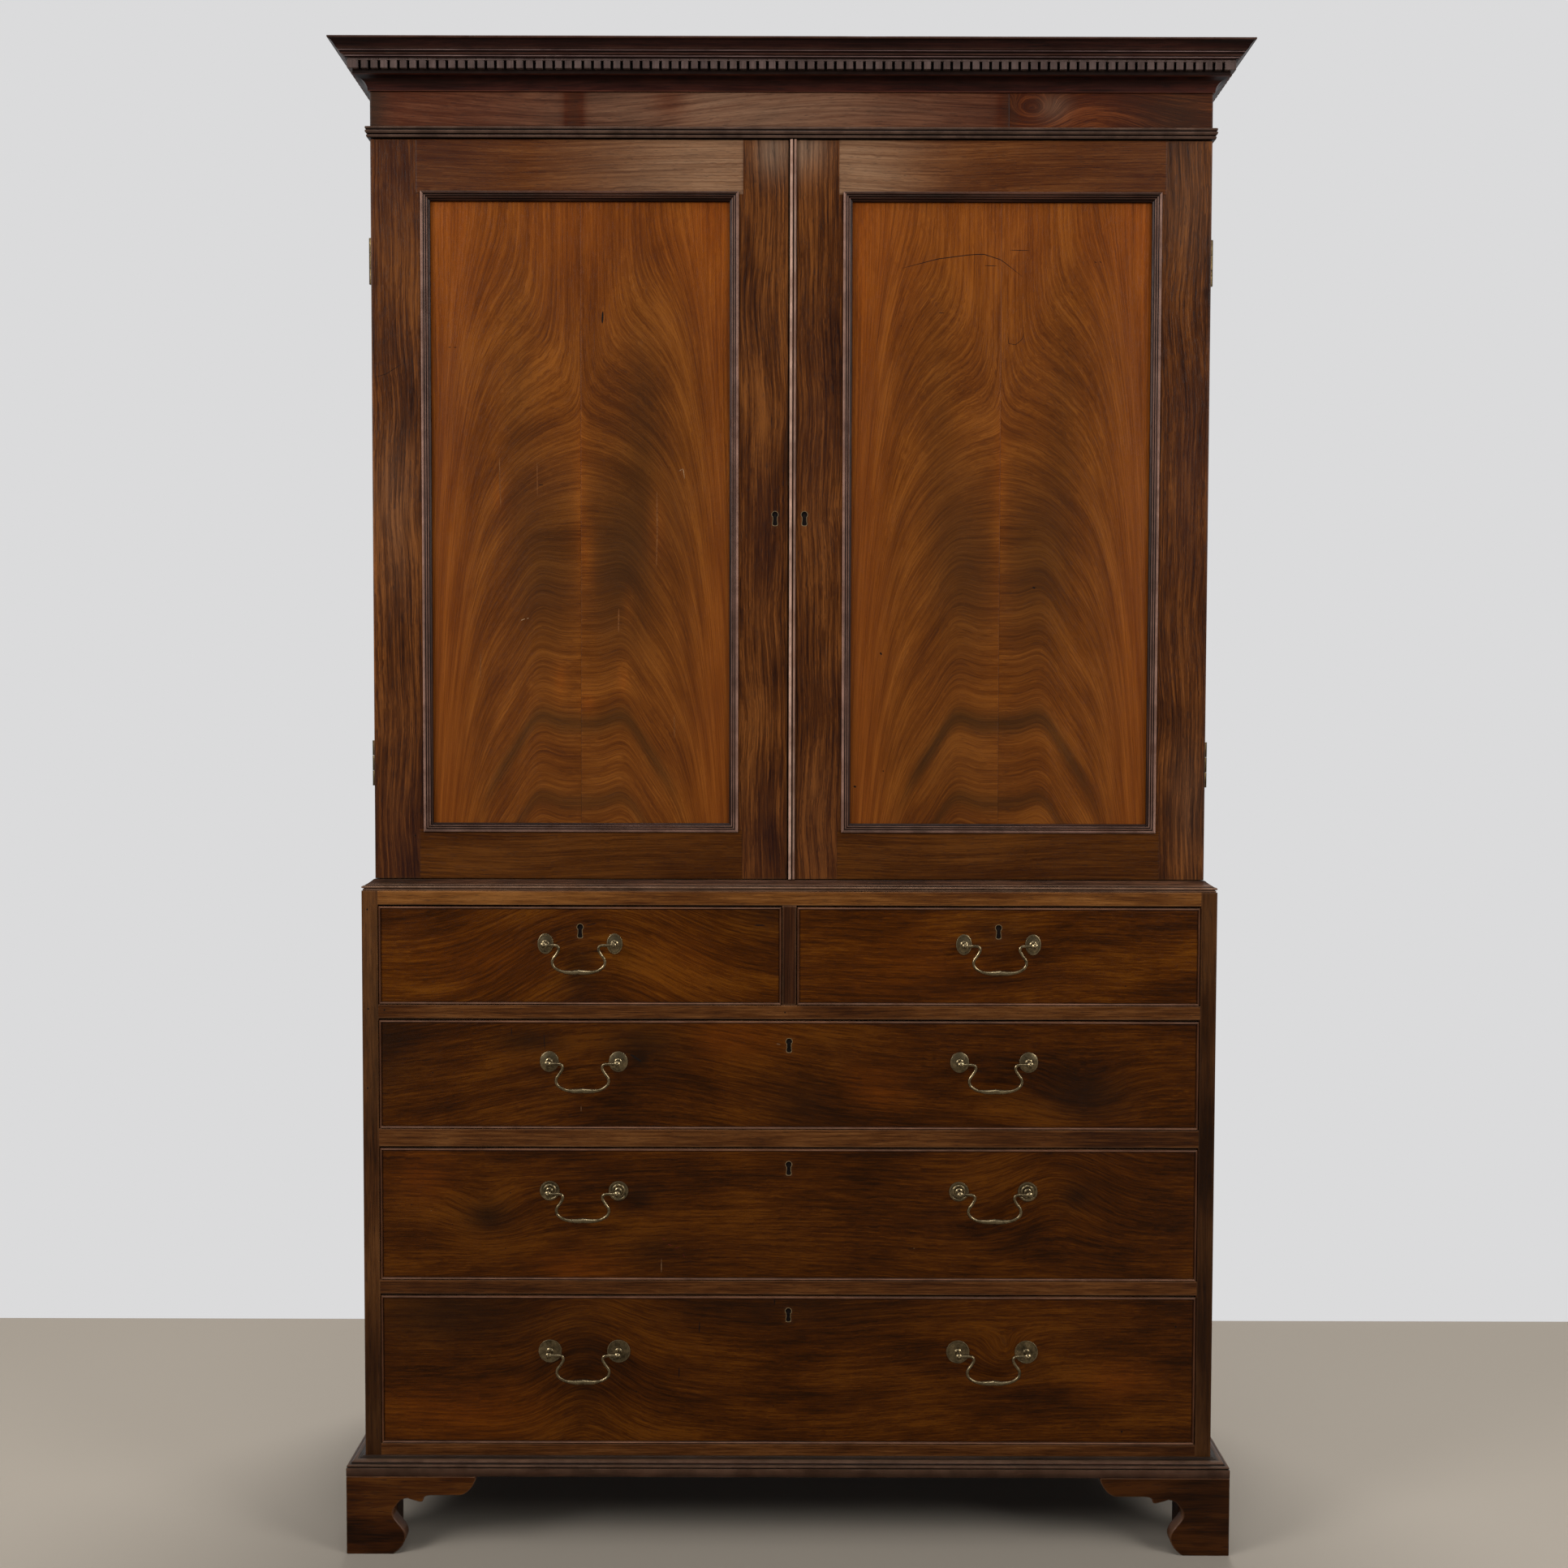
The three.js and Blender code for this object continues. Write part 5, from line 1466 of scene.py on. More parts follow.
@dataclass(frozen=True)
class Cornice:
    """The frieze box with its cove, and the crown with its dentils.

    A painted highlight of the crown is a pale strip on one of its fillets: its reach, foot and top, as
    shares of the crown's run and height.
    """

    wall: float = 0.018
    rail: float = 0.02
    veneer: float = 0.003
    cove_height: float = 0.0175
    cove_reach: float = 0.023
    band_reach: float = 0.025
    crown_height: float = 0.0222
    crown_reach: float = 0.047
    pitch: float = 0.0133
    slot_width: float = 0.004
    slot_depth: float = 0.006
    slot_rise: float = 0.0158
    dentil_foot: float = 0.0052
    fillet_highlights: tuple[tuple[float, float, float], ...] = ((0.17, 0.055, 0.117), (0.44, 0.32, 0.367))
    patch_joint: float = 0.302

    def build(self, case: CaseFace) -> None:
        """Make the crown, the dentil band, the cove and the frieze.

        Args:
            case: The press that it stands on.
        """
        band_low, top = spans("cornice_moulding")[2]
        frieze_low, cove_top = spans("cornice_frieze")[2]
        band_top = top - self.crown_height
        run = self.crown_reach - self.band_reach
        section, crest = wall_section(CROWN_SHARES, (self.band_reach, run), (band_top, self.crown_height),
                                      -self.wall)
        fixed("cornice_crown", case_moulding(section, crest, case, 0.0006, seed=3), CROWN,
              "cornice_moulding")
        # Pale strips on two fillets of the crown: painted highlights.
        fillet_highlights = []
        for out, foot, head in self.fillet_highlights:
            face = self.band_reach + out * run
            z = (band_top + foot * self.crown_height, band_top + head * self.crown_height)
            fillet_highlights.append(self.band(case, (face - 0.001, face + 0.0003), z, 0.0001))
        fixed("cornice_crown_fillets", merge(fillet_highlights), CROWN_FILLET_HIGHLIGHT, "cornice_moulding")
        self.dentils(case, band_low, band_top)
        section, crest = wall_section(COVE_SHARES, (0, self.cove_reach),
                                      (cove_top - self.cove_height, self.cove_height), -self.wall)
        fixed("cornice_cove", case_moulding(section, crest, case, 0.0003, seed=4), COVE, "cornice_frieze")
        self.frieze(case, (frieze_low, cove_top - self.cove_height))

    def band(self, case: CaseFace, reach: Span, z: Span, ease: float = 0.0005) -> Shape:
        """A plain band round the case.

        Args:
            case: The press.
            reach: How far its inner and outer faces stand out from the press.
            z: Its bottom and top.
            ease: The radius of its edges.

        Returns:
            The shape.
        """
        corners = np.array([[reach[1], z[0]], [reach[1], z[1]], [reach[0], z[1]], [reach[0], z[0]]])
        section, crest = eased(corners, ease)
        return case_moulding(section, crest, case, 0.0003, seed=5)

    def dentils(self, case: CaseFace, low: float, high: float) -> None:
        """The band behind the dentils, near black as painted shade, the strip over them, the dentils, and
        a dark mark over each slot as the painted shade of a pit.

        Args:
            case: The press.
            low: The foot of the band.
            high: Its top.
        """
        back = self.band_reach - self.slot_depth
        slot_top = low + self.slot_rise
        # The band seen between and under the dentils is finished near black: painted shade.
        fixed("cornice_dentil_ground", self.band(case, (-self.wall, back), (low, high)), PAINTED_SHADE_GROUND,
              "cornice_moulding")
        fixed("cornice_dentil_band", self.band(case, (back, self.band_reach), (slot_top, high)),
              DENTIL, "cornice_moulding")
        x_face, y_face = case.half + self.band_reach, case.front - self.band_reach
        gap = self.slot_width / 2
        across = self.slots(2 * x_face)
        deep = self.slots(case.back - y_face) + (y_face + case.back) / 2
        lefts = np.concatenate([[-x_face], across + gap])
        rights = np.concatenate([across - gap, [x_face]])
        fronts = deep + gap
        rears = np.concatenate([deep[1:] - gap, [case.back]])
        count, rows = len(lefts), len(fronts)
        embed = 0.0004
        corner_back = np.full(count, y_face + self.slot_depth + embed)
        corner_back[[0, -1]] = deep[0] - gap
        foot = low + self.dentil_foot
        low_front = np.stack([lefts, np.full(count, y_face), np.full(count, foot)], axis=1)
        high_front = np.stack([rights, corner_back, np.full(count, slot_top)], axis=1)
        sides = [low_front], [high_front]
        inner = x_face - self.slot_depth - embed
        for near, far in ((-x_face, -inner), (inner, x_face)):
            sides[0].append(np.stack([np.full(rows, near), fronts, np.full(rows, foot)], axis=1))
            sides[1].append(np.stack([np.full(rows, far), rears, np.full(rows, slot_top)], axis=1))
        fixed("cornice_dentils", blocks(np.concatenate(sides[0]), np.concatenate(sides[1])), DENTIL,
              "cornice_moulding")
        # Dark marks just proud of the face over each slot: the painted shade of small pits.
        half, rise, proud, sunk = 0.0007, 0.00098, 0.00006, 0.0003
        middles = np.stack([across, np.full(len(across), y_face),
                            np.full(len(across), slot_top + 0.0014)], axis=1)
        pits = blocks(middles - [half, proud, rise], middles + [half, sunk, rise], 0.0002)
        fixed("cornice_dentil_pits", pits, DARK_MARK, "cornice_moulding")

    def slots(self, length: float) -> np.ndarray:
        """The middles of the slots of one run of the given length, from the run's middle."""
        count = math.floor(length / self.pitch) - 1
        return (np.arange(count) - (count - 1) / 2) * self.pitch

    def frieze(self, case: CaseFace, z: Span) -> None:
        """The frieze's core, its two front veneers with the joint between them, and its side veneers.

        Args:
            case: The press.
            z: The bottom and top of the frieze.
        """
        core = self.band(case, (-self.wall, -self.veneer), z)
        inside = case.half - self.wall
        rail = board((-inside, inside), (case.back - self.rail, case.back), z)
        fixed("frieze_core", merge([core, rail]), CASE_RAIL, "cornice_frieze")
        y = (case.front, case.front + self.veneer)
        left, right = (-case.half, self.patch_joint), (self.patch_joint + 0.0002, case.half)
        swirls = (Patch(0.3, 0.2, 0.25, 1.5, 0.02), Patch(0.75, 0.5, 0.2, 1.5, -0.012))
        # The broad bright patch in the middle, toward the pale glow, is a painted sheen.
        stains_and_painted_light = (Patch(0.0, 0.5, 0.026, 2.0, -0.9), Patch(0.58, 0.6, 0.28, 1.2, 0.6),
                  Patch(0.32, 0.6, 0.014, 1.5, -0.6), Patch(0.47, 0.7, 0.03, 0.5, -0.4),
                  Patch(1.0, 0.5, 0.012, 1.0, -0.5))
        veneer = plate(left, y, z, BoardFigure(left, z, swirls, stains_and_painted_light), 0.006, rub=-0.3)
        fixed("frieze_front", veneer, FRIEZE, "cornice_frieze")
        swirls = (Patch(0.12, 0.5, 0.12, 0.4, 0.05), Patch(0.45, 0.3, 0.3, 0.8, -0.03))
        stains_and_painted_light = (Patch(0.22, 0.6, 0.08, 0.4, 0.3), Patch(0.02, 0.5, 0.02, 0.7, -0.5),
                  Patch(0.85, 0.5, 0.25, 1.5, -0.6))
        veneer = plate(right, y, z, BoardFigure(right, z, swirls, stains_and_painted_light), 0.006, shift=2, rub=-0.3)
        fixed("frieze_patch", veneer, FRIEZE_PATCH, "cornice_frieze")
        depth = (case.front + self.veneer, case.back)
        side = board((-case.half, -case.half + self.veneer), depth, z, Grain.ALONG_Y)
        fixed("frieze_sides", merge([side, mirrored(side)]), CASE_SIDE.running(Grain.ALONG_Y),
              "cornice_frieze")


@dataclass(frozen=True)
class CaseMoulding:
    """A moulding planted round the sides and the front of a case."""

    node: str
    shares: list[list[float]]
    finish: WoodFinish
    start: float
    reach: float
    wall: float = 0.0003
    wear: float = 0.0004

    def build(self, case: CaseFace) -> None:
        """Make the moulding.

        Args:
            case: The case that it runs round.
        """
        low, high = spans(self.node)[2]
        section, crest = wall_section(self.shares, (self.start, self.reach), (low, high - low), self.wall)
        run = case_moulding(section, crest, case, self.wear, 0.02, seed=len(self.node))
        fixed(f"{self.node}_run", run, self.finish, self.node)


@dataclass(frozen=True)
class BracketFeet:
    """Four feet, each of two shaped brackets mitred at the corner and a block behind them."""

    width: float = 0.182
    thickness: float = 0.022
    block: float = 0.044
    block_lift: float = 0.006

    def build(self) -> None:
        """Make the left feet and their mirror images."""
        for node, rear in (("foot_front", False), ("foot_rear", True)):
            x, y, z = spans(f"{node}_left")
            corner = (x[0], y[1] if rear else y[0])
            for name, shape, grain in self.parts(corner, z, rear):
                left, right = LEFT_FOOT.running(grain), RIGHT_FOOT.running(grain)
                fixed(f"{node}_left_{name}", shape, left, f"{node}_left")
                fixed(f"{node}_right_{name}", mirrored(shape), right, f"{node}_right")

    def parts(self, corner: tuple[float, float], z: Span, rear: bool) -> list[tuple[str, Shape, Grain]]:
        """The three parts of a left foot.

        Args:
            corner: The x and y of its outer corner.
            z: The floor and its top.
            rear: Whether it is a back foot.

        Returns:
            The name, shape and grain of each part.
        """
        x, y = corner
        inwards = -1 if rear else 1
        size = np.array([self.width, z[1] - z[0]])
        facing = curve(REAR_FOOT_SHARES if rear else FOOT_SHARES, 12) * size + [x, z[0]]
        flank = curve(FOOT_SHARES, 12) * (size * [inwards, 1]) + [y, z[0]]
        thick = self.thickness
        if rear:
            facing[:, 0] = np.maximum(facing[:, 0], x + thick)
        depth = (y - thick, y) if rear else (y, y + thick)
        reach = thick + self.block
        near, far = sorted((y + inwards * thick, y + inwards * reach))
        post = board((x + thick, x + reach), (near, far), (z[0] + self.block_lift, z[1]), Grain.ALONG_Z,
                     0.002)
        front = cut_out(facing, depth, 1, 0.0012, 0.0 if rear else thick)
        side = cut_out(flank, (x, x + thick), 0, 0.0012, 0.0 if rear else thick)
        return [("facing", front, Grain.ALONG_X), ("flank", side, Grain.ALONG_Y),
                ("block", post, Grain.ALONG_Z)]


# The chest of drawers

@dataclass(frozen=True)
class ChestCase:
    """The chest's sides, top, shelves, divider, bottom and boarded back."""

    rail_depth: float = 0.055
    apron: float = 0.018
    dust_board: float = 0.010
    floor: float = 0.0174
    runner_gap: float = 0.002
    edging: float = 0.001
    back_boards: int = 6

    def build(self) -> None:
        """Make every board of the chest."""
        for node in ("chest_side_left", "chest_side_right"):
            softened(node, CASE_SIDE)
            self.edge(node)
        for k, node in enumerate(("drawer_shelf_1", "drawer_shelf_2", "drawer_shelf_3")):
            x, y, z = self.rail(node, k + 1)
            dust_board = boarded(x, y, (z[1] - self.dust_board, z[1]), 4, Grain.ALONG_Y)
            fixed(f"{node}_dust_board", dust_board, DEAL.running(Grain.ALONG_Y), node)
        rest = self.rail("chest_top_board", 5, TOP_EDGE)
        fixed("chest_top_rear", boarded(*rest, 3, Grain.ALONG_Y), DEAL.running(Grain.ALONG_Y),
              "chest_top_board")
        x, y, z = spans("chest_bottom_board")
        inner = (spans("chest_side_left")[0][1], spans("chest_side_right")[0][0])
        apron_top = z[1] - self.floor
        apron = board(inner, (y[0], y[0] + self.apron), (z[0], apron_top), ease=0.0006, shift=7)
        floor = board(x, y, (apron_top, z[1]), ease=0.0008, shift=8)
        fixed("chest_bottom", merge([apron, floor]), CASE_RAIL, "chest_bottom_board")
        x, y, z = spans("drawer_divider")
        post = board(x, (y[0], y[0] + self.rail_depth), z, Grain.ALONG_Z, 0.0008, 4)
        fixed("divider_post", post, DIVIDER, "drawer_divider")
        inside = (x[0] + self.runner_gap, x[1] - self.runner_gap)
        runner = board(inside, (y[0] + self.rail_depth, y[1]), z, Grain.ALONG_Y)
        fixed("divider_runner", runner, DEAL.running(Grain.ALONG_Y), "drawer_divider")
        fixed("chest_back_boards", boarded(*spans("chest_back"), self.back_boards, Grain.ALONG_Z),
              DEAL, "chest_back")

    def edge(self, node: str) -> None:
        """The thin strip that faces a side's front edge, painted darker towards the floor as painted
        shade, and darker on the right side than on the left.

        Args:
            node: The side.
        """
        x, y, z = spans(node)
        stains_and_painted_light = ((Patch(0.5, 0.85, 2.0, 0.3, 0.25), Patch(0.5, 0.0, 2.0, 0.35, -0.75)) if x[0] < 0 else
                  (Patch(0.5, 0.9, 2.0, 1.2, -0.5), Patch(0.5, 0.0, 2.0, 0.5, -0.4)))
        inside = (x[0] + 0.0003, x[1] - 0.0003)
        figure = BoardFigure(inside, z, (), stains_and_painted_light, 0.01, upright=True)
        shape = plate(inside, (y[0] - SKIN_PROUD, y[0] + self.edging), z, figure, 0.006, 0.0001,
                      shift=x[0], rub=0.4)
        fixed(f"{node}_edging", shape, EDGING, node)

    def rail(self, node: str, shift: float, finish: WoodFinish = CASE_RAIL) -> tuple[Span, Span, Span]:
        """The front rail of a shelf, housed in the sides.

        Args:
            node: The shelf.
            shift: How far the rail's grain is moved.
            finish: Its finish.

        Returns:
            The x, y and z spans of what is left of the shelf behind it.
        """
        x, y, z = spans(node)
        depth = y[0] + self.rail_depth
        fixed(f"{node}_rail", board(x, (y[0], depth), z, ease=0.0008, shift=shift), finish, node)
        return x, (depth, y[1]), z


class Rosette(Enum):
    """The turned plates behind the handles' posts.

    Each is a profile of (radius, distance) shares, the radius, the thickness, and height over width.
    """

    OVAL = ((1.0, 0.0), (1.0, 0.35), (0.86, 0.5), (0.8, 0.42), (0.5, 0.85),
            (0.0, 1.0)), 0.011, 0.0024, 1.32
    DOMED = ((1.0, 0.0), (1.0, 0.3), (0.9, 0.42), (0.62, 0.9), (0.3, 1.0),
             (0.0, 1.0)), 0.0132, 0.0028, 1.1
    RINGED = ((1.0, 0.0), (1.0, 0.4), (0.84, 0.46), (0.8, 0.26), (0.68, 0.3), (0.62, 0.7), (0.5, 0.72),
              (0.46, 0.5), (0.0, 0.55)), 0.0138, 0.0026, 1.0
    PLAIN = ((1.0, 0.0), (1.0, 0.3), (0.93, 0.4), (0.9, 0.28), (0.5, 0.5),
             (0.0, 0.6)), 0.0164, 0.0022, 1.0


@dataclass(frozen=True)
class SwanNeckHandle:
    """Two turned posts with their rosettes and nuts, and a swan-neck bail between the posts' heads."""

    rosette: Rosette
    spacing: float = 0.097
    stem_radius: float = 0.0028
    head_radius: float = 0.0046
    pivot_reach: float = 0.018
    head_front: float = 0.005
    drop: float = 0.038
    bail_radius: float = 0.0021
    grip_radius: float = 0.0036
    grip_length: float = 0.046
    nut_radius: float = 0.0045
    nut_depth: float = 0.0026

    def post(self, x: float, face: float, z: float, inner_face: float) -> Shape:
        """One post with its rosette in front and its nut behind.

        Args:
            x: Its middle.
            face: The y of the drawer's face.
            z: Its height.
            inner_face: The y of the back of the drawer front.

        Returns:
            The shape.
        """
        profile, radius, thick, stretch = self.rosette.value
        plate_shape = turned([[r * radius, d * thick - 0.0003 * (d == 0)] for r, d in profile],
                             (x, face, z), 0.00025, 32, stretch)
        shank = self.pivot_reach - self.head_radius
        stem, head = self.stem_radius, self.head_radius
        full = head + self.head_front
        stand = turned([[0, 0], [1.9 * stem, 0.0004], [1.9 * stem, thick + 0.0008],
                        [1.45 * stem, thick + 0.0014], [1.1 * stem, thick + 0.003],
                        [stem, shank - 0.0022], [1.35 * stem, shank - 0.001],
                        [0.97 * head, shank + 0.26 * full], [head, shank + 0.48 * full],
                        [0.97 * head, shank + 0.7 * full], [0.5 * head, shank + 0.82 * full],
                        [0.42 * head, shank + 0.92 * full], [0.3 * head, shank + full],
                        [0, shank + full]], (x, face, z), 0.0003, 24)
        wide, deep = self.nut_radius, self.nut_depth
        nut = turned([[0, 0], [wide, 0], [wide, deep], [0, deep]], (x, inner_face + deep, z), 0.0004, 6)
        return merge([plate_shape, stand, nut])

    def bail(self, x: float, face: float, z: float) -> Shape:
        """The bail, as circles carried along a curve through its points.

        Between points p1 and p2 with neighbours p0 and p3 the curve is the cubic
        p1 + t(p2-p0)/2 + t^2(2p0-5p1+4p2-p3)/2 + t^3(3p1-3p2+p3-p0)/2. The grip swells as a cosine,
        with a small peak in its middle.

        Args:
            x: Its middle.
            face: The y of the drawer's face.
            z: The height of its pins.

        Returns:
            The shape.
        """
        reach = self.spacing / 2
        left = np.concatenate([[[reach - 0.002, 0]],
                               np.array(BAIL_SHARES) * [reach, self.drop]]) * [-1, 1]
        path = np.concatenate([left, left[-2::-1] * [-1, 1]])
        padded = np.concatenate([2 * path[:1] - path[1:2], path, 2 * path[-1:] - path[-2:-1]])
        p0, p1, p2, p3 = (padded[i:len(padded) - 3 + i, None] for i in range(4))
        t = np.linspace(0, 1, 12)[None, :-1, None]
        smooth = (p1 + t * (p2 - p0) / 2 + t ** 2 * (2 * p0 - 5 * p1 + 4 * p2 - p3) / 2
                  + t ** 3 * (3 * p1 - 3 * p2 + p3 - p0) / 2).reshape(-1, 2)
        smooth = np.concatenate([smooth, path[-1:]])
        line = resampled(smooth, np.linspace(0, 1, 97))
        offset = np.minimum(1, np.abs(line[:, 0]) / (self.grip_length / 2))
        on_grip = np.where(line[:, 1] < -self.drop / 2, np.cos(math.pi / 2 * offset), 0)
        peak = 0.0005 * np.exp(-(line[:, 0] / 0.0011) ** 2) * (on_grip > 0)
        radius = self.bail_radius + (self.grip_radius - self.bail_radius) * on_grip
        turn = np.linspace(0, 2 * math.pi, 14, endpoint=False)
        aside = sideways(line)[:, None] * np.cos(turn)[None, :, None]
        flat = line[:, None] + aside * radius[:, None, None]
        flat[..., 1] += peak[:, None] * (np.cos(turn) * np.sign(aside[..., 1]) > 0)
        depth = face - self.pivot_reach + np.sin(turn)[None] * radius[:, None]
        rings = np.stack([x + flat[..., 0], depth, z + flat[..., 1]], axis=-1)
        wear = np.broadcast_to(0.7 * on_grip[:, None], rings.shape[:2])
        return loft(rings, wear)


def keyhole_liner(keyhole: Keyhole, face: float) -> Shape:
    """Thin brass lining of a keyhole, as a loop of small squares that follows its outline.

    Args:
        keyhole: The keyhole.
        face: The y of the face that it is cut in.

    Returns:
        The shape.
    """
    half, deep, proud = 0.0003, 0.0016, 0.00014
    outer, inner = keyhole.outline(48, half), keyhole.outline(48, -half)
    corners = [(outer, -proud), (outer, deep), (inner, deep), (inner, 0.00002 - proud)]
    rings = np.stack([np.insert(flat, 1, face + back, axis=1) for flat, back in corners], axis=1)
    return loft(rings, 0.4, closed=True)


def keyway(keyhole: Keyhole, face: float) -> Shape:
    """Painted shade inside the lock: a dark plug of the keyhole's outline behind its lining."""
    near, far = face + 0.0018, face + 0.007
    return cut_out(keyhole.outline(28, -0.0004), (near, far), 1, 0.0001)


def dovetails(x: Span, y: Span, z: Span, count: int) -> tuple[Shape, Shape]:
    """The tails of a drawer side and the pins between them, as tapered blocks.

    A tail's top and bottom spread towards the front by a seventh of its length, and a pin's close in.

    Args:
        x: The span of the side.
        y: The front and back of the joint.
        z: The bottom and top of the side.
        count: How many tails.

    Returns:
        The tails and the pins.
    """
    pitch = (z[1] - z[0]) / count
    flare = (y[1] - y[0]) / 7
    half_pin = 0.16 * pitch
    middles = z[0] + (np.arange(count) + 0.5) * pitch

    def prisms(centres: np.ndarray, half: float, spread: float) -> Shape:
        """Prisms about the given middles, half as high as given, whose front is taller by the spread."""
        rings = [np.array([[[px, py, c + s * (half + extra)] for px, s in
                            ((x[0], -1), (x[1], -1), (x[1], 1), (x[0], 1))]
                           for py, extra in ((y[0], spread), (y[1], -spread))]) for c in centres]
        return merge([loft(ring, 0.15) for ring in rings])

    tails = prisms(middles, pitch / 2 - half_pin - 0.0001, flare)
    pins = prisms(middles[1:] - pitch / 2, half_pin - 0.0001, -flare)
    return tails, pins


@dataclass(frozen=True)
class Drawer:
    """A drawer: veneered front, cock beads, dovetailed oak box, lock and handles."""

    name: str
    finish: WoodFinish
    rosette: Rosette
    handle_drop: float
    key_drop: float
    tails: int
    swirls: tuple[Patch, ...] = ()
    stains_and_painted_light: tuple[Patch, ...] = ()
    slope: float = 0.0
    front_thickness: float = 0.022
    face_thickness: float = 0.008
    bead_width: float = 0.003
    bead_reach: float = 0.0016
    side: float = 0.011
    bottom: float = 0.008
    bottom_rise: float = 0.006
    groove: float = 0.002

    def add(self, part: str, shape: Shape, finish: WoodFinish | MetalFinish, node: str = "front") -> None:
        """Make a piece that rides on the drawer and stands for its front or its box."""
        put(f"{self.name}_{part}", shape, finish, self.name, f"{self.name}_{node}")

    def build(self, face: float, bails: dict[str, float]) -> None:
        """Make the drawer.

        Args:
            face: The y of its face.
            bails: The middle of each of its handles, by the name of its bail.
        """
        x, _, z = spans(f"{self.name}_front")
        self.front(x, z, face, Keyhole((x[0] + x[1]) / 2, z[1] - self.key_drop))
        self.box(x, z, face)
        handle = SwanNeckHandle(self.rosette)
        level = z[1] - self.handle_drop
        half = handle.spacing / 2
        posts = [handle.post(middle + s * half, face, level, face + self.front_thickness)
                 for middle in bails.values() for s in (-1, 1)]
        self.add("posts", merge(posts), HANDLE_BRASS)
        for bail, middle in bails.items():
            put(f"{bail}_swan_neck", handle.bail(middle, face, level), HANDLE_BRASS, f"{bail}_body", bail)

    def front(self, x: Span, z: Span, face: float, keyhole: Keyhole) -> None:
        """The veneered face, its beads, the core behind it, the lock and the keyhole's lining.

        Args:
            x: Its left and right.
            z: Its bottom and top.
            face: The y of its face.
            keyhole: Its keyhole.
        """
        bead = self.bead_width
        inner_x, inner_z = (x[0] + bead, x[1] - bead), (z[0] + bead, z[1] - bead)
        behind = face + self.face_thickness
        figure = BoardFigure(inner_x, inner_z, self.swirls, self.stains_and_painted_light, self.slope)
        veneer = plate(inner_x, (face, behind), inner_z, figure, 0.005, 0.0004, keyhole,
                       shift=len(self.name) * 0.7, rub=-0.4)
        self.add("face", veneer, self.finish)
        shares = np.array([[0, -0.5625], [0.15, -0.875], [0.5, -1], [0.85, -0.875], [1, -0.5625]])
        round_top = shares * [bead, self.bead_reach]
        section = np.concatenate([[[0, self.face_thickness]], round_top, [[bead, self.face_thickness]]])
        # The crown of the bead is painted pale, as rubbed wear and painted highlight, and its back dark,
        # as painted shade in the gap.
        crest = np.array([0.0, 0.0, 0.25, 1.0, 0.1, -0.6, -0.6])
        # The bottom and top beads keep more of their pale crown than the side ones: painted highlight
        # where the light falls.
        beads = mitred_frame(section, crest, x, z, face, 0.03, rubbed=(0.9, 0.15, 0.6, 0.15))
        self.add("cock_beads", beads, COCK_BEAD)
        lap = self.side + 0.0003
        rear = face + self.front_thickness
        core = board((x[0] + lap, x[1] - lap), (behind, rear), z, ease=0.0006, shift=3)
        self.add("core", core, DEAL.running(Grain.ALONG_X))
        self.add("keyhole_lining", keyhole_liner(keyhole, face), KEY_BRASS)
        self.add("keyway", keyway(keyhole, face), DARK_MARK)
        over = min(0.014, z[1] - 0.003 - keyhole.z)
        across, up = keyhole.around(aside=0.032, below=0.026, above=over)
        case = board(across, (rear, rear + 0.004), up, ease=0.0006)
        across, up = keyhole.around(aside=0.022, below=0.019, above=0.008)
        cap = board(across, (rear + 0.0035, rear + 0.009), up, ease=0.001)
        self.add("lock", merge([case, cap]), IRON)

    def box(self, x: Span, z: Span, face: float) -> None:
        """The sides with their dovetails, the back and the bottom.

        Args:
            x: The left and right of the drawer.
            z: Its bottom and top.
            face: The y of its face.
        """
        _, y, box_z = spans(f"{self.name}_box")
        rear = face + self.front_thickness
        joint = (face + self.face_thickness + 0.0003, rear)
        sides, tails, pins = [], [], []
        for span in ((x[0], x[0] + self.side), (x[1] - self.side, x[1])):
            sides.append(board(span, (rear + 0.0001, y[1]), box_z, Grain.ALONG_Y, 0.0015, shift=span[0]))
            pair = dovetails(span, joint, (box_z[0] + 0.002, box_z[1] - 0.002), self.tails)
            tails.append(pair[0])
            pins.append(pair[1])
        self.add("sides", merge(sides + tails), OAK.running(Grain.ALONG_Y), "box")
        self.add("pins", merge(pins), CASE_RAIL)
        inner = (x[0] + self.side, x[1] - self.side)
        self.add("back", board(inner, (y[1] - self.side, y[1]), box_z, ease=0.0015), OAK, "box")
        floor = (z[0] + self.bottom_rise, z[0] + self.bottom_rise + self.bottom)
        count = 2 + round((x[1] - x[0]) / 0.4)
        housed = (inner[0] - self.groove, inner[1] + self.groove)
        bottom = boarded(housed, (rear, y[1] - self.groove), floor, count, Grain.ALONG_Y)
        self.add("bottom", bottom, OAK.running(Grain.ALONG_Y), "box")


# The press: its case, trays and doors

@dataclass(frozen=True)
class PressCase:
    """The press's sides, top, bottom and boarded back."""

    back_boards: int = 7

    def build(self) -> None:
        """Make every board of the press."""
        for node in ("press_side_left", "press_side_right"):
            softened(node, CASE_SIDE, 0.0008)
        for k, node in enumerate(("press_bottom_board", "press_top_board")):
            fixed(f"{node}_eased", board(*spans(node), ease=0.001, shift=9 + k), CASE_RAIL, node)
        fixed("press_back_boards", boarded(*spans("press_back"), self.back_boards, Grain.ALONG_Z),
              DEAL, "press_back")


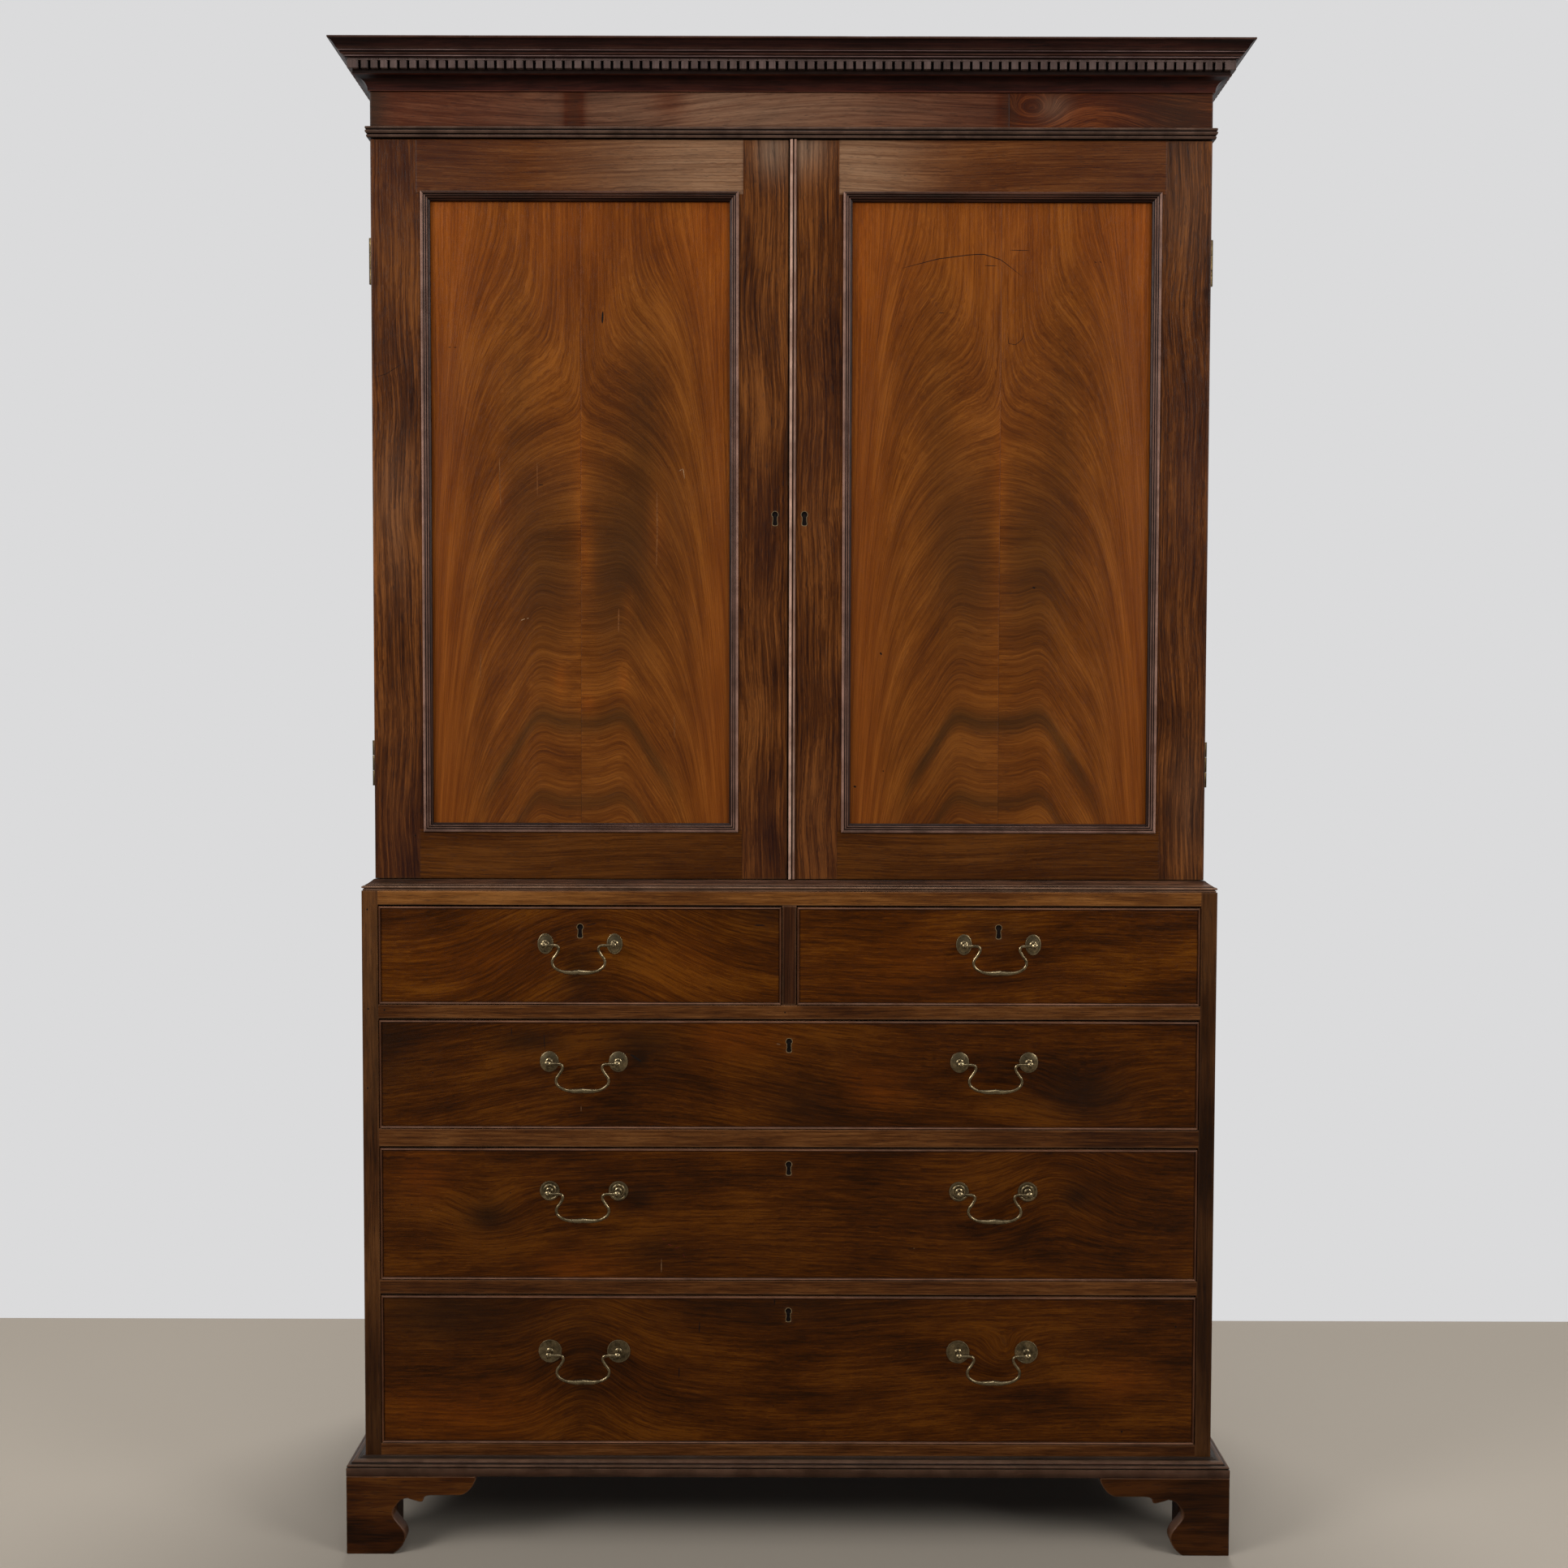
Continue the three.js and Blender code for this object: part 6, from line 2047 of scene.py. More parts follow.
@dataclass(frozen=True)
class LinenTray:
    """A shallow tray whose bottom slides in grooves, and whose sides sweep down to a low front.

    The sweep is four distances from the front: where it leaves the low front's height, where it is
    steepest, where it eases off and where it has come to the full height.
    """

    name: str
    thick: float = 0.010
    bottom: float = 0.009
    tongue_gap: float = 0.0065
    front_height: float = 0.062
    sweep: tuple[float, float, float, float] = (0.05, 0.075, 0.1, 0.15)

    def build(self) -> None:
        """Make the tray's bottom, sides, back and front."""
        x, y, z = spans(self.name)
        floor = (z[0], z[0] + self.bottom)
        fixed(f"{self.name}_bottom", boarded(x, y, floor, 4, Grain.ALONG_Y),
              OAK.running(Grain.ALONG_Y), self.name)
        outer = (x[0] + self.tongue_gap, x[1] - self.tongue_gap)
        low = z[0] + self.front_height
        start, steepest, easing, end = (y[0] + distance for distance in self.sweep)
        sweep = curve([[y[0], low], [start, low, steepest, (low + z[1]) / 2], [easing, z[1], end, z[1]],
                       [y[1], z[1]]], 9)
        outline = np.concatenate([[[y[0], floor[1]]], sweep, [[y[1], floor[1]]]])
        side = cut_out(outline, (outer[0], outer[0] + self.thick), 0, 0.0012)
        other = cut_out(outline, (outer[1] - self.thick, outer[1]), 0, 0.0012, shift=1)
        fixed(f"{self.name}_sides", merge([side, other]), OAK.running(Grain.ALONG_Y), self.name)
        inner = (outer[0] + self.thick, outer[1] - self.thick)
        back = board(inner, (y[1] - self.thick, y[1]), (floor[1], z[1]), shift=2)
        front = board(inner, (y[0], y[0] + self.thick), (floor[1], low), ease=0.002, shift=3)
        fixed(f"{self.name}_ends", merge([back, front]), OAK, self.name)


@dataclass(frozen=True)
class Door:
    """A door: stiles and rails, a book-matched panel, its moulding, the lock and its lining.

    The lap is how far the frame reaches under the moulding, and the joints between stiles and rails lie
    a little outside the moulding.
    """

    name: str
    keyhole: Keyhole
    stains_and_painted_light: tuple[Patch, ...]
    stile_stains_and_painted_light: tuple[tuple[Patch, ...], tuple[Patch, ...]]
    rail_stains_and_painted_light: tuple[Patch, ...] = ()
    lap: float = 0.004
    joint_out: float = 0.006
    joint: float = 0.00012
    seam: float = 0.0001
    moulding_width: float = 0.013
    moulding_rise: float = 0.003
    moulding_back: float = 0.0057
    rebate: float = 0.0043

    def add(self, part: str, shape: Shape, finish: WoodFinish | MetalFinish, node: str = "frame") -> None:
        """Make a piece that rides on the door and stands for its frame, panel or moulding."""
        put(f"{self.name}_{part}", shape, finish, self.name, f"{self.name}_{node}")

    def build(self) -> None:
        """Make the frame, the panel, the moulding and the lock."""
        x, y, z = spans(f"{self.name}_frame")
        ring_x, _, ring_z = spans(f"{self.name}_moulding")
        self.frame(x, y, z, ring_x, ring_z)
        self.panel(ring_x, ring_z)
        shares = curve(PANEL_SHARES, 6) * [self.moulding_width, -self.moulding_rise]
        hidden = [[self.moulding_width, self.moulding_back], [self.rebate, self.moulding_back],
                  [self.rebate, -0.0003]]
        section, crest = eased(np.concatenate([shares, hidden]), 0.0002)
        # Reed crowns are painted pale, as rubbed wear and painted highlight, the outer reed most, and the
        # hollows between them dark, as dark polish and painted shade.
        proud = standing_proud(section[:, 0], -section[:, 1], shares * [1, -1], 0.0011, 0.0004)
        crest = np.where(np.abs(proud) > np.abs(crest), proud, crest)
        inward = np.interp(section[:, 0], [0.003, 0.0055], [1.0, 0.5])
        crest = np.where(crest > 0, crest * inward, crest)
        # The top run keeps little of its pale crests and the bottom run less than the sides: painted
        # light from the sides.
        runs = mitred_frame(section, crest, ring_x, ring_z, y[0], 0.03, rubbed=(0.6, 1.0, 0.15, 1.0))
        self.add("moulding_runs", runs, MOULDING, "moulding")

    def frame(self, x: Span, y: Span, z: Span, ring_x: Span, ring_z: Span) -> None:
        """Two stiles of upright figure with two rails between them, and the lock.

        Args:
            x: The left and right of the door.
            y: Its front and back.
            z: Its bottom and top.
            ring_x: The outer left and right of the panel's moulding.
            ring_z: The outer bottom and top of the panel's moulding.
        """
        inner = (ring_x[0] + self.lap, ring_x[1] - self.lap)
        joints = (ring_x[0] - self.joint_out, ring_x[1] + self.joint_out)
        for k, (side, span) in enumerate((("left", (x[0], inner[0])), ("right", (inner[1], x[1])))):
            middle = (z[0] + z[1]) / 2
            swirls = tuple(Patch(0.5 + 0.4 * math.sin(3 * i + k), 0.08 + 0.14 * i, 0.5, 0.05,
                                 0.006 * math.cos(2.3 * i + k)) for i in range(7))
            figure = BoardFigure(span, z, swirls, self.stile_stains_and_painted_light[k], 0.01, upright=True)
            hole = self.keyhole if span[0] < self.keyhole.x < span[1] else None
            stile = plate(span, y, z, figure, 0.006, 0.0008, hole, middle + k + 0.3 * len(self.name), 0.3)
            self.add(f"{side}_stile", stile, STILE)
        rails = (("top_rail", (ring_z[1] - self.lap, z[1]), TOP_RAIL),
                 ("bottom_rail", (z[0], ring_z[0] + self.lap), BOTTOM_RAIL))
        for label, span, finish in rails:
            stains_and_painted_light = self.rail_stains_and_painted_light if finish is TOP_RAIL else ()
            figure = BoardFigure(joints, span, (Patch(0.3, 0.5, 0.3, 1.5, 0.008),), stains_and_painted_light)
            skin = (joints[0] + self.joint, joints[1] - self.joint)
            up = (span[0] + 0.00005, span[1] - 0.00005)
            veneer = plate(skin, (y[0] - SKIN_PROUD, y[0] + 0.0008), up, figure, 0.006, 0.0001,
                           shift=len(label), rub=-0.7)
            self.add(f"{label}_veneer", veneer, finish)
            core = board((inner[0] + self.joint, inner[1] - self.joint), (y[0] + 0.0007, y[1]), span,
                         ease=0.0008, shift=len(label))
            self.add(label, core, finish.running(Grain.ALONG_X))
        key = self.keyhole
        across, up = key.around(aside=0.014, below=0.04, above=0.03)
        case = board(across, (y[1] - 0.002, y[1]), up, ease=0.0008)
        self.add("lock", case, IRON)
        self.add("keyhole_lining", keyhole_liner(key, y[0]), KEY_BRASS)
        self.add("keyway", keyway(key, y[0]), DARK_MARK)

    def panel(self, ring_x: Span, ring_z: Span) -> None:
        """The panel as two leaves that meet in a fine seam, one the mirror image of the other.

        Args:
            ring_x: The outer left and right of the moulding round it.
            ring_z: The outer bottom and top of the moulding.
        """
        x, y, z = spans(f"{self.name}_panel")
        width = self.moulding_width
        figure = CrotchFigure((ring_x[0] + width, ring_x[1] - width),
                              (ring_z[0] + width, ring_z[1] - width), self.stains_and_painted_light)
        middle = sum(x) / 2
        for side, span in (("left", (x[0], middle - self.seam)), ("right", (middle + self.seam, x[1]))):
            leaf = plate(span, y, z, figure, 0.004, 0.0001, shift=0.4 * len(self.name), rub=0.0)
            self.add(f"panel_{side}_leaf", leaf, PANEL, "panel")


@dataclass(frozen=True)
class MeetingBead:
    """The two reeds beside the meeting of the doors.

    The reeds' crowns are painted pale, as rubbed wear and painted highlight, the left one more than the
    right, and the hollow is painted dark, as dark polish and painted shade.
    """

    wear: float = 0.0005
    rubbed: tuple[float, float] = (1.0, 0.45)
    hollow: float = -0.7
    crown_share: float = 0.72

    def build(self) -> None:
        """Carry the reeds' section up the door, with knocks on their crowns."""
        x, y, z = spans("meeting_bead")
        shares = curve(REED_SHARES, 6)
        section = eased(shares * [x[1] - x[0], y[0] - y[1]] + [x[0], y[1]], 0.0003)[0]
        crown = np.where(section[:, 0] < (x[0] + x[1]) / 2, *self.rubbed)
        risen = (y[1] - section[:, 1]) / (y[1] - y[0])
        crown = np.where(risen > self.crown_share, crown, self.hollow)
        levels = spaced(*z, 0.008)
        knocks = np.random.default_rng(8).random((len(levels), len(section))) ** 7 * self.wear
        depth = section[None, :, 1] + knocks * (crown[None] > 0)
        rings = np.stack([np.broadcast_to(section[None, :, 0], depth.shape), depth,
                          np.broadcast_to(levels[:, None], depth.shape)], axis=-1)
        put("meeting_bead_reeds", loft(rings, np.broadcast_to(crown[None], depth.shape)), BEAD,
            "right_door", "meeting_bead")


@dataclass(frozen=True)
class ButtHinge:
    """A butt hinge: two leaves with slotted screws, three knuckles and a pin."""

    door: str
    level: str
    barrel: float = 0.0036
    leaf_thickness: float = 0.0015
    knuckle_gap: float = 0.0004
    leaf_gap: float = 0.00015
    neck: float = 0.0006
    pin: float = 0.0016
    screw: float = 0.0026
    half_slot: float = 0.0003

    def build(self) -> None:
        """Make the fixed leaf on the case and the turning leaf on the door."""
        left = self.door == "left_door"
        hinge = f"{self.door}_{self.level}_hinge"
        x, y, z = spans(f"{hinge}_case_leaf")
        axis = x[0] + self.barrel if left else x[1] - self.barrel
        inner = x[1] if left else x[0]
        edge = axis + (self.barrel + self.neck) * (1 if left else -1)
        hinge_y = y[0] + self.barrel
        tall = z[1] - z[0]
        length = (tall - 2 * self.knuckle_gap) / 3
        starts = [z[0] + k * (length + self.knuckle_gap) for k in range(3)]
        for part, body, side in (("case_leaf", "carcass", 1), ("door_leaf", self.door, -1)):
            near = hinge_y + side * self.leaf_gap
            leaf_y = tuple(sorted((near, near + side * self.leaf_thickness)))
            shapes = [board(tuple(sorted((inner, edge))), leaf_y, z, Grain.ALONG_Z, 0.0003)]
            for start in starts[::2] if part == "case_leaf" else starts[1:2]:
                shapes.append(board(tuple(sorted((edge, axis))), leaf_y, (start, start + length),
                                    Grain.ALONG_Z, 0.0002))
                shapes.append(turned([[0, 0], [self.barrel, 0], [self.barrel, length], [0, length]],
                                     (axis, hinge_y, start), 0.0003, 20, upright=True))
            if part == "case_leaf":
                shapes.append(turned([[0, 0], [self.pin, 0], [self.pin, tall], [0, tall]],
                                     (axis, hinge_y, z[0]), 0.0002, 16, upright=True))
            shapes += self.screws((inner + edge) / 2, near, side, z)
            put(f"{hinge}_{part}_plate", merge(shapes), HINGE_BRASS, body, f"{hinge}_{part}")

    def screws(self, x: float, y: float, side: int, z: Span) -> list[Shape]:
        """Three screw heads, each as two half discs with its slot between them.

        Args:
            x: Their middle.
            y: The face that they are let into.
            side: One where they are let in backwards, minus one forwards.
            z: The bottom and top of the leaf.

        Returns:
            The half discs.
        """
        turn = np.linspace(0, math.pi, 9)
        half_disc = np.stack([np.cos(turn), np.sin(turn)], axis=1) * self.screw
        half_disc[:, 1] += self.half_slot
        depth = tuple(sorted((y - side * 0.00008, y + side * 0.0006)))
        shapes = []
        for share in (0.16, 0.5, 0.84):
            for flip in (1, -1):
                outline = half_disc * flip + [x, z[0] + share * (z[1] - z[0])]
                shapes.append(cut_out(outline, depth, 1, 0.00006))
        return shapes


# Marks of age

@dataclass(frozen=True)
class Marks:
    """Fine marks on one face.

    Each line is its width in millimetres, then x and z of one point after another, as shares of the
    width and height of a node.
    """

    name: str
    body: str
    node: str
    finish: WoodFinish
    lines: tuple[tuple[float, ...], ...]
    thinnest: float = 0.00004
    proud: float = 0.00005
    deep: float = 0.0004

    def build(self, face: float) -> None:
        """Make each mark as a flat lens along its line, thin at its ends.

        At a share s of its length the half width is w (1 - (2s-1)^4) / 2. A mark of one point is a dot
        that is nearly as long as it is wide.

        Args:
            face: The y of the face that the marks are on.
        """
        x, _, z = spans(self.node)
        shapes = []
        for width, *points in self.lines:
            path = np.array(points).reshape(-1, 2) * [x[1] - x[0], z[1] - z[0]] + [x[0], z[0]]
            if len(path) == 1:
                path = path + np.array([[-0.45, 0], [0.45, 0]]) * width / 1000
            s = np.linspace(0, 1, max(7, 4 * len(path)))
            line = resampled(path, s)
            half = np.maximum(width / 2000 * (1 - (2 * s - 1) ** 4), self.thinnest)[:, None]
            near, far = line - sideways(line) * half, line + sideways(line) * half
            rings = np.stack([np.insert(edge, 1, face + back, axis=1) for edge, back in (
                (near, -self.proud), (far, -self.proud), (far, self.deep), (near, self.deep))], axis=1)
            shapes.append(loft(rings))
        put(self.name, merge(shapes), self.finish, self.body)


# The room

@dataclass(frozen=True)
class Studio:
    """A pale floor and backdrop, plain soft lamps and the camera.

    A lamp is its name, its place, its width in metres and its power in watts.
    """

    lens: float = 39.13
    eye: tuple[float, float, float] = (-0.008, -2.6445, 1.183)
    pitch: float = 2.3
    roll: float = 0.14
    world: float = 0.13
    wall: float = 0.65
    pale: Tint = (219, 219, 220)
    floor: Tint = (122, 114, 103)
    far_floor: Tint = (162, 153, 141)
    lit: tuple[float, float, float] = (0.0, 0.0, 1.05)
    lamps: tuple[tuple[str, tuple[float, float, float], float, float], ...] = (
        ("key_lamp", (-3.5, -2.6, 2.9), 2.0, 185.0), ("fill_lamp", (3.5, -2.7, 2.7), 2.0, 150.0),
        ("top_lamp", (0.0, -1.9, 5.0), 1.8, 60.0), ("rear_lamp", (0.3, 2.4, 6.5), 2.6, 520.0))

    def build(self) -> None:
        """Make the room, the lamps and the camera."""
        self.camera()
        self.room()
        for name, place, size, power in self.lamps:
            light = bpy.data.lights.new(name, "AREA")
            light.shape = "DISK"
            light.size = size
            light.energy = power
            lamp = stood(name, light)
            lamp.location = place
            way = Vector(self.lit) - Vector(place)
            lamp.rotation_euler = way.to_track_quat("-Z", "Y").to_euler()
            lamp.visible_camera = False
        bpy.context.scene.view_settings.view_transform = "Standard"

    def camera(self) -> None:
        """Place the camera at the photograph's height, distance, pitch and roll."""
        data = bpy.data.cameras.new("photo_camera")
        data.lens = self.lens
        data.sensor_width = 36.0
        camera = stood("photo_camera", data)
        turn = Matrix.Rotation(math.radians(90 - self.pitch), 4, "X")
        camera.matrix_world = Matrix.Translation(self.eye) @ turn @ Matrix.Rotation(
            math.radians(self.roll), 4, "Z")
        bpy.context.scene.camera = camera

    def room(self) -> None:
        """The floor, the wall behind the press, and the world's plain light."""
        wide, wall, tall = 9.0, self.wall, 7.0
        floor = [[-wide, -wide, 0], [wide, -wide, 0], [wide, wide, 0], [-wide, wide, 0]]
        self.sheet("studio_floor", floor, self.floor_material())
        standing = [[-wide, wall, 0], [wide, wall, 0], [wide, wall, tall], [-wide, wall, tall]]
        self.sheet("studio_wall", standing, self.wall_material())
        world = bpy.data.worlds.new("plain_room")
        world.use_nodes = True
        world.node_tree.nodes.clear()
        sheet = NodeSheet(world.node_tree)
        plain = sheet.node("ShaderNodeBackground",
                           {"Color": (1.0, 0.99, 0.98, 1.0), "Strength": self.world})
        pale = sheet.node("ShaderNodeBackground", {"Color": linear(self.pale), "Strength": 1.0})
        camera = sheet.node("ShaderNodeLightPath").outputs["Is Camera Ray"]
        both = sheet.node("ShaderNodeMixShader", {0: camera, 1: plain.outputs[0], 2: pale.outputs[0]})
        sheet.node("ShaderNodeOutputWorld", {"Surface": both.outputs[0]})
        bpy.context.scene.world = world

    def seen(self, sheet: NodeSheet) -> bpy.types.NodeSocket:
        """Find the rays that show the background: camera, glossy and transmission rays.

        Args:
            sheet: The sheet of the material.

        Returns:
            One for those rays.
        """
        path = sheet.node("ShaderNodeLightPath").outputs
        first = sheet.plus(path["Is Camera Ray"], path["Is Glossy Ray"])
        return sheet.plus(first, path["Is Transmission Ray"], clamp=True)

    def sheet(self, name: str, corners: list[list[float]], material: bpy.types.Material) -> None:
        """Make a flat sheet of the room that isn't part of the press.

        Args:
            name: Its name.
            corners: Its four corners.
            material: What it is made of.
        """
        mesh = bpy.data.meshes.new(name)
        mesh.from_pydata(corners, [], [[0, 1, 2, 3]])
        mesh.materials.append(material)
        stood(name, mesh)

    def floor_material(self) -> bpy.types.Material:
        """A plain matt floor that fades to an even tone well away from the press.

        Returns:
            The material.
        """
        material, sheet, shader = fresh_material("studio_floor")
        place = sheet.place()
        paler = tuple(t + 5 for t in self.floor)
        tone = sheet.mix(sheet.noise(place, 0.7), linear(self.floor), linear(paler))
        sheet.join(tone, shader, "Base Color")
        shader.inputs["Roughness"].default_value = 0.8
        away = sheet.node("ShaderNodeVectorMath", {0: place}, operation="LENGTH").outputs["Value"]
        camera = sheet.node("ShaderNodeLightPath").outputs["Is Camera Ray"]
        share = sheet.times(sheet.spread(away, 1.9, 4.5), camera)
        even = sheet.node("ShaderNodeEmission", {"Color": linear(self.far_floor)}).outputs[0]
        both = sheet.node("ShaderNodeMixShader", {0: share, 1: shader.outputs[0], 2: even}).outputs[0]
        return self.surfaced(material, both)

    def wall_material(self) -> bpy.types.Material:
        """A pale wall that is seen from the front alone, and lets every other ray through.

        Returns:
            The material.
        """
        material, sheet, shader = fresh_material("studio_wall")
        sheet.tree.nodes.remove(shader)
        front = sheet.math("SUBTRACT", 1.0, sheet.node("ShaderNodeNewGeometry").outputs["Backfacing"])
        share = sheet.times(self.seen(sheet), front)
        clear = sheet.node("ShaderNodeBsdfTransparent").outputs[0]
        glow = sheet.node("ShaderNodeEmission", {"Color": linear(self.pale)}).outputs[0]
        both = sheet.node("ShaderNodeMixShader", {0: share, 1: clear, 2: glow}).outputs[0]
        return self.surfaced(material, both)

    def surfaced(self, material: bpy.types.Material, surface: bpy.types.NodeSocket) -> bpy.types.Material:
        """Join a shader to a material's output.

        Args:
            material: The material.
            surface: The shader.

        Returns:
            The material.
        """
        out = next(n for n in material.node_tree.nodes if n.type == "OUTPUT_MATERIAL")
        material.node_tree.links.new(surface, out.inputs["Surface"])
        return material


# The drawers, the doors and their marks. Two handles stand this share of half the chest from its middle

BAIL_PLACE = 0.481

DRAWERS = (
    Drawer("top_left_drawer", TOP_FRONT, Rosette.OVAL, handle_drop=0.052, key_drop=0.0285, tails=3,
           swirls=(Patch(0.54, 0.5, 0.26, 2.0, -0.09), Patch(0.2, 0.2, 0.2, 0.5, 0.012)),
           stains_and_painted_light=(Patch(0.5, 0.3, 0.05, 0.35, -0.7), Patch(1.0, 1.0, 0.15, 0.3, -0.6),
                   Patch(0.25, 0.45, 0.2, 0.3, 0.35), Patch(0.76, 0.4, 0.12, 0.35, 0.35))),
    Drawer("top_right_drawer", TOP_FRONT, Rosette.OVAL, handle_drop=0.052, key_drop=0.0285, tails=3,
           swirls=(Patch(0.3, 0.5, 0.2, 0.8, 0.008), Patch(0.7, 0.4, 0.15, 0.6, -0.008)),
           stains_and_painted_light=(Patch(0.5, 0.75, 0.08, 0.2, -0.5), Patch(0.3, 0.4, 0.2, 0.4, 0.3))),
    Drawer("second_drawer", FRONT, Rosette.DOMED, handle_drop=0.058, key_drop=0.029, tails=3,
           swirls=(Patch(0.3, 0.5, 0.22, 2.0, -0.06), Patch(0.865, 0.33, 0.06, 0.3, 0.03)),
           stains_and_painted_light=(Patch(0.18, 0.83, 0.045, 0.12, -0.9), Patch(0.32, 0.8, 0.05, 0.2, -0.9),
                   Patch(0.317, 0.65, 0.008, 0.06, -1.0), Patch(0.43, 0.85, 0.06, 0.2, 0.6),
                   Patch(0.0, 0.8, 0.05, 0.5, -0.8), Patch(0.52, 0.2, 0.04, 0.25, -0.6),
                   Patch(0.606, 0.39, 0.04, 0.2, 0.55), Patch(0.865, 0.33, 0.05, 0.22, -0.95))),
    Drawer("third_drawer", FRONT, Rosette.RINGED, handle_drop=0.060, key_drop=0.022, tails=4,
           swirls=(Patch(0.13, 0.48, 0.05, 0.22, 0.03), Patch(0.83, 0.8, 0.07, 0.5, -0.05),
                   Patch(0.45, 0.4, 0.25, 1.0, -0.02)),
           stains_and_painted_light=(Patch(0.05, 0.8, 0.035, 0.2, 0.55), Patch(0.13, 0.48, 0.03, 0.12, -1.0),
                   Patch(0.34, 0.22, 0.035, 0.12, -0.5), Patch(0.24, 0.08, 0.05, 0.12, 0.6),
                   Patch(0.317, 0.64, 0.018, 0.09, -0.9), Patch(0.855, 0.65, 0.02, 0.1, -0.9))),
    Drawer("bottom_drawer", FRONT, Rosette.PLAIN, handle_drop=0.079, key_drop=0.021, tails=4,
           swirls=(Patch(0.25, 0.5, 0.06, 0.6, -0.05), Patch(0.767, 0.6, 0.03, 0.15, 0.035),
                   Patch(0.5, 0.4, 0.2, 1.0, 0.02)),
           stains_and_painted_light=(Patch(0.08, 0.9, 0.12, 0.25, -0.9), Patch(0.5, 0.95, 0.15, 0.15, -0.6),
                   Patch(0.1, 0.2, 0.1, 0.2, 0.6), Patch(0.25, 0.5, 0.03, 0.3, -0.5),
                   Patch(0.91, 0.43, 0.04, 0.12, 0.6))),
)

# The bright patches at the tops of the meeting stiles and on the top rails beside the meeting are painted
# sheen.
DOORS = (
    Door("left_door", Keyhole(-0.0215, 1.4637),
         (Patch(0.5, 0.55, 0.35, 0.25, -0.35), Patch(-0.55, 0.53, 0.045, 0.03, 0.35),
          Patch(0.045, 0.43, 0.05, 0.05, 0.5), Patch(0.515, 0.475, 0.06, 0.06, 0.5),
          Patch(0.045, 0.19, 0.06, 0.02, 0.5), Patch(-0.14, 0.235, 0.045, 0.03, 0.45),
          Patch(0.285, 0.235, 0.045, 0.03, 0.45), Patch(0.32, 0.35, 0.04, 0.03, 0.35)),
         ((Patch(0.5, 0.96, 0.7, 0.14, -0.6), Patch(0.5, 0.04, 0.6, 0.12, -0.5),
           Patch(0.4, 0.5, 0.4, 0.1, 0.15)),
          (Patch(0.75, 0.99, 0.4, 0.035, 0.7), Patch(0.5, 0.5, 0.3, 0.12, -0.3),
           Patch(0.5, 0.04, 0.6, 0.12, -0.35))),
         (Patch(0.06, 0.5, 0.2, 2.0, -0.4), Patch(0.92, 0.5, 0.34, 2.0, 0.8))),
    Door("right_door", Keyhole(0.0196, 1.4637), (Patch(-0.4, 0.1, 0.3, 0.1, -0.2),),
         ((Patch(0.25, 0.99, 0.4, 0.035, 0.7), Patch(0.5, 0.6, 0.35, 0.15, -0.3),
           Patch(0.5, 0.06, 0.6, 0.12, -0.35)),
          (Patch(0.5, 0.94, 0.6, 0.12, 0.12), Patch(0.6, 0.55, 0.3, 0.12, -0.6),
           Patch(0.7, 0.1, 0.4, 0.1, 0.12))),
         (Patch(0.04, 0.6, 0.2, 2.0, 0.8), Patch(0.9, 0.5, 0.2, 2.0, -0.15))),
)

PANEL_MARKS = (
    Marks("left_panel_cracks", "left_door", "left_door_moulding", DARK_MARK, (
        (2.6, 0.571, 0.817, 0.569, 0.797), (0.9, 0.083, 0.76, 0.092, 0.76),
        (0.9, 0.1, 0.76, 0.11, 0.76), (1.0, 0.366, 0.5465, 0.382, 0.546))),
    Marks("left_panel_scratches", "left_door", "left_door_moulding", PALE_MARK, (
        (0.8, 0.31, 0.334, 0.322, 0.3365), (0.6, 0.328, 0.337, 0.334, 0.3375),
        (0.8, 0.81, 0.568, 0.824, 0.572, 0.829, 0.556))),
    Marks("left_panel_smears", "left_door", "left_door_moulding", SMEAR, (
        (1.8, 0.243, 0.589, 0.244, 0.55, 0.247, 0.508), (1.6, 0.362, 0.583, 0.363, 0.528),
        (2.2, 0.741, 0.539, 0.742, 0.47, 0.739, 0.412), (2.0, 0.62, 0.354, 0.619, 0.314),
        (1.6, 0.181, 0.286, 0.18, 0.24), (1.6, 0.796, 0.187, 0.797, 0.147))),
    Marks("right_panel_cracks", "right_door", "right_door_moulding", DARK_MARK, (
        (1.1, 0.181, 0.8835, 0.299, 0.8987, 0.396, 0.905, 0.442, 0.9063, 0.498, 0.8974, 0.567, 0.871),
        (0.8, 0.524, 0.9126, 0.588, 0.912), (0.8, 0.445, 0.8886, 0.4855, 0.888),
        (0.7, 0.52, 0.785, 0.523, 0.768, 0.545, 0.766, 0.565, 0.774, 0.574, 0.786),
        (0.8, 0.302, 0.8153, 0.32, 0.815), (0.9, 0.792, 0.895, 0.798, 0.893),
        (0.9, 0.808, 0.896, 0.813, 0.893), (1.4, 0.184, 0.795), (1.2, 0.22, 0.79),
        (2.4, 0.122, 0.285, 0.128, 0.281), (2.2, 0.605, 0.388, 0.614, 0.386), (2.0, 0.134, 0.0977),
        (2.6, 0.04, 0.074, 0.048, 0.072))),
)
DOOR_MARKS = (
    Marks("left_door_nail_holes", "left_door", "left_door_frame", DARK_MARK, (
        (2.2, 0.0977, 0.0587), (0.7, 0.006, 0.681, 0.035, 0.686, 0.074, 0.7))),
)
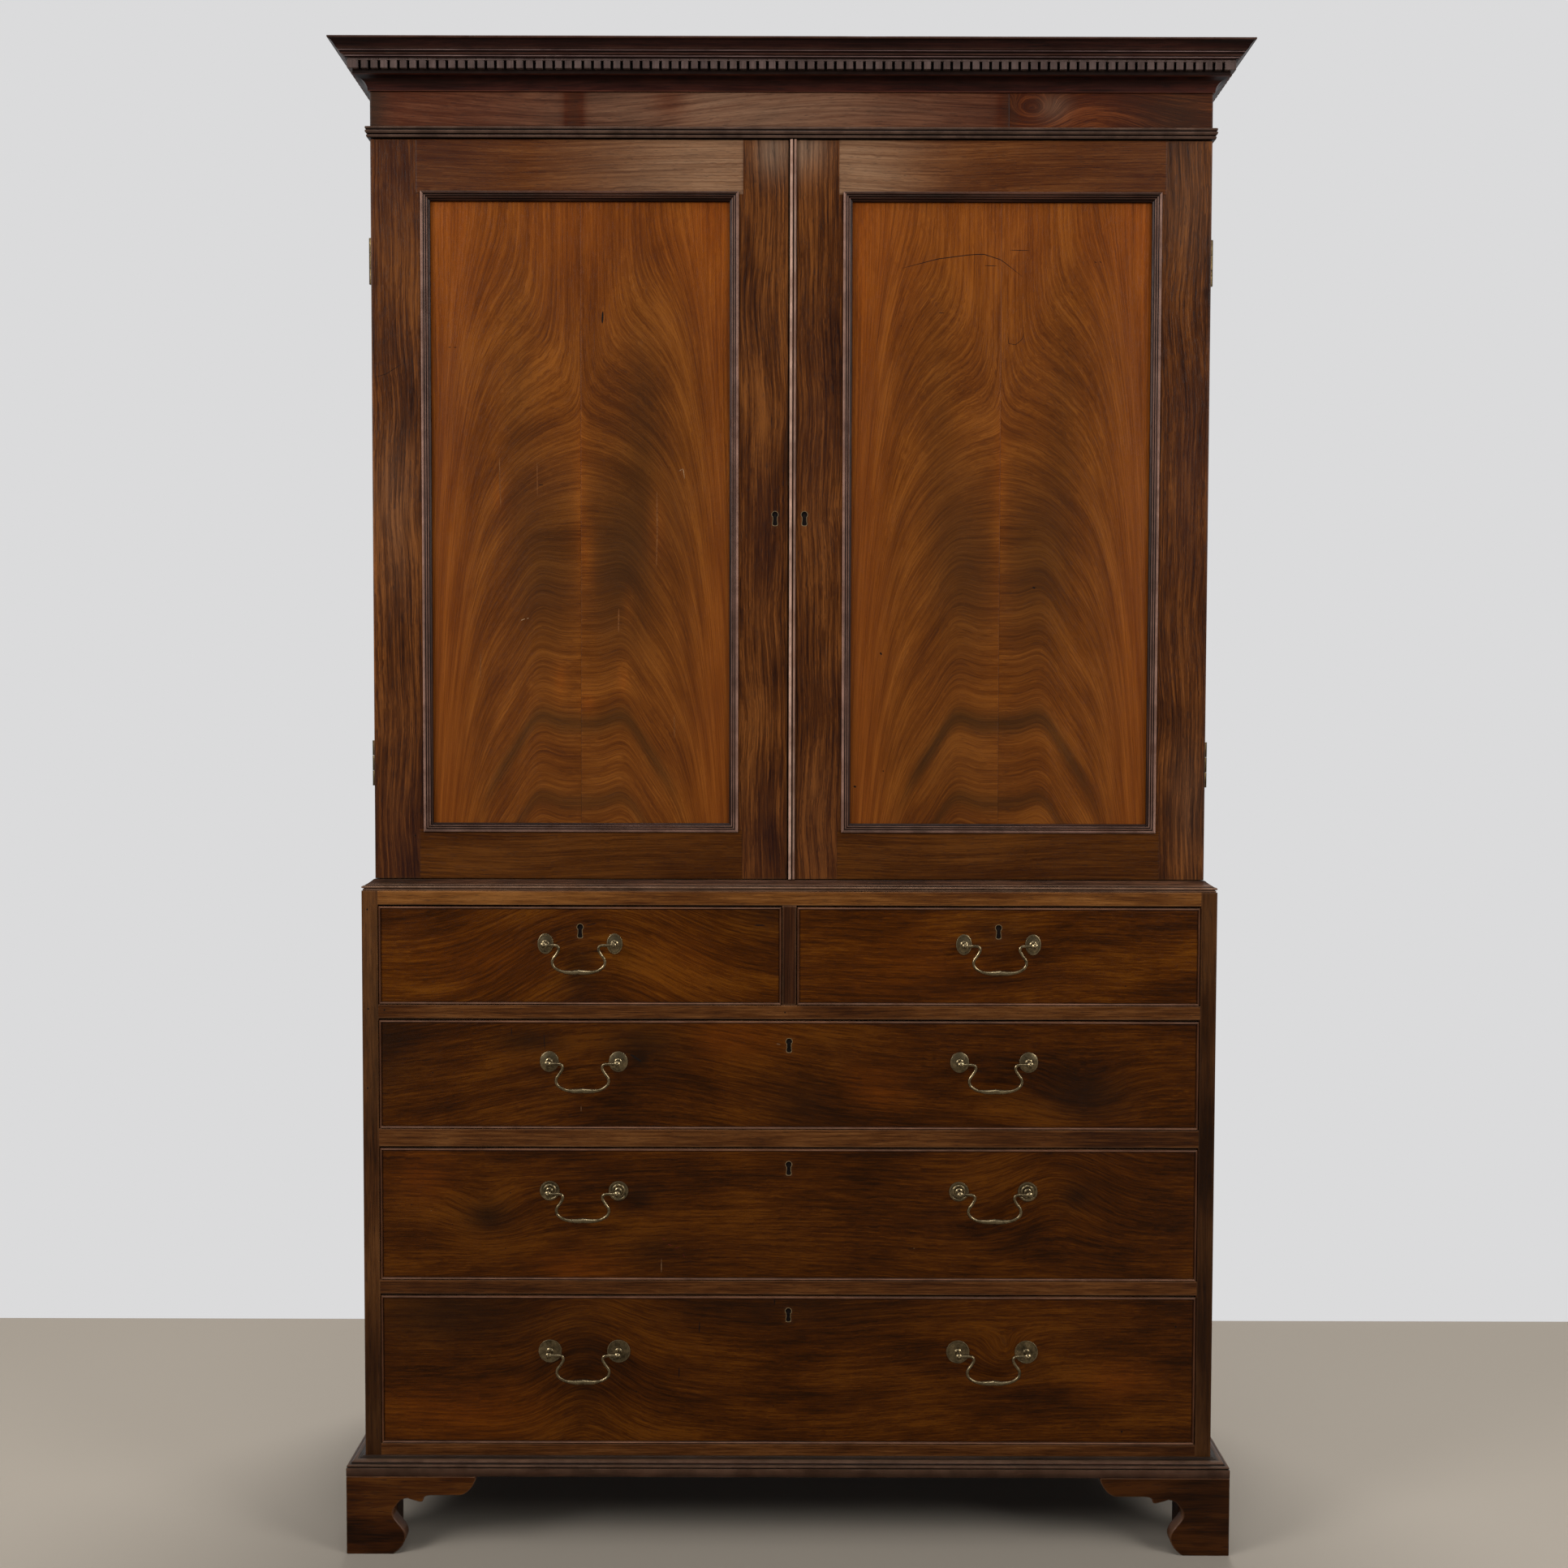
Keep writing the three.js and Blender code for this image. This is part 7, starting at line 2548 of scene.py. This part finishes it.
CHEST_MARKS = (
    Marks("top_left_drawer_marks", "top_left_drawer", "top_left_drawer_front", DARK_MARK, (
        (1.6, 0.932, 0.8156, 0.96, 0.815), (1.2, 0.515, 0.81, 0.54, 0.83))),
    Marks("top_right_drawer_marks", "top_right_drawer", "top_right_drawer_front", DARK_MARK, (
        (1.4, 0.754, 0.332), (1.8, 0.8164, 0.198), (1.2, 0.302, 0.106))),
    Marks("second_drawer_marks", "second_drawer", "second_drawer_front", DARK_MARK, (
        (0.9, 0.2006, 0.8815, 0.202, 0.731), (0.9, 0.161, 0.934, 0.1615, 0.859), (1.8, 0.065, 0.514),
        (1.4, 0.0907, 0.514), (1.2, 0.728, 0.54, 0.736, 0.541),
        (2.6, 0.306, 0.69, 0.314, 0.65, 0.32, 0.62))),
    Marks("second_drawer_scratches", "second_drawer", "second_drawer_front", DIM_MARK, (
        (0.9, 0.246, 0.206, 0.246, 0.154), (1.4, 0.4845, 0.79, 0.4895, 0.782))),
    Marks("third_drawer_marks", "third_drawer", "third_drawer_front", DARK_MARK, (
        (1.8, 0.159, 0.661), (1.6, 0.038, 0.568), (1.6, 0.0878, 0.4185), (1.4, 0.055, 0.3),
        (1.6, 0.153, 0.238))),
    Marks("third_drawer_red_ticks", "third_drawer", "third_drawer_front", RED_MARK, (
        (1.2, 0.345, 0.32, 0.349, 0.3), (1.2, 0.352, 0.27, 0.357, 0.26), (1.0, 0.36, 0.24, 0.366, 0.25),
        (1.0, 0.37, 0.2, 0.373, 0.17))),
    Marks("third_drawer_scratches", "third_drawer", "third_drawer_front", DIM_MARK, (
        (0.9, 0.344, 0.164, 0.344, 0.052), (1.4, 0.654, 0.244), (1.2, 0.062, 0.524))),
    Marks("bottom_drawer_marks", "bottom_drawer", "bottom_drawer_front", DARK_MARK, (
        (1.2, 0.366, 0.521, 0.3655, 0.4435), (1.2, 0.391, 0.829, 0.3905, 0.752),
        (1.4, 0.483, 0.989, 0.483, 0.94), (1.6, 0.313, 0.35), (1.6, 0.482, 0.256),
        (1.4, 0.2487, 0.4656), (2.6, 0.976, 0.8), (3.0, 0.911, 0.085))),
    Marks("chest_side_nail_holes", "carcass", "chest_side_left", DARK_MARK, (
        (2.6, 0.35, 0.968), (2.4, 0.38, 0.798), (2.4, 0.3, 0.662))),
    Marks("rail_nail_holes", "carcass", "drawer_shelf_3", DARK_MARK, (
        (2.8, 0.012, 0.6), (2.4, 0.495, 0.5))),
)


def main() -> None:
    """Build the press from the floor up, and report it."""
    logging.basicConfig(level=logging.INFO, format="%(name)s: %(message)s")
    Studio().build()
    front = spans("chest_side_left")[1][0]
    half = spans("chest_side_right")[0][1]
    back = spans("chest_back")[1][1]
    press_half = spans("right_door_frame")[0][1]
    press_front, door_back = spans("right_door_frame")[1]
    chest = CaseFace(half, front, back)
    press = CaseFace(press_half, press_front, back)
    behind_doors = CaseFace(press_half, press_front, back, door_back - press_front + 0.001)
    BracketFeet().build()
    CaseMoulding("base_moulding", BASE_SHARES, BASE, 0.0003, 0.0217, wear=0.0008).build(chest)
    ChestCase().build()
    for drawer in DRAWERS:
        middle = sum(spans(f"{drawer.name}_front")[0]) / 2
        bails = {f"{drawer.name}_{side}_bail": s * half * BAIL_PLACE
                 for side, s in (("left", -1), ("right", 1))}
        if drawer.name.startswith("top"):
            bails = {f"{drawer.name}_bail": middle}
        drawer.build(front, bails)
    PressCase().build()
    for k in range(4):
        LinenTray(f"linen_tray_{k + 1}").build()
    CaseMoulding("waist_moulding", WAIST_SHARES, WAIST, 0.0, 0.016, wear=0.0006).build(behind_doors)
    CaseMoulding("neck_moulding", NECK_SHARES, NECK, 0.0, 0.006).build(behind_doors)
    for door in DOORS:
        door.build()
        for level in ("lower", "upper"):
            ButtHinge(door.name, level).build()
    MeetingBead().build()
    Cornice().build(press)
    for marks, face in ((PANEL_MARKS, spans("left_door_panel")[1][0]), (DOOR_MARKS, press_front),
                        (CHEST_MARKS, front)):
        for mark in marks:
            mark.build(face)


def sizes(bounds: Iterable[Iterable[float]]) -> list[list[float]]:
    """A box as plain lists of numbers."""
    return [[float(v) for v in corner] for corner in bounds]


if __name__ == "__main__":
    main()
